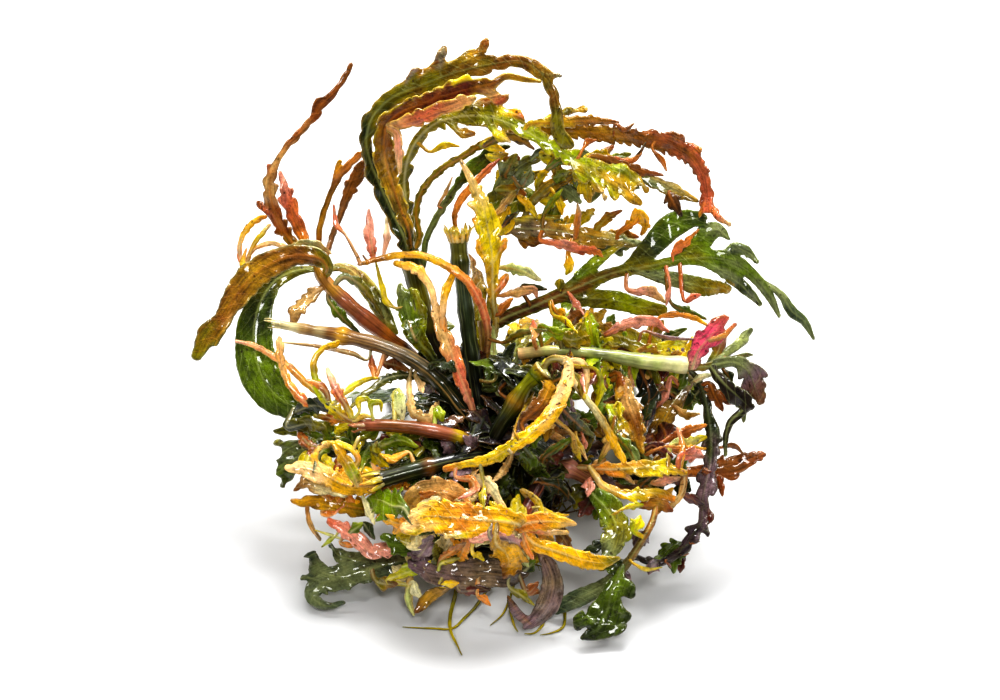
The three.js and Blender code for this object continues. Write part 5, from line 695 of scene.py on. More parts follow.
SMALL_FRONT_LEAVES = (
    ("brown cream tan brown", .7, .3, (-23, -10.2), (-26.5, -9.3), (-29.5, -8.4), (-31.2, -9.6)),
    ("olive cream cream", .5, .5, (-20.3, -10.8), (-19.3, -13), (-18.5, -15)),
    ("ink moss moss", .6, .2, (-20.3, -15), (-19.4, -16), (-18.5, -17.3)),
    ("moss green lime", .6, .3, (-22.4, -16.4), (-21.4, -15.6), (-20.3, -14.9)),
    ("olive celery yellow", .2, .2, (-23.6, -17.3), (-25.5, -16.8), (-28, -16)),
    ("olive lime", .3, .2, (-24.6, -16.8), (-25.6, -17.6), (-26.9, -18.7)),
    ("brown orange rust", .45, .3, (-24, -18), (-22.8, -18.4), (-21.5, -18.5)),
    ("green lime yellow", .55, .3, (-14, -22), (-12, -21.3), (-10, -21)),
    ("olive yellow lime yellow", .7, .3, (-16.4, -24.2), (-13, -22.6), (-9, -21)),
    ("brown olive brown", .8, .2, (-18.4, -23.9), (-17, -24.5), (-15, -24.6)),
    ("coral coral orange pink coral", .5, .7, (-5.5, -7.5), (-3, -8), (-2.5, -9.5), (-5, -11)),
    ("orange tan peach cream orange", .8, .5, (-3, -6), (-2.5, -7.8), (0, -9), (2.5, -13)),
    ("olive yellow olive", .5, .6, (-1, -9), (-1.2, -10.8), (-1, -12.5)),
    ("brown tan peach", .5, .6, (3.3, -3.5), (2.2, -6.5), (.5, -8.2)),
    ("coral pink pink", .6, .3, (-3, -17.7), (0, -16.9), (3, -17)),
    ("plum mauve pink", .8, .3, (0, -17), (4, -18), (6, -19)),
    ("plum mauve mauve", 1, .2, (-12, -21), (-10.5, -19), (-9.5, -17)),
    ("rust orange brown", .6, .4, (-8, -21), (-6, -19.4), (-4, -18)),
    ("brown ochre gold brown", 1.6, .4, (1, -18), (2.6, -19.6), (3, -21.4), (2, -23)),
    ("gold yellow", .5, .5, (-2.8, -19.6), (-2, -20), (-1, -20.9)),
    ("lime yellow olive", .5, .4, (-8, -21.5), (-6.5, -20.9), (-5, -20.5)),
    ("olive cream celery", .7, .4, (4, -19), (5.1, -20.5), (6, -22)),
    ("umber russet umber", .7, .2, (-5, -25.5), (-2.5, -25.6), (0, -25.5)),
    ("olive yellow gold", .5, .4, (-8, -24.9), (-6.5, -24.6), (-5, -24.5)),
    ("rust orange orange", .5, .4, (-2, -26.5), (-1, -27.1), (0, -28)),
    ("ink olive olive", .5, .3, (3, -25), (5, -26.4), (7, -28)),
    ("umber brown rust", .8, .3, (6, -26), (6.8, -25.4), (7.5, -24.5)),
    ("ink moss green", .8, .3, (5.5, -22.5), (6.2, -21.8), (7, -21)),
    ("tan cream cream", .6, .4, (-12.2, -24.4), (-11.8, -25.8), (-11, -27)),
    ("rust gold orange", .6, .5, (-17.5, -13.4), (-15, -14.8), (-12, -15.2)),
    ("umber rust orange", .7, .2, (-14, -9), (-11.5, -10.5), (-8.8, -10)),
    ("brown ochre yellow", .5, .5, (5, -9.5), (7.6, -11.5), (8.6, -14)),
    ("ink moss brown", .8, .2, (9, -15), (11.6, -17), (13, -19.4)),
    ("olive yellow gold", .4, .5, (8, -12.4), (10.6, -13.8), (12.6, -13.6)),
    ("moss green green", 1.7, .3, (-13.8, -12.6), (-15.5, -12.2), (-17.3, -11.4), (-19.2, -10.9)),
)


# Settings a user would change


def colour_property(name, code):
    return bpy.props.FloatVectorProperty(
        name=name.capitalize(), description=f"The {name} of leaves and stems", subtype="COLOR", size=3,
        min=0, max=1, default=linear(code),
    )


def number(default, name, description, **more):
    kind = bpy.props.IntProperty if isinstance(default, int) else bpy.props.FloatProperty
    return kind(name=name, description=description, default=default, **more)


class ClumpColours(bpy.types.PropertyGroup):
    """The clump's colours, by name."""

    __annotations__ = {name: colour_property(name, code) for name, code in COLOURS.items()}


class ClumpSizes(bpy.types.PropertyGroup):
    """Sizes of the leaves, stems and rootlets."""

    grain: number(0.34, "Leaf mesh", "Side of a leaf's mesh cells, in mm", min=0.2)
    sheet: number(0.11, "Leaf sheet", "Half the thickness of a leaf's sheet, in mm")
    midrib: number(0.2, "Midrib", "How far a midrib stands proud of the sheet, in mm")
    ridges: number(7, "Stem ridges", "Lengthwise ridges of a stem", min=3)
    ridge_depth: number(0.13, "Ridge depth", "Depth of a stem's ridges", subtype="FACTOR")
    rootlets: number(130, "Rootlets", "Rootlets round the crown", min=1)
    inner_leaves: number(130, "Inner leaves", "Dark leaves inside the clump", min=1)
    crown_leaves: number(160000.0, "Crown leaves", "Small leaves on the crown, to a square metre")


class StageSettings(bpy.types.PropertyGroup):
    """The floor and the studio light."""

    floor_size: number(3.0, "Floor", "Side of the floor", subtype="DISTANCE")
    floor_colour: bpy.props.FloatVectorProperty(
        name="Floor colour", description="Colour of the floor", subtype="COLOR", size=3,
        default=(0.64, 0.64, 0.64),
    )
    sun: number(1.1, "Broad light", "Strength of the broad light from above")
    top: number(2.0, "Top light", "Power of the softbox over the back", subtype="POWER")
    front: number(0.6, "Front light", "Power of the softbox over the eye", subtype="POWER")
    side: number(0.3, "Side light", "Power of each softbox at the sides", subtype="POWER")
    air: number(0.1, "Air", "Strength of the light from all round")


# Node trees


class Wire:
    """One output of a node: sums on it add Math or Vector Math nodes."""

    def __init__(self, nodes, socket):
        self.nodes = nodes
        self.socket = socket

    def __getitem__(self, name):
        outputs = self.socket.node.outputs
        return Wire(self.nodes, next(s for s in outputs if s.name == name and s.enabled))

    def _sum(self, operation, first, second):
        wires = [v for v in (first, second) if isinstance(v, Wire)]
        if all(wire.socket.type in ("VALUE", "INT", "BOOLEAN") for wire in wires):
            return self.nodes.add("ShaderNodeMath", {"operation": operation}, first, second)
        if operation == "MULTIPLY":
            return self.nodes.add("ShaderNodeVectorMath", {"operation": "SCALE"}, first, Scale=second)
        spread = [v if isinstance(v, Wire) else (v, v, v) for v in (first, second)]
        return self.nodes.add("ShaderNodeVectorMath", {"operation": operation}, *spread)

    def __add__(self, other):
        return self._sum("ADD", self, other)

    __radd__ = __add__

    def __sub__(self, other):
        return self._sum("SUBTRACT", self, other)

    def __rsub__(self, other):
        return self._sum("SUBTRACT", other, self)

    def __mul__(self, other):
        return self._sum("MULTIPLY", self, other)

    __rmul__ = __mul__

    def __abs__(self):
        return self.nodes.add("ShaderNodeMath", {"operation": "ABSOLUTE"}, self)

    def fraction(self):
        return self.nodes.add("ShaderNodeMath", {"operation": "FRACT"}, self)


class Nodes:
    """Adds nodes to one tree, each from its type, its settings and its sockets' values."""

    def __init__(self, tree):
        self.tree = tree
        tree.nodes.clear()

    def add(self, kind, settings=None, *values, **named):
        made = self.tree.nodes.new(kind)
        for key, value in (settings or {}).items():
            setattr(made, key, value)
        usable = [socket for socket in made.inputs if socket.enabled]
        pairs = list(zip(usable, values))
        for key, value in named.items():
            label = key.replace("_", " ")
            pairs.append((next(s for s in usable if s.name == label), value))
        for socket, value in pairs:
            if isinstance(value, Wire):
                self.tree.links.new(value.socket, socket)
            else:
                socket.default_value = value
        live = [socket for socket in made.outputs if socket.enabled]
        return Wire(self, live[0]) if live else None

    def noise(self, place, scale, detail=2.0, roughness=0.5):
        return self.add(
            "ShaderNodeTexNoise", {}, Vector=place, Scale=scale, Detail=detail, Roughness=roughness
        )["Fac"]

    def ramp(self, value, *stops):
        """A number taken smoothly from one stop's number to the next."""
        grey = self.add("ShaderNodeValToRGB", {}, value)
        elements = grey.socket.node.color_ramp.elements
        while len(elements) < len(stops):
            elements.new(1)
        for element, (position, share) in zip(elements, stops):
            element.position = position
            element.color = (share, share, share, 1)
        return self.add("ShaderNodeSeparateColor", {}, grey)

    def mix(self, share, first, second, how="MIX"):
        first, second = ((*v, 1) if isinstance(v, tuple) else v for v in (first, second))
        settings = {"data_type": "RGBA", "blend_type": how}
        return self.add("ShaderNodeMix", settings, Factor=share, A=first, B=second)


def colour(name):
    return tuple(getattr(bpy.context.scene.clump_colours, name))


def new_finish(name):
    """The nodes of a new material, and where a spot of it lies on the part."""
    material = bpy.data.materials.new(name)
    material.use_nodes = True
    nodes = Nodes(material.node_tree)
    return nodes, nodes.add("ShaderNodeTexCoord")["Object"]


def stored(nodes, name, output="Vector"):
    """Values that a piece's mesh stores under a name."""
    return nodes.add("ShaderNodeAttribute", {"attribute_name": name})[output]


def wet_surface(nodes, skin, height, depth, rough, wet, coat_rough, glow):
    """Ends a finish with its bump, which is depth metres deep, and its shader."""
    bump = nodes.add("ShaderNodeBump", {}, Strength=0.65, Distance=depth, Height=height)
    # The shader emits the skin's own colour by glow: a painted glow that stands in for light shining through
    # the leaf.
    shader = nodes.add(
        "ShaderNodeBsdfPrincipled", {}, Base_Color=skin, Roughness=rough, Coat_Weight=wet,
        Coat_Roughness=coat_rough, Coat_IOR=1.52, Specular_IOR_Level=0.2, Normal=bump,
        Emission_Color=skin, Emission_Strength=glow,
    )
    nodes.add("ShaderNodeOutputMaterial", {}, shader)


# About how many spots of each of the finishes' patterns fit into a metre.
LEAF_MOTTLE = 640.0
LEAF_PATCHES = 180.0
LEAF_CELLS = 1700.0
LEAF_SPECKS = 1500.0
STEM_MOTTLE = 520.0
STEM_PATCHES = 160.0


def leaf_finish(name, veins, streaks, glow, rough, wet):
    """A wet leaf: its own tints with mottling, lengthwise streaks, paler veins and dark specks."""
    nodes, place = new_finish(name)
    tint = stored(nodes, "tint", "Color")
    along = nodes.add("ShaderNodeSeparateXYZ", {}, stored(nodes, "blade"))
    beside, rib = along["Y"], along["Z"]
    mottle = nodes.noise(place, LEAF_MOTTLE, 4.0, 0.7)
    patch = nodes.noise(place, LEAF_PATCHES)
    edges = {"feature": "DISTANCE_TO_EDGE"}
    cells = nodes.add("ShaderNodeTexVoronoi", edges, place, Scale=LEAF_CELLS)
    net = nodes.ramp(cells, (0.0, 1.0), (0.12, 0.0))
    lengthwise = nodes.add("ShaderNodeCombineXYZ", {}, along * 0.22, beside * 2.6, patch * 1.5)
    streak = nodes.noise(lengthwise, 1.0, 3.0, 0.6)
    side_vein = (along["X"] * 0.45 - abs(beside) * 0.5 + patch * 2.4).fraction()
    side_vein = nodes.ramp(abs(side_vein - 0.5), (0.0, 1.0), (0.05, 0.4), (0.1, 0.0))
    side_vein = side_vein * nodes.ramp(abs(beside), (0.35, 0.0), (0.9, 1.0))
    vein = nodes.ramp(rib, (0.35, 0.0), (0.9, 1.0))
    skin = tint * nodes.ramp(mottle, (0.32, 0.5), (0.5, 0.95), (0.67, 1.35))
    skin = nodes.mix(nodes.ramp(streak, (0.5, 0.0), (0.64, streaks)), skin, skin * 0.25)
    skin = nodes.mix(nodes.ramp(streak, (0.33, streaks), (0.44, 0.0)), skin, tint * 1.5 + 0.02)
    skin = nodes.mix(net * 0.22, skin, skin * 0.45)
    skin = nodes.mix(side_vein * 0.14, skin, colour(veins))
    skin = nodes.mix(vein * 0.42, skin, colour(veins))
    speck = nodes.ramp(nodes.noise(place, LEAF_SPECKS, 1.0, 0.4), (0.66, 0.0), (0.72, 0.75))
    skin = nodes.mix(speck * nodes.ramp(patch, (0.45, 0.0), (0.6, 1.0)), skin, colour("umber"))
    height = mottle * 0.7 + streak * 0.6 + vein * 0.5 + side_vein * 0.3 - net * 0.2
    rough = nodes.ramp(mottle, (0.3, rough), (0.7, rough + 0.22))
    wet = nodes.ramp(patch, (0.35, wet), (0.6, 1.0))
    wet_surface(nodes, skin, height, 0.0003, rough, wet, coat_rough=0.06, glow=glow)


def stem_finish(name, streaks, strength, rough):
    """A wet stem: lengthwise streaks between its ridges and a waxy coat."""
    nodes, place = new_finish(name)
    tint = stored(nodes, "tint", "Color")
    side = nodes.add("ShaderNodeSeparateXYZ", {}, stored(nodes, "around"))
    mottle = nodes.noise(place, STEM_MOTTLE, 3.0, 0.6)
    patch = nodes.noise(place, STEM_PATCHES, 1.0)
    along = stored(nodes, "along", "Fac") * 0.09
    fibre = nodes.add("ShaderNodeCombineXYZ", {}, side * 3.4, side["Y"] * 3.4, along)
    streak = nodes.noise(fibre, 1.0, 3.0, 0.65)
    skin = tint * nodes.ramp(mottle, (0.3, 0.65), (0.7, 1.15))
    skin = nodes.mix(nodes.ramp(streak, (0.5, 0.0), (0.6, strength)), skin, skin * 0.25)
    skin = nodes.mix(nodes.ramp(streak, (0.36, strength), (0.44, 0.0)), skin, colour(streaks))
    rough = nodes.ramp(streak, (0.3, rough), (0.7, rough + 0.2))
    wet = nodes.ramp(patch, (0.35, 0.2), (0.6, 0.9))
    height = streak * 0.7 + mottle * 0.4
    wet_surface(nodes, skin, height, 0.0002, rough, wet, coat_rough=0.12, glow=0.0)


# Finish of each material slot of leaves: vein colour, streaks' strength, painted glow (emission that
# stands in for light shining through the leaf), roughness and least wetness.
LEAF_FINISHES = {
    "leaf_olive": ("celery", 0.6, 0.06, 0.2, 0.5),
    "leaf_green": ("celery", 0.5, 0.08, 0.16, 0.6),
    "leaf_dark": ("sage", 0.7, 0.0, 0.18, 0.7),
    "leaf_grey": ("celery", 0.45, 0.03, 0.22, 0.5),
    "leaf_purple": ("tan", 0.65, 0.03, 0.24, 0.6),
    "leaf_yellow": ("cream", 0.4, 0.1, 0.24, 0.4),
    "leaf_orange": ("peach", 0.4, 0.1, 0.24, 0.4),
    "leaf_brown": ("orange", 0.6, 0.08, 0.22, 0.5),
}
# Finish of each material slot of stems: the streaks' colour and strength, and roughness.
STEM_FINISHES = {
    "crown": ("brown", 0.8, 0.6),
    "stem_dark": ("sage", 0.5, 0.36),
    "stem_brown": ("tan", 0.6, 0.36),
    "stem_red": ("clay", 0.6, 0.3),
    "stem_pale": ("cream", 0.3, 0.3),
}


def finish(slot):
    """The material of a slot, made when it is first asked for."""
    name = "wet_" + slot
    if name not in bpy.data.materials:
        if slot in LEAF_FINISHES:
            leaf_finish(name, *LEAF_FINISHES[slot])
        else:
            stem_finish(name, *STEM_FINISHES[slot])
    return bpy.data.materials[name]


# Curves and sheets


def wave_noise(points, size, seed, waves=9):
    """Smooth noise between about -1 and 1, from a few waves in seeded directions."""
    rng = np.random.default_rng(seed)
    total = np.zeros(len(points))
    for _ in range(waves):
        heading = rng.normal(size=points.shape[1])
        heading *= 2 * np.pi * rng.uniform(0.6, 1.5) / (size * np.linalg.norm(heading))
        total += np.sin(points @ heading + rng.uniform(0, 2 * np.pi))
    return total / np.sqrt(waves)


def smoothstep(low, high, value):
    share = np.clip((value - low) / (high - low), 0, 1)
    return share * share * (3 - 2 * share)


def lengths_along(points):
    """How far along a line each of its points lies."""
    steps = np.linalg.norm(np.diff(points, axis=0), axis=1)
    return np.concatenate([[0], steps.cumsum()])


def curve_at(points, places):
    """Points and slopes of the centripetal curve through points, at places counted in points."""
    padded = np.vstack([2 * points[0] - points[1], points, 2 * points[-1] - points[-2]])
    low = np.clip(np.floor(places).astype(int), 0, len(points) - 2)
    p0, p1, p2, p3 = (padded[low + k] for k in range(4))
    t = (places - low)[:, None]
    gaps = (np.linalg.norm(b - a, axis=1) for a, b in ((p0, p1), (p1, p2), (p2, p3)))
    d0, d1, d2 = (np.maximum(gap**0.5, 1e-3)[:, None] for gap in gaps)
    m1 = ((p1 - p0) / d0 - (p2 - p0) / (d0 + d1) + (p2 - p1) / d1) * d1
    m2 = ((p2 - p1) / d1 - (p3 - p1) / (d1 + d2) + (p3 - p2) / d2) * d1
    a = 2 * p1 - 2 * p2 + m1 + m2
    b = -3 * p1 + 3 * p2 - 2 * m1 - m2
    return ((a * t + b) * t + m1) * t + p1, (3 * a * t + 2 * b) * t + m1


def from_view(points):
    """Points seen right and up of the hub, and near it, as points of the part in mm."""
    right, up, near = np.asarray(points, float).T
    drawn = near / EYE[2]
    return (
        HUB
        + np.outer(right + drawn * (EYE[0] - right), RIGHT)
        + np.outer(up + drawn * (EYE[1] - up), UP)
        + np.outer(near, NEAR)
    )


def from_ground(points):
    """Points of a leaf that the picture doesn't show, given over the ground in mm."""
    return np.asarray(points, float) + HUB * (1, 1, 0)


RICHNESS = 1.04  # how much stronger a wet leaf's colours are than dry ones


def shades(tints, share):
    """The colours named in tints, spread from 0 to 1, at each share; "olive*3" counts three times."""
    stops = []
    for word in tints.split():
        name, _, times = word.partition("*")
        stops += [colour(name)] * int(times or 1)
    stops = np.array(stops)
    if len(stops) == 1:
        return np.repeat(stops, len(share), 0)
    places = np.linspace(0, 1, len(stops))
    shade = np.stack([np.interp(share, places, stops[:, k]) for k in range(3)], 1)
    grey = shade.mean(1, keepdims=True)
    return np.clip(grey + (shade - grey) * RICHNESS, 0, 1)


# What the stored values of each kind are set by.
VALUE_KEYS = {"FLOAT": "value", "FLOAT_COLOR": "color", "FLOAT_VECTOR": "vector"}


def store(mesh, name, kind, values):
    """Stores values on a mesh's points, for its finish or for a geometry tree."""
    layer = mesh.attributes.new(name, kind, "POINT")
    layer.data.foreach_set(VALUE_KEYS[kind], values.astype(np.float32).ravel())


def opaque(tints):
    return np.column_stack([tints, np.ones(len(tints))])


def new_object(name, data):
    made = bpy.data.objects.new(name, data)
    bpy.context.scene.collection.objects.link(made)
    return made


def add_piece(mesh, name, slot, node=None):
    """A finished piece; node is the solid that it stands for, where there is one."""
    made = new_object(name, mesh)
    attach(made, "root")
    if node:
        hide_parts(node)
    return made


class Shell:
    """Closed surfaces gathered for one piece: corners, faces, tints and places on the blade."""

    def __init__(self):
        self.parts = []
        self.count = 0

    def take(self, corners, faces, tints, blades):
        self.parts.append((corners, faces + self.count, tints, blades))
        self.count += len(corners)

    def piece(self, name, slot, node=None):
        corners, faces, tints, blades = (np.concatenate(part) for part in zip(*self.parts))
        mesh = bpy.data.meshes.new(name)
        mesh.from_pydata(corners * MM, [], faces)
        store(mesh, "tint", "FLOAT_COLOR", opaque(tints))
        store(mesh, "blade", "FLOAT_VECTOR", blades)
        mesh.shade_smooth()
        mesh.materials.append(finish(slot))
        return add_piece(mesh, name, slot, node)


def corner_first(triangles, corner):
    """Triangles turned so that each one's corner of that number comes first."""
    return np.stack([triangles[np.arange(len(triangles)), (corner + k) % 3] for k in range(3)], 1)


def cut_sheet(field):
    """Cuts the part of a grid where field is over 0 into triangles.

    Returns the grid's corners that are kept, the corners cut on an edge as (first, second, share),
    and the triangles, which count kept corners first and cut ones after them.
    """
    rows, columns = field.shape
    grid = np.arange(rows * columns).reshape(rows, columns)
    a, b, c, d = grid[:-1, :-1], grid[1:, :-1], grid[1:, 1:], grid[:-1, 1:]
    cells = [np.stack(t, -1).reshape(-1, 3) for t in ((a, b, c), (a, c, d))]
    triangles = np.concatenate(cells)
    value = field.ravel()
    inside = value[triangles] > 0
    count = inside.sum(1)
    kept = np.flatnonzero(value > 0)
    place = np.full(rows * columns, -1)
    place[kept] = np.arange(len(kept))
    one = corner_first(triangles[count == 1], inside[count == 1].argmax(1))
    two = corner_first(triangles[count == 2], (~inside[count == 2]).argmax(1))
    edges = np.concatenate([one[:, [0, 1]], one[:, [0, 2]], two[:, [0, 1]], two[:, [0, 2]]])
    edges.sort(1)
    keys, where = np.unique(edges[:, 0] * (rows * columns) + edges[:, 1], return_inverse=True)
    low, high = keys // (rows * columns), keys % (rows * columns)
    share = value[low] / (value[low] - value[high])
    where = where.ravel() + len(kept)
    n, m = len(one), len(two)
    faces = np.concatenate(
        [
            place[triangles[count == 3]],
            np.stack([place[one[:, 0]], where[:n], where[n : 2 * n]], 1),
            np.stack([where[2 * n : 2 * n + m], place[two[:, 1]], place[two[:, 2]]], 1),
            np.stack([where[2 * n : 2 * n + m], place[two[:, 2]], where[2 * n + m :]], 1),
        ]
    )
    return kept, (low, high, share), faces


def close_sheet(kept, cuts):
    """Numbers of the lower sheet's corners: the cut rim is shared, the rest are new."""
    return np.concatenate([np.arange(kept) + kept + cuts, np.arange(kept, kept + cuts)])


def blend_fields(first, second, fillet=0.7):
    """The larger of two fields, with a fillet where they meet."""
    close = np.maximum(fillet - np.abs(first - second), 0) / fillet
    return np.maximum(first, second) + close * close * fillet / 4


MEASURING_STEPS = 24  # from one point of a route to the next, to measure along it


class Midrib:
    """A leaf's midrib: where each place along it lies, and how the leaf faces there."""

    def __init__(self, route, place_points, facing, roll, step):
        route = np.array(route, float)
        points = place_points(route[:, :3])
        last = len(points) - 1
        fine = np.linspace(0, last, MEASURING_STEPS * last + 1)
        line, _ = curve_at(points, fine)
        run = lengths_along(line)
        self.length = run[-1]
        count = max(int(round(self.length / step)), 3)
        self.stations = np.linspace(0, self.length, count + 1)
        self.step = self.stations[1]
        places = np.interp(self.stations, run, fine)
        self.centres, slopes = curve_at(points, places)
        self.along = slopes / np.linalg.norm(slopes, axis=1)[:, None]
        turn = np.radians(roll[0] + (roll[1] - roll[0]) * places / last)
        out = facing - np.outer(self.along @ facing, 1) * self.along
        out /= np.linalg.norm(out, axis=1)[:, None]
        across = np.cross(self.along, out)
        self.out = out * np.cos(turn)[:, None] + across * np.sin(turn)[:, None]
        self.across = np.cross(self.along, self.out)
        self.lean = np.cos(turn)
        self.half = np.interp(places, np.arange(last + 1), route[:, 3]) / self.lean
        self.seen, _ = curve_at(route[:, :3] * (1, 1, 0), places)

    def at(self, stations):
        """Centre, across, out and along at places in mm, straight on past the ends."""
        place = np.clip(stations / self.step, 0, len(self.stations) - 1)
        low = np.minimum(place.astype(int), len(self.stations) - 2)
        share = (place - low)[:, None]
        fields = (self.centres, self.across, self.out, self.along)
        centre, across, out, along = (f[low] * (1 - share) + f[low + 1] * share for f in fields)
        past = stations - np.clip(stations, 0, self.length)
        return centre + along * past[:, None], across, out

    def lobe_line(self, lobe):
        """A lobe's seen points, smoothed, as distances along and beside the midrib."""
        laid = []
        search = np.arange(len(self.stations))
        for k, (right, up, half) in enumerate(lobe):
            away = np.hypot(*(self.seen[search, :2] - (right, up)).T)
            best = search[away.argmin()]
            offset = (right - self.seen[best, 0]) * RIGHT + (up - self.seen[best, 1]) * UP
            beside = offset @ self.across[best] / self.lean[best] ** 2
            laid.append((self.stations[best] + offset @ self.along[best], beside, half))
            if k + 1 < len(lobe):
                span = np.hypot(lobe[k + 1][0] - right, lobe[k + 1][1] - up)
                reach = int((1.6 * span + 1) / self.step)
                search = np.arange(max(best - reach, 0), min(best + reach + 1, len(self.seen)))
        laid = np.array(laid)
        steps = np.linalg.norm(np.diff(laid[:, :2], axis=0), axis=1).sum() / 0.3
        line, _ = curve_at(laid, np.linspace(0, len(laid) - 1, int(steps) + 2))
        return line


# How a blade is shaped, in mm.
GRID_ROOM = 1.3  # room round the ends of lobes
RIB_WIDTH = 0.36  # of a midrib, to either side
VEIN_WIDTH = 0.26  # of a lobe's midrib, to either side
LEAST_CUT = 0.025  # how near to the sheet's edge a corner of the grid may lie
ROUNDING = 3  # how wide an edge is rounded, in half thicknesses of the sheet
EDGING = 0.35  # how far in the rim's colour reaches
TOOTH_LEAN = 0.9  # how far a tooth leans to the tip, for each mm beside the midrib


def blade_grid(rib, lines, ragged):
    """Places along and beside a midrib, spread wide enough for its blade and the lobes' lines."""
    reach = max([rib.half.max() * 1.7] + [np.abs(line[:, 1]).max() + 1.4 for line in lines])
    before = max([rib.half[0]] + [GRID_ROOM - line[:, 0].min() for line in lines])
    after = max([rib.half[-1]] + [line[:, 0].max() + GRID_ROOM - rib.length for line in lines])
    side = int(np.ceil((reach + ragged) / rib.step)) + 1
    first = -int(np.ceil(before / rib.step)) - 2
    last = len(rib.stations) + int(np.ceil(after / rib.step)) + 2
    along, beside = np.arange(first, last), np.arange(-side, side + 1)
    return np.meshgrid(along * rib.step, beside * rib.step, indexing="ij")


def toothed(half, s, t, lobed, shift, seed):
    """A blade's half widths with teeth, which lobed gives the spacing and the depth of."""
    period, depth = lobed
    drift = wave_noise(np.column_stack([s[:, 0] + shift[0], s[:, 0] * 0]), 7, seed, 4)[:, None]
    phase = (s - TOOTH_LEAN * np.abs(t)) / period + 0.5 * drift + 0.37 * (t > 0) + shift[1]
    tooth = np.sin(np.pi * (phase - np.floor(phase))) ** 0.8
    size = 0.8 + 0.35 * np.sin(2.4 * np.floor(phase) + 5 * (t > 0))
    depth = depth * smoothstep(0.1, 0.7, half)
    return half * (1.17 + depth * (1.5 * size * tooth - 0.7))


def join_lobes(s, t, field, ribs, lines, lobed, seed):
    """Grows lobes on a blade: its field and ribs with them, their share and their colours."""
    main = field
    pull = np.zeros_like(s)
    tint = np.zeros((s.size, 3))
    for names, line in lines:
        gap = np.hypot(s[..., None] - line[:, 0], t[..., None] - line[:, 1])
        own = (line[:, 2] - gap).max(-1)
        nearest = (line[:, 2] - gap).argmax(-1).ravel()
        if lobed and len(line) > 8:
            own += lobed[1] * 0.4 * line[:, 2].max() * np.sin(0.63 * nearest + seed).reshape(s.shape)
        share = smoothstep(-0.5, 0.9, own - main) * (own > -0.6)
        fresh = (share > pull).ravel()
        tint[fresh] = shades(names, nearest / max(len(line) - 1, 1))[fresh]
        pull = np.maximum(pull, share)
        ribs = np.maximum(ribs, 0.75 * np.exp(-((gap.min(-1) / VEIN_WIDTH) ** 2)))
        field = blend_fields(field, own)
    return field, ribs.ravel(), pull.ravel(), tint


def ruffled(place, half, ruffle, cup, shift, rng, seed):
    """How far a sheet stands off its midrib's plane, by its wavy margins and its cup."""
    along, beside = place.T
    margin = np.clip(np.abs(beside) / np.maximum(half, 0.4), 0, 2.2)
    start, other_side, drift, _ = rng.uniform(0, 6.28, 4)
    turn = along * 2 * np.pi / rng.uniform(3.4, 5.2) + start + (beside > 0) * other_side
    ruffle = ruffle * smoothstep(0.1, 1.2, half)
    raised = ruffle * margin**1.5 * np.sin(turn + 1.2 * np.sin(along * 0.55 + drift)) * 0.7
    raised += ruffle * 0.55 * wave_noise(place + shift, 3.2, seed + 2) * np.minimum(margin + 0.3, 1.3)
    raised += 0.1 * ruffle * wave_noise(place + shift, 1.4, seed + 4)
    return raised + cup * beside**2 / 2


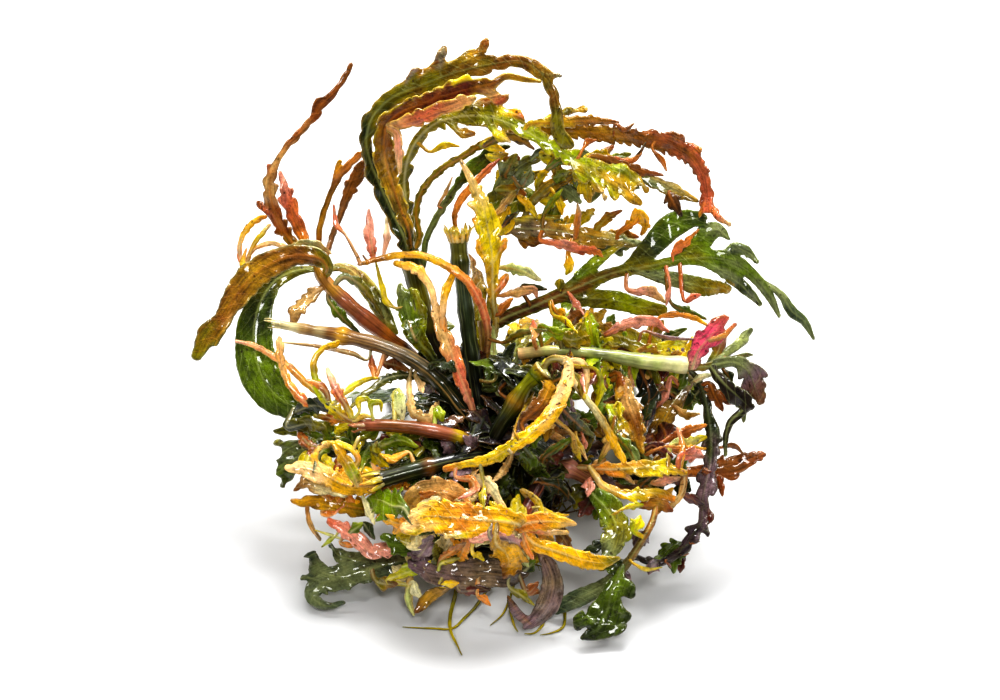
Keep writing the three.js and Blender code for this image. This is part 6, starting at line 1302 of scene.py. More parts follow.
def grow_blade(shell, rib, tints, rim, seed, ruffle=0.2, lobed=None, ragged=0.06, cup=0.0, lobes=()):
    """Adds one lobed blade on a midrib to a shell, as a closed sheet with rounded edges."""
    sizes = bpy.context.scene.clump_sizes
    rng = np.random.default_rng(seed)
    lines = [(names, rib.lobe_line(points)) for names, *points in lobes]
    s, t = blade_grid(rib, [line for _, line in lines], ragged)
    flat = np.column_stack([s.ravel(), t.ravel()])
    shift = rng.uniform(0, 100, 2)
    half = np.interp(s, rib.stations, rib.half)
    field = toothed(half, s, t, lobed, shift, seed) if lobed else half
    field = field - np.hypot(t, s - np.clip(s, 0, rib.length))
    ribs = np.exp(-((t / RIB_WIDTH) ** 2)) * (1 - 0.6 * np.clip(s / rib.length, 0, 1))
    field, ribs, pull, lobe_tint = join_lobes(s, t, field, ribs, lines, lobed, seed)
    rough = ragged * smoothstep(0.1, 1.3, np.maximum(half, np.maximum(field, 0)))
    field += rough * wave_noise(flat + shift, 1.5, seed + 1).reshape(s.shape)
    field[np.abs(field) < LEAST_CUT] = -LEAST_CUT
    field[[0, -1]] = field[:, [0, -1]] = -1
    kept, (low, high, share), faces = cut_sheet(field)

    value = np.concatenate([field.ravel()[kept], np.zeros(len(low))])
    place = np.concatenate([flat[kept], flat[low] + (flat[high] - flat[low]) * share[:, None]])
    spot = np.concatenate([kept, low])
    half, ribs = half.ravel()[spot], ribs[spot]
    narrow = 1 - smoothstep(0.5, 1.1, half)
    edge = sizes.sheet * ROUNDING * (1 - narrow) + np.maximum(half, 0.2) * narrow
    body = sizes.sheet + (0.3 * half - sizes.sheet) * narrow * (half > 0.2)
    body = np.maximum(body, sizes.sheet) + sizes.midrib * ribs * smoothstep(0.6, 1.4, half)
    depth_in = np.clip(value / edge, 0, 1)
    thick = body * np.sqrt(depth_in * (2 - depth_in))
    raised = ruffled(place, half, ruffle, cup, shift, rng, seed)
    centre, across, out = rib.at(place[:, 0])
    middle = centre + across * place[:, 1:] + out * raised[:, None]
    top = middle + out * thick[:, None]
    under = middle[: len(kept)] - out[: len(kept)] * thick[: len(kept), None]

    lift = wave_noise(place * (0.4, 1) + shift, 2.6, seed + 3)
    tint = shades(tints, np.clip(place[:, 0] / rib.length + 0.07 * lift, 0, 1))
    for share, other in (
        (pull[spot], lobe_tint[spot]),
        ((1 - smoothstep(0, EDGING, value)) * (0.7 - 0.4 * narrow), colour(rim)),
        # A sliver of cream on the very edge of the sheet: a painted highlight where the wet edge catches the
        # light.
        (0.15 * (value < 0.02), colour("cream")),
    ):
        tint = tint * (1 - share[:, None]) + np.array(other) * share[:, None]
    under_tint = tint[: len(kept)] * 0.85 + np.array(colour("sage")) * 0.12
    blade = np.column_stack([place + shift, ribs])
    under_faces = close_sheet(len(kept), len(low))[faces]
    shell.take(
        np.concatenate([top, under]),
        np.concatenate([faces[:, ::-1], under_faces]),
        np.concatenate([tint, under_tint]),
        np.concatenate([blade, blade[: len(kept)]]),
    )


def add_blade(shell, route, placing, facing, tints, seed, roll=(0, 20), step=0.3, **look):
    """Adds the blade along a route of points and half widths, edged in the last of its tints."""
    rim = tints.split()[-1].partition("*")[0]
    grow_blade(shell, Midrib(route, placing, facing, roll, step), tints, rim, seed, **look)


def build_leaf(row):
    """One leaf of a table, with its lobes on its sheet and its branches as blades of their own."""
    grain = bpy.context.scene.clump_sizes.grain
    seed = sum(map(ord, row["name"]))
    placing, facing = (from_view, NEAR) if row.get("seen", True) else (from_ground, SKY)
    look = {key: row[key] for key in ("ruffle", "lobed", "ragged", "cup") if key in row}
    shell = Shell()
    blades = [(row["tints"], row.get("lobes", ()), row["route"])]
    blades += [(tints, (), route) for tints, *route in row.get("branches", ())]
    for k, (tints, lobes, route) in enumerate(blades):
        rib = Midrib(route, placing, facing, row.get("roll", (0, 20)), grain)
        grow_blade(shell, rib, tints, row["rim"], seed + 10 * (k > 0) + k, lobes=lobes, **look)
    name = row["name"].replace("_leaf", "").replace("_leaves", "") + "_blade"
    return shell.piece(name, row["slot"], row["name"])


def build_leaves(rows):
    for row in rows:
        build_leaf(row)


# Small leaves, laid on what the picture shows behind them


def view_of(points):
    """Points of the part in mm, as seen right and up of the hub, and near it."""
    from_hub = points - HUB
    near = from_hub @ NEAR
    drawn = near / EYE[2]
    right = (from_hub @ RIGHT - drawn * EYE[0]) / (1 - drawn)
    up = (from_hub @ UP - drawn * EYE[1]) / (1 - drawn)
    return np.column_stack([right, up, near])


# What stays in front of the small leaves round it.
KEPT_CLEAR = (
    "pale_stem", "open_end_stem", "upright_stem", "forked_stem", "arched_stem", "lower_left_stem",
    "orange_bow_leaf",
)
CARRIER_STEP = 0.8  # how far apart the places are that small leaves can grow from, in mm


def carriers():
    """Places along every stem and leaf that the picture shows.

    Each is seen right, up and near, then its slope, its half width and whether it is kept clear.
    """
    tables = UPPER_LEAVES, LEFT_LEAVES, FRONT_LEAVES, RIGHT_LEAVES, MIDDLE_LEAVES
    routes = [(row["name"], row["route"]) for table in tables for row in table]
    routes += [(row[0], row[4]) for row in STEMS]
    laid = []
    for name, route in routes:
        route = np.array(route, float)
        run = lengths_along(route[:, :3])
        places = np.interp(np.arange(0, run[-1], CARRIER_STEP), run, np.arange(len(route)))
        line, slopes = curve_at(route[:, :3], places)
        half = np.interp(places, np.arange(len(route)), route[:, 3])
        laid.append(np.column_stack([line, slopes, half, half * 0 + (name in KEPT_CLEAR)]))
    return np.concatenate(laid)


LAY_RADIUS = 2.0  # how far round a seen spot the carriers lie that it rests on, in mm
LAY_DEPTH = 2.5  # how quickly carriers further back stop counting, in mm
CLEARANCE = 0.8  # how far a small leaf stays behind what is kept clear, in mm


def lay_on(carried, spots, lift):
    """How near each seen spot lies, so that it rests on the carriers seen around it."""
    nears = []
    for spot in spots:
        away = ((carried[:, :2] - spot) ** 2).sum(1)
        weight = np.exp(-away / (2 * LAY_RADIUS**2))
        near = carried[:, 2]
        top = near[weight > 0.3].max() if (weight > 0.3).any() else near[away.argmin()]
        weight = weight * np.exp((near - top) / LAY_DEPTH) + 1e-9
        rests = (weight * near).sum() / weight.sum() + lift
        ahead = (carried[:, 7] > 0) & (away < (carried[:, 6] + 0.9) ** 2)
        if ahead.any():
            rests = min(rests, (near - carried[:, 6])[ahead].min() - CLEARANCE)
        nears.append(rests)
    nears = np.array(nears)
    if len(nears) > 2:
        nears[1:-1] = (nears[:-2] + nears[1:-1] * 2 + nears[2:]) / 4
    return nears


SMALL_LEAF_WIDTHS = ((0, 0.35, 0.75, 1), (0.5, 1.25, 1.05, 0.35))  # along it, and in half widths


def small_leaf(shell, carried, row, seed):
    """A small leaf that grows from the nearest carrier through the spots it is seen at."""
    tints, half, lift, *spots = row
    spots = np.array(spots, float)
    nears = lay_on(carried, spots, lift)
    halves = half * np.interp(np.linspace(0, 1, len(spots)), *SMALL_LEAF_WIDTHS)
    route = np.column_stack([spots, nears, halves])
    gaps = np.linalg.norm(carried[:, :3] - route[0, :3], axis=1)
    root = carried[gaps.argmin(), :3]
    if gaps.min() > 0.5:
        route = np.vstack([[*root, min(half, 0.3)], route])
    add_blade(shell, route, from_view, NEAR, tints, seed, roll=(15, 25), lobed=(2.1, 0.5))


def build_small_leaves(name, slot, rows):
    shell = Shell()
    carried = carriers()
    for k, row in enumerate(rows):
        small_leaf(shell, carried, row, seed=40 + 7 * k)
    return shell.piece(name, slot)


# Groups of side leaves: name, slot, the bounds where they are seen (left, right, low, high, in mm
# from the hub), how many are tried, the longest in mm, and the colours to choose from.
SIDE_LEAVES = (
    ("side_upper_leaves", "leaf_olive", (-2, 26, 29, 46), 60, 7,
     ("olive yellow ochre", "moss green olive", "olive ochre rust", "green yellow gold", "moss sage")),
    ("side_yellow_leaves", "leaf_yellow", (11, 34, 3, 21), 60, 7,
     ("olive yellow gold", "green lime yellow", "moss olive ochre", "moss green lime", "ink moss green")),
    ("side_brown_leaves", "leaf_brown", (8, 33, -14, 14), 75, 6,
     ("umber brown ochre", "ink moss olive", "umber brown tan", "umber russet", "ink moss green")),
    ("side_dark_leaves", "leaf_dark", (-14, 32, -24, 14), 120, 6,
     ("ink moss", "ink green", "umber russet", "plum mauve", "moss olive")),
    ("side_front_leaves", "leaf_yellow", (-17, 12, -23, -9), 60, 6,
     ("orange gold yellow", "rust orange gold", "olive yellow", "brown ochre", "tan cream")),
    ("side_left_leaves", "leaf_green", (-31, -10, -9, 2), 50, 6,
     ("moss green", "moss green olive", "olive yellow", "brown rust")),
    ("side_low_left_leaves", "leaf_orange", (-29, -12, -14, -4), 30, 5,
     ("rust orange gold", "olive yellow orange", "coral orange peach")),
)


def build_side_leaves(seed, name, slot, bounds, count, longest, tints):
    """Small leaves that branch from the stems and leaves seen within bounds, in mm."""
    rng = np.random.default_rng(seed)
    shell = Shell()
    carried = carriers()
    left, right, low, high = bounds
    inside = (carried[:, 0] > left) & (carried[:, 0] < right)
    inside &= (carried[:, 1] > low) & (carried[:, 1] < high)
    roots = carried[inside]
    for k in range(count):
        root = roots[rng.integers(len(roots))]
        turn = np.arctan2(root[4], root[3]) + rng.choice((-1, 1)) * rng.uniform(0.3, 1.3)
        length = rng.uniform(0.35, 1) * longest
        bend = rng.uniform(-0.5, 0.5)
        spots = [root[:2]]
        for _ in range(3):
            spots.append(spots[-1] + length / 3 * np.array((np.cos(turn), np.sin(turn))))
            turn += bend
        tip = spots[-1]
        if left < tip[0] < right and low < tip[1] < high:
            pick = tints[rng.integers(len(tints))]
            row = (pick, rng.uniform(0.5, 1.1), rng.uniform(-3.5, -0.8), *spots)
            small_leaf(shell, carried, row, seed * 100 + k)
    return shell.piece(name, slot)


def as_placed(points):
    """Points that are already the part's own, in mm."""
    return np.asarray(points, float)


# Right and up of the hub: the line under which the clump is dense enough to hide what is behind it.
HIDDEN_OUTLINE = ((-36, -26, -14, -8, 0, 10, 22, 32, 40), (-6, 0, 2, 12, 19, 17, 12, 5, -2))


def hidden_under(right):
    """How high a leaf may be seen at the back without showing through the clump's gaps."""
    return np.interp(right, *HIDDEN_OUTLINE)


def arching_blade(shell, rng, root, heading, length, rise, half, tints, seed):
    """A blade from root that arches along heading, over rise, and hangs down at its tip."""
    shares = np.linspace(0, 1, 6)
    side = np.cross(SKY, heading)
    bend = rng.uniform(-0.25, 0.25) * length
    height = rise * np.sin(shares * np.pi * 0.62) - 0.35 * rise * shares**3
    points = root + np.outer(shares * length, heading) + np.outer(bend * shares**2, side)
    points[:, 2] = np.maximum(root[2] + height, 0.9 + half * 0.25)
    halves = half * np.interp(shares, (0, 0.2, 0.5, 0.85, 1), (0.3, 0.7, 1, 0.7, 0.2))
    route = np.column_stack([points, halves])
    add_blade(shell, route, as_placed, SKY, tints, seed, (-10, 25), 0.45, ruffle=0.25, lobed=(3, 0.7))


# Near-black tints of the inner leaves: painted shade for the clump's dark inside.
INNER_SHADE_TINTS = ("ink moss moss", "ink ink moss", "ink moss green", "umber ink olive", "ink plum brown")
BACK_TINTS = (
    "ink moss green olive", "moss green lime", "umber olive brown rust", "moss olive yellow gold",
    "plum mauve plum",
)
BACK_SHARES = (0.4, 0.25, 0.12, 0.13, 0.1)  # how often each of BACK_TINTS is drawn
BACK_COUNT = 90  # how many small leaves are tried on the shoots at the back


def build_inner_leaves(count):
    """Leaves inside the clump, painted near black for its shade, which grow from the stems and stay behind
    the others.
    """
    rng = np.random.default_rng(31)
    stems = [curve_at(np.array(row[4])[:, :3], np.linspace(0, len(row[4]) - 1, 30))[0] for row in STEMS]
    starts = np.concatenate([from_view(line) for line in stems])
    shell = Shell()
    made = 0
    for _ in range(count * 12):
        if made == count:
            break
        root = starts[rng.integers(len(starts))]
        turn = rng.uniform(0, 2 * np.pi)
        heading = np.array((np.cos(turn), np.sin(turn), 0))
        length = rng.uniform(5, 11)
        end = view_of(np.array([root + heading * length]))[0]
        right, up, _ = view_of(root[None])[0]
        inside = -20 < end[0] < 33 and -22 < end[1] < min(13, hidden_under(end[0])) and end[2] < 6
        if not inside or not (-18 < right < 26 and -20 < up < 12):
            continue
        made += 1
        rise = rng.uniform(-1.5, 3)
        tints = INNER_SHADE_TINTS[rng.integers(len(INNER_SHADE_TINTS))]
        arching_blade(shell, rng, root, heading, length, rise, rng.uniform(0.7, 1.5), tints, made)
    return shell.piece("inner_leaves", "leaf_dark")


def build_rear_leaves():
    """Small leaves along the shoots at the back, which the picture doesn't show."""
    rng = np.random.default_rng(8)
    shell = Shell()
    routes = [row["route"] for row in BACK_LEAVES]
    routes += [branch[1:] for row in BACK_LEAVES for branch in row["branches"]]
    for k in range(BACK_COUNT):
        route = np.array(routes[rng.integers(len(routes))], float)
        place = rng.uniform(0.1, len(route) - 1.6)
        centre, slope = curve_at(route[:, :3], np.array([place]))
        turn = np.arctan2(slope[0, 1], slope[0, 0]) + rng.choice((-1, 1)) * rng.uniform(0.5, 1.2)
        heading = np.array((np.cos(turn), np.sin(turn), 0))
        root = from_ground(centre)[0]
        length = rng.uniform(4, 8.5)
        end = view_of(np.array([root + heading * length]))[0]
        if end[1] + 1 > hidden_under(end[0]):
            continue
        tints = BACK_TINTS[rng.choice(len(BACK_TINTS), p=BACK_SHARES)]
        rise = rng.uniform(-0.5, 2)
        arching_blade(shell, rng, root, heading, length, rise, rng.uniform(0.8, 1.5), tints, 60 + k)
    return shell.piece("rear_leaves", "leaf_olive")


# Stems, crown and rootlets


def interface(tree, **sockets):
    """Named inputs of a geometry tree, which gives back one geometry."""
    for name, kind in sockets.items():
        tree.interface.new_socket(name.replace("_", " "), in_out="INPUT", socket_type=kind)
    tree.interface.new_socket("Result", in_out="OUTPUT", socket_type="NodeSocketGeometry")
    nodes = Nodes(tree)
    return nodes, nodes.add("NodeGroupInput")


def close_tree(nodes, geometry, material):
    whole = nodes.add("GeometryNodeRealizeInstances", {}, geometry)
    whole = nodes.add("GeometryNodeSetShadeSmooth", {}, whole)
    whole = nodes.add("GeometryNodeSetMaterial", {}, whole, Material=material)
    nodes.add("NodeGroupOutput", {}, whole)


TUBE_TREE = "Ridged tubes"


def tube_tree():
    """Ridged tubes along lines: each line's point says how thick the tube is there."""
    tree = bpy.data.node_groups.new(TUBE_TREE, "GeometryNodeTree")
    nodes, given = interface(
        tree, Lines="NodeSocketGeometry", Ridges="NodeSocketInt", Ridge_depth="NodeSocketFloat",
        Bark="NodeSocketFloat", Material="NodeSocketMaterial",
    )
    lines = nodes.add("GeometryNodeMeshToCurve", {}, given["Lines"])
    star = nodes.add(
        "GeometryNodeCurveStar", {}, given["Ridges"],
        Inner_Radius=1 - given["Ridge depth"], Outer_Radius=1.0, Twist=0.0,
    )
    place = nodes.add("GeometryNodeInputPosition")
    star = nodes.add(
        "GeometryNodeStoreNamedAttribute", {"data_type": "FLOAT_VECTOR", "domain": "POINT"},
        star, Name="around", Value=place,
    )
    thick = nodes.add("GeometryNodeInputNamedAttribute", {"data_type": "FLOAT"}, "thick")
    tubes = nodes.add("GeometryNodeCurveToMesh", {}, lines, star, Scale=thick, Fill_Caps=True)
    uneven = (nodes.noise(place, 900.0, 2.0) - 0.5) * given["Bark"]
    normal = nodes.add("GeometryNodeInputNormal")
    tubes = nodes.add("GeometryNodeSetPosition", {}, tubes, Offset=normal * uneven)
    close_tree(nodes, tubes, given["Material"])
    return tree


CLEAR_OF_FLOOR = 0.0022  # how high the lowest leaf on the crown grows, in metres


def scatter_tree():
    """Small leaves on the crown's flanks, turned out of it and each of its own size."""
    tree = bpy.data.node_groups.new("Scattered leaves", "GeometryNodeTree")
    nodes, given = interface(
        tree, Crown="NodeSocketGeometry", Leaf="NodeSocketObject", Density="NodeSocketFloat",
        Smallest="NodeSocketFloat", Largest="NodeSocketFloat", Material="NodeSocketMaterial",
    )
    place = nodes.add("GeometryNodeInputPosition")
    height = nodes.add("ShaderNodeSeparateXYZ", {}, place)["Z"]
    high = nodes.add("FunctionNodeCompare", {"operation": "GREATER_THAN"}, height, CLEAR_OF_FLOOR)
    spots = nodes.add(
        "GeometryNodeDistributePointsOnFaces", {}, given["Crown"], high,
        Density=given["Density"], Seed=5,
    )
    turned = nodes.add(
        "FunctionNodeAlignRotationToVector", {"axis": "Y"}, spots["Rotation"], 0.62, (0.0, 0.0, 1.0)
    )
    spin = nodes.add(
        "FunctionNodeRandomValue", {"data_type": "FLOAT_VECTOR"}, (-0.9, -1.3, -0.7), (0.9, 1.3, 0.7),
        Seed=6,
    )
    turned = nodes.add("FunctionNodeRotateRotation", {"rotation_space": "LOCAL"}, turned, spin)
    size = nodes.add(
        "FunctionNodeRandomValue", {"data_type": "FLOAT"}, given["Smallest"], given["Largest"], Seed=7
    )
    source = nodes.add("GeometryNodeObjectInfo", {}, given["Leaf"])["Geometry"]
    placed = nodes.add(
        "GeometryNodeInstanceOnPoints", {}, spots, Instance=source, Rotation=turned, Scale=size
    )
    close_tree(nodes, placed, given["Material"])
    return tree


def run_tree(source, tree, **values):
    """The mesh that a tree makes of an object, which is taken away afterwards."""
    modifier = source.modifiers.new(tree.name, "NODES")
    modifier.node_group = tree
    for item in tree.interface.items_tree:
        key = item.name.replace(" ", "_")
        if item.in_out == "INPUT" and key in values:
            modifier[item.identifier] = values[key]
    graph = bpy.context.evaluated_depsgraph_get()
    made = bpy.data.meshes.new_from_object(
        source.evaluated_get(graph), preserve_all_data_layers=True, depsgraph=graph
    )
    source.modifiers.clear()
    bpy.data.objects.remove(source)
    return made


LINE_SHIFT = 37  # how far apart the streaks of two lines of one object start, in mm


def lines_object(lines):
    """An object of open lines, each (points in mm, radii in mm, tints), for the tube tree."""
    points, radii, tints = (np.concatenate(part) for part in zip(*lines))
    starts = np.cumsum([0] + [len(line) for line, _, _ in lines])
    pairs = zip(starts, starts[1:])
    edges = [np.column_stack([np.arange(a, b - 1), np.arange(a + 1, b)]) for a, b in pairs]
    runs = [lengths_along(line) + LINE_SHIFT * k for k, (line, _, _) in enumerate(lines)]
    mesh = bpy.data.meshes.new("lines")
    mesh.from_pydata(points * MM, np.concatenate(edges), [])
    store(mesh, "thick", "FLOAT", radii * MM)
    store(mesh, "along", "FLOAT", np.concatenate(runs))
    store(mesh, "tint", "FLOAT_COLOR", opaque(tints))
    return new_object("lines", mesh)


STEM_STEP = 0.45  # how far apart a stem's rings are, in mm
JOINT_REACH = 0.9  # how far a joint's swelling and colour reach, in mm


def stem_rib(row):
    return Midrib(row[4], from_view, NEAR, (0, 0), STEM_STEP)


def stem_line(row, trim=0.0):
    """A stem's line, with its radii, its joints' swellings and its tints."""
    _, _, tints, joints, _ = row
    rib = stem_rib(row)
    keep = rib.stations <= rib.length - trim
    run = rib.stations[keep]
    seed = len(run)
    radius = rib.half[keep] * (1 + 0.05 * wave_noise(run[:, None], 5, seed))
    shade = shades(tints, np.clip(run / rib.length + 0.04 * wave_noise(run[:, None], 4, seed), 0, 1))
    for right, up, name, swell in joints:
        at = run[np.hypot(*(rib.seen[keep, :2] - (right, up)).T).argmin()]
        near = np.exp(-(((run - at) / JOINT_REACH) ** 2))
        radius = radius * (1 + swell * near)
        shade = shade + (np.array(colour(name)) - shade) * 0.85 * near[:, None]
    return rib.centres[keep], radius, shade


FRINGE_STEP = 0.22  # side of a torn strip's mesh cells, in mm


def fringe(shell, row, count, length, tints, seed):
    """Torn strips round the cut end of a stem."""
    rib = stem_rib(row)
    end, along, out, across = rib.centres[-1], rib.along[-1], rib.out[-1], rib.across[-1]
    radius = rib.half[-1]
    rng = np.random.default_rng(seed)
    for k in range(count):
        angle = 2 * np.pi * (k + rng.uniform(-0.3, 0.3)) / count
        side = out * np.cos(angle) + across * np.sin(angle)
        reach = length * rng.uniform(0.6, 1.2)
        points = np.array([
            end + side * radius * 0.86 - along * 0.9,
            end + side * radius * 1.02 + along * 0.1,
            end + side * radius * rng.uniform(1, 1.3) + along * reach * 0.6,
            end + side * radius * rng.uniform(0.9, 1.6) + along * reach,
        ])
        halves = np.array((0.4, 0.42, 0.3, 0.12)) * min(radius, 1.2)
        route = np.column_stack([points, halves])
        add_blade(shell, route, as_placed, side, tints, seed + k, (0, 10), FRINGE_STEP, ruffle=0.15)


def close_rings(rings, low, high):
    """Corners and faces of a closed body, from rings of corners that are as many and two poles."""
    count, sides = len(rings), len(rings[0])
    own = np.arange(count * sides).reshape(count, sides)
    after = np.roll(own, -1, 1)
    a, b, c, d = own[:-1], after[:-1], after[1:], own[1:]
    faces = [np.stack(t, -1).reshape(-1, 3) for t in ((a, b, c), (a, c, d))]
    pole = np.full(sides, count * sides)
    faces.append(np.column_stack([after[0], own[0], pole]))
    faces.append(np.column_stack([own[-1], after[-1], pole + 1]))
    return np.vstack([*rings, low, high]), np.concatenate(faces)


# The hollow end of a stem, in radii and in mm along it: up its outside and down its inside.
OPEN_END = (
    (0, -1.6), (0.94, -1.6), (0.98, -0.8), (1.05, -0.1), (1.06, 0.2), (0.98, 0.38), (0.86, 0.32),
    (0.8, -0.1), (0.74, -0.55), (0.4, -0.75), (0, -0.7),
)
OPEN_END_TINTS = "green olive ochre cream celery cream olive moss"
OPEN_END_SIDES = 20
OPEN_END_TRIM = 1.0  # how much of the stem's own line gives way to its hollow end, in mm


def open_end(shell, row):
    rib = stem_rib(row)
    centre, axis, across = rib.centres[-1], rib.along[-1], rib.across[-1]
    turn = np.linspace(0, 2 * np.pi, OPEN_END_SIDES, endpoint=False)
    around = np.outer(np.cos(turn), across) + np.outer(np.sin(turn), np.cross(axis, across))
    levels = [centre + axis * along for _, along in OPEN_END]
    rings = [at + around * share * rib.half[-1] for at, (share, _) in zip(levels, OPEN_END)]
    corners, faces = close_rings(rings[1:-1], levels[0], levels[-1])
    share = np.concatenate([np.repeat(np.linspace(0, 1, len(rings) - 2), len(turn)), [0, 1]])
    blades = np.column_stack([share * 3, share * 2, share * 0])
    shell.take(corners, faces, shades(OPEN_END_TINTS, share), blades)


# Torn ends: the stem, how many strips, their length in mm, their colours and their seed.
TORN_ENDS = (
    ("upright_stem", 12, 1.3, "ochre gold yellow ochre", 3),
    ("arched_stem", 5, 1.6, "tan cream tan cream", 13),
    ("lower_left_stem", 7, 2.6, "olive yellow orange", 23),
    ("glossy_red_stem", 6, 1.6, "russet rust coral", 33),
)
BARK = 0.00022  # how uneven a stem is, in metres


def build_stems():
    tree = tube_tree()
    sizes = bpy.context.scene.clump_sizes
    rows = {row[0]: row for row in STEMS}
    for name, row in rows.items():
        trim = OPEN_END_TRIM if name == "open_end_stem" else 0.0
        mesh = run_tree(
            lines_object([stem_line(row, trim)]), tree, Ridges=sizes.ridges,
            Ridge_depth=sizes.ridge_depth, Bark=BARK, Material=finish(row[1]),
        )
        mesh.name = name
        add_piece(mesh, name.replace("_stem", "") + "_tube", row[1], name)
    ends = Shell()
    for name, *torn in TORN_ENDS:
        fringe(ends, rows[name], *torn)
    open_end(ends, rows["open_end_stem"])
    ends.piece("stem_ends", "leaf_yellow")


# The crown from its underside up: how wide it is, as a share of its radius, and the height in mm.
CROWN_PROFILE = (
    (0.9, 0), (0.97, 1.2), (1, 3), (0.97, 5.2), (0.92, 7.5), (0.83, 9.6), (0.72, 11.5), (0.6, 13.4),
    (0.48, 15), (0.36, 16.2), (0.2, 16.9), (0.08, 17.1),
)
CROWN_RADIUS = 10.5  # in mm
CROWN_TOP = CROWN_PROFILE[-1][1]
CROWN_SIDES = 96
CROWN_LEVELS = 30


def crown_radius(turn, height):
    """The crown's fluted radius in mm at an angle and a height."""
    shares, heights = np.array(CROWN_PROFILE).T
    level = np.interp(height, (0, 3, 7.5, 11.5, 15, 17), range(6))
    uneven = 1 + 0.1 * np.sin(5 * turn + 0.7 * level) + 0.05 * np.sin(3 * turn - level)
    return CROWN_RADIUS * np.interp(height, heights, shares) * uneven


def build_crown():
    """The crown of matted roots: a fluted lump with a flat underside."""
    shell = Shell()
    turns = np.linspace(0, 2 * np.pi, CROWN_SIDES, endpoint=False)
    heights = np.concatenate([[0, 0.5], np.linspace(1.1, 17, CROWN_LEVELS)])
    turn, height = np.meshgrid(turns, heights)
    cords = np.column_stack([np.cos(turn).ravel() * 5, np.sin(turn).ravel() * 5, height.ravel()])
    rough = wave_noise(cords, 2.2, 4).reshape(turn.shape) * 0.35
    rough += np.abs(wave_noise(cords * (1.6, 1.6, 0.5), 1.4, 9)).reshape(turn.shape) * 0.3 - 0.35
    radius = np.maximum(crown_radius(turn, height) + rough * np.minimum(height, 1), 0.3)
    rings = np.stack([radius * np.cos(turn), radius * np.sin(turn), height], -1)
    corners, faces = close_rings(rings, (0, 0, 0), (0, 0, CROWN_TOP))
    corners += HUB * (1, 1, 0)
    tints = shades("umber ink olive umber", np.clip(corners[:, 2] / 17, 0, 1))
    shell.take(corners, faces, tints, corners)
    return shell.piece("crown_mat", "crown", "root_crown")


def floor_near(up, height):
    """How near a spot seen up of the hub lies when it is at a height over the floor."""
    near = 0.0
    for _ in range(5):
        shown = up + near / EYE[2] * (EYE[1] - up)
        near = (height - HUB[2] - shown * UP[2]) / NEAR[2]
    return near


# Roots that the picture shows lying on the surface: radius, then spots right and up of the hub.
FLOOR_ROOTS = (
    (0.4, (-5, -24), (-5.5, -26.5), (-6.3, -29.5), (-6.3, -32), (-5.2, -34.5), (-4.5, -36)),
    (0.3, (0.5, -25), (-2, -28), (-4, -30), (-6, -31.7), (-9.5, -31.7), (-14, -31.5)),
    (0.25, (4, -25), (3, -27.5), (2, -29.5), (0, -31.3)),
    (0.35, (9, -27), (8.5, -31), (7, -32.5), (5.5, -32.6)),
    (0.3, (12, -28.5), (11.7, -31.5), (10, -32.4), (8, -32.8)),
    (0.3, (3, -28), (4, -31.5), (4.5, -32.3)),
)
ROOTLET_TINTS = ("umber brown root", "brown olive root", "ink umber brown")
FLOOR_ROOT_TINTS = "olive root yellow root"


def build_rootlets(count):
    rng = np.random.default_rng(12)
    lines = []
    for _ in range(count):
        turn = rng.uniform(0, 2 * np.pi)
        height = rng.uniform(1.5, 13)
        reach = rng.uniform(0, 5.5)
        steps = int(7 + height)
        share = np.linspace(0, 1, steps)
        drift = turn + np.cumsum(rng.normal(0, 0.07, steps))
        level = np.maximum(height * (1 - share**0.8 * 1.15), 0.3)
        out = crown_radius(drift, level) + 0.15 + reach * share**2
        points = np.column_stack([out * np.cos(drift), out * np.sin(drift), level]) + HUB * (1, 1, 0)
        thick = rng.uniform(0.14, 0.32) * (1.05 - 0.75 * share)
        tints = ROOTLET_TINTS[rng.integers(len(ROOTLET_TINTS))]
        lines.append((points, thick, shades(tints, share)))
    for radius, *spots in FLOOR_ROOTS:
        route = np.array([(right, up, floor_near(up, radius * 0.8), radius) for right, up in spots])
        rib = Midrib(route, from_view, NEAR, (0, 0), 0.6)
        rise = np.interp(rib.stations, (0, rib.length * 0.3), (1.2, 0))
        points = rib.centres + np.outer(rise, SKY)
        thick = rib.half * np.interp(rib.stations / rib.length, (0, 0.6, 1), (1, 0.8, 0.25))
        lines.append((points, thick, shades(FLOOR_ROOT_TINTS, rib.stations / rib.length)))
    mesh = run_tree(
        lines_object(lines), bpy.data.node_groups[TUBE_TREE], Ridges=3, Ridge_depth=0.2,
        Bark=0.0001, Material=finish("crown"),
    )
    return add_piece(mesh, "rootlets", "crown")


def build_crown_leaves(density):
    """Scatters one small lobed leaf over the crown's flanks."""
    bud = Shell()
    route = ((0, 0, 0, 0.35), (0.2, 1.2, 0.4, 0.9), (-0.1, 2.6, 0.6, 1), (0.2, 4, 0.3, 0.3))
    add_blade(bud, route, as_placed, SKY, "ink moss green", 5, step=0.55, lobed=(1.8, 0.7))
    leaf_mesh = bud.piece("bud", "leaf_dark")
    source = new_object("crown_faces", bpy.data.objects["crown_mat"].data.copy())
    mesh = run_tree(
        source, scatter_tree(), Leaf=leaf_mesh, Density=density, Smallest=0.6, Largest=1.5,
        Material=finish("leaf_dark"),
    )
    bpy.data.objects.remove(leaf_mesh)
    return add_piece(mesh, "crown_leaves", "leaf_dark")


# Stage


# Softboxes: name, place and size in metres, and the setting that holds its power.
SOFTBOXES = (
    ("left", (-0.3, -0.05, 0.34), (0.025, 0.08), "side"),
    ("right", (0.3, -0.02, 0.34), (0.025, 0.08), "side"),
    ("front", (0.05, -0.3, 0.42), (0.15, 0.08), "front"),
    ("top", (0.02, 0.2, 0.4), (0.2, 0.15), "top"),
)
SUN_FROM = (0.14, 0.5, 0.85)  # where the broad light comes from
SUN_WIDTH = 75  # how wide it is in the sky, in degrees
SENSOR = 36  # width of the camera's sensor, in mm


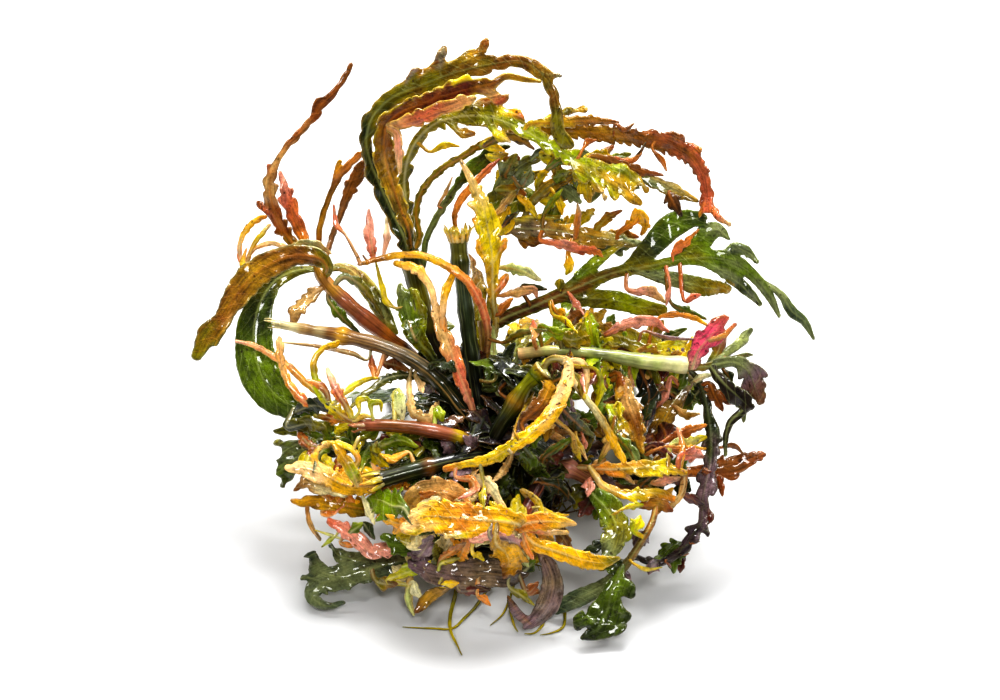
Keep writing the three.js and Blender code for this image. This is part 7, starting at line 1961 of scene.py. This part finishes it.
def softbox(name, place, size, power):
    light = bpy.data.lights.new(name, "AREA")
    light.shape = "RECTANGLE"
    light.size, light.size_y = size
    light.energy = power
    lamp = new_object(name, light)
    lamp.location = place
    lamp.rotation_euler = (Vector(HUB * MM) - Vector(place)).to_track_quat("-Z", "Y").to_euler()


def build_stage():
    stage = bpy.context.scene.clump_stage
    mesh = bpy.data.meshes.new("floor")
    half = stage.floor_size / 2
    corners = [(-half, -half, 0), (half, -half, 0), (half, half, 0), (-half, half, 0)]
    mesh.from_pydata(corners, [], [(0, 1, 2, 3)])
    new_object("floor", mesh)
    nodes, spot = new_finish("floor_paint")
    tone = nodes.ramp(nodes.noise(spot, 60.0), (0.3, 0.99), (0.7, 1.0))
    base = nodes.mix(tone, (0.9, 0.9, 0.9), tuple(stage.floor_colour))
    shader = nodes.add("ShaderNodeBsdfPrincipled", {}, Base_Color=base, Roughness=0.8)
    nodes.add("ShaderNodeOutputMaterial", {}, shader)
    mesh.materials.append(bpy.data.materials["floor_paint"])

    sun = bpy.data.lights.new("sun", "SUN")
    sun.energy = stage.sun
    sun.angle = np.radians(SUN_WIDTH)
    new_object("sun", sun).rotation_euler = Vector(SUN_FROM).to_track_quat("Z", "Y").to_euler()
    for name, place, size, power in SOFTBOXES:
        softbox(name, place, size, getattr(stage, power))

    world = bpy.data.worlds.new("air")
    bpy.context.scene.world = world
    world.use_nodes = True
    sky = Nodes(world.node_tree)
    shine = sky.add("ShaderNodeBackground", {}, (1, 1, 1, 1), stage.air)
    sky.add("ShaderNodeOutputWorld", {}, shine)

    eye = bpy.data.cameras.new("camera")
    eye.sensor_width = SENSOR
    eye.lens = SENSOR * EYE[2] / VIEW_WIDTH
    eye.clip_start = 0.01
    camera = new_object("camera", eye)
    stand = (HUB + RIGHT * EYE[0] + UP * EYE[1] + NEAR * EYE[2]) * MM
    turn = Matrix((RIGHT, UP, NEAR)).transposed().to_4x4()
    camera.matrix_world = Matrix.Translation(stand) @ turn
    bpy.context.scene.camera = camera
    bpy.context.scene.view_settings.view_transform = "Standard"
    bpy.context.scene.view_settings.look = "High Contrast"


# Operators, panel and running


class MakeRootCrown(bpy.types.Operator):
    """Make the crown of matted roots"""

    bl_idname = "clump.root_crown"
    bl_label = "Root crown"

    def execute(self, context):
        build_crown()
        return {"FINISHED"}


class MakeStems(bpy.types.Operator):
    """Make the ridged stems and their torn or open ends"""

    bl_idname = "clump.stems"
    bl_label = "Stems"

    def execute(self, context):
        build_stems()
        return {"FINISHED"}


class MakeRootlets(bpy.types.Operator):
    """Make the rootlets of the crown and the roots on the surface"""

    bl_idname = "clump.rootlets"
    bl_label = "Rootlets"

    def execute(self, context):
        build_rootlets(context.scene.clump_sizes.rootlets)
        return {"FINISHED"}


class MakeCrownLeaves(bpy.types.Operator):
    """Scatter small dark leaves on the crown"""

    bl_idname = "clump.crown_leaves"
    bl_label = "Crown leaves"

    def execute(self, context):
        build_crown_leaves(context.scene.clump_sizes.crown_leaves)
        return {"FINISHED"}


class MakeUpperLeaves(bpy.types.Operator):
    """Make the arching leaves at the top"""

    bl_idname = "clump.upper_leaves"
    bl_label = "Upper leaves"

    def execute(self, context):
        build_leaves(UPPER_LEAVES)
        return {"FINISHED"}


class MakeLeftLeaves(bpy.types.Operator):
    """Make the leaves on the left"""

    bl_idname = "clump.left_leaves"
    bl_label = "Left leaves"

    def execute(self, context):
        build_leaves(LEFT_LEAVES)
        return {"FINISHED"}


class MakeFrontLeaves(bpy.types.Operator):
    """Make the leaves in front"""

    bl_idname = "clump.front_leaves"
    bl_label = "Front leaves"

    def execute(self, context):
        build_leaves(FRONT_LEAVES)
        return {"FINISHED"}


class MakeRightLeaves(bpy.types.Operator):
    """Make the leaves on the right"""

    bl_idname = "clump.right_leaves"
    bl_label = "Right leaves"

    def execute(self, context):
        build_leaves(RIGHT_LEAVES)
        return {"FINISHED"}


class MakeMiddleLeaves(bpy.types.Operator):
    """Make the leaves over the hub"""

    bl_idname = "clump.middle_leaves"
    bl_label = "Middle leaves"

    def execute(self, context):
        build_leaves(MIDDLE_LEAVES)
        return {"FINISHED"}


class MakeBackLeaves(bpy.types.Operator):
    """Make the leaves at the back, which the picture doesn't show"""

    bl_idname = "clump.back_leaves"
    bl_label = "Back leaves"

    def execute(self, context):
        build_leaves(BACK_LEAVES)
        build_rear_leaves()
        return {"FINISHED"}


class MakeSmallLeaves(bpy.types.Operator):
    """Make the small leaves and twigs between the large ones"""

    bl_idname = "clump.small_leaves"
    bl_label = "Small leaves"

    def execute(self, context):
        build_small_leaves("small_upper_leaves", "leaf_brown", SMALL_UPPER_LEAVES)
        build_small_leaves("small_upper_left_leaves", "leaf_orange", SMALL_UPPER_LEFT_LEAVES)
        build_small_leaves("small_left_leaves", "leaf_yellow", SMALL_LEFT_LEAVES)
        build_small_leaves("small_centre_leaves", "leaf_brown", SMALL_CENTRE_LEAVES)
        build_small_leaves("small_right_leaves", "leaf_brown", SMALL_RIGHT_LEAVES)
        build_small_leaves("small_front_leaves", "leaf_yellow", SMALL_FRONT_LEAVES)
        for seed, row in enumerate(SIDE_LEAVES, 70):
            build_side_leaves(seed, *row)
        return {"FINISHED"}


class MakeInnerLeaves(bpy.types.Operator):
    """Make the leaves inside the clump, painted dark for its shade"""

    bl_idname = "clump.inner_leaves"
    bl_label = "Inner leaves"

    def execute(self, context):
        build_inner_leaves(context.scene.clump_sizes.inner_leaves)
        return {"FINISHED"}


class MakeStage(bpy.types.Operator):
    """Make the floor, the studio light and the camera"""

    bl_idname = "clump.stage"
    bl_label = "Stage"

    def execute(self, context):
        build_stage()
        return {"FINISHED"}


MAKERS = (
    MakeStage, MakeRootCrown, MakeStems, MakeRootlets, MakeCrownLeaves, MakeUpperLeaves,
    MakeLeftLeaves, MakeFrontLeaves, MakeRightLeaves, MakeMiddleLeaves, MakeBackLeaves,
    MakeSmallLeaves, MakeInnerLeaves,
)
SETTINGS = (
    ("clump_colours", ClumpColours), ("clump_sizes", ClumpSizes), ("clump_stage", StageSettings),
)


class ClumpPanel(bpy.types.Panel):
    """The clump's pieces and settings"""

    bl_idname = "VIEW3D_PT_clump"
    bl_label = "Hygrophila clump"
    bl_space_type = "VIEW_3D"
    bl_region_type = "UI"
    bl_category = "Clump"

    def draw(self, context):
        for maker in MAKERS:
            self.layout.operator(maker.bl_idname)
        for name, group in SETTINGS:
            box = self.layout.box()
            for key in group.__annotations__:
                box.prop(getattr(context.scene, name), key)


def register():
    for made in (*(group for _, group in SETTINGS), *MAKERS, ClumpPanel):
        bpy.utils.register_class(made)
    for name, group in SETTINGS:
        setattr(bpy.types.Scene, name, bpy.props.PointerProperty(type=group))


def unregister():
    for name, _ in SETTINGS:
        delattr(bpy.types.Scene, name)
    for made in (ClumpPanel, *MAKERS, *(group for _, group in SETTINGS)):
        bpy.utils.unregister_class(made)


def main():
    register()
    for maker in MAKERS:
        family, name = maker.bl_idname.split(".")
        getattr(getattr(bpy.ops, family), name)()
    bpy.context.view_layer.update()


if __name__ == "__main__":
    main()
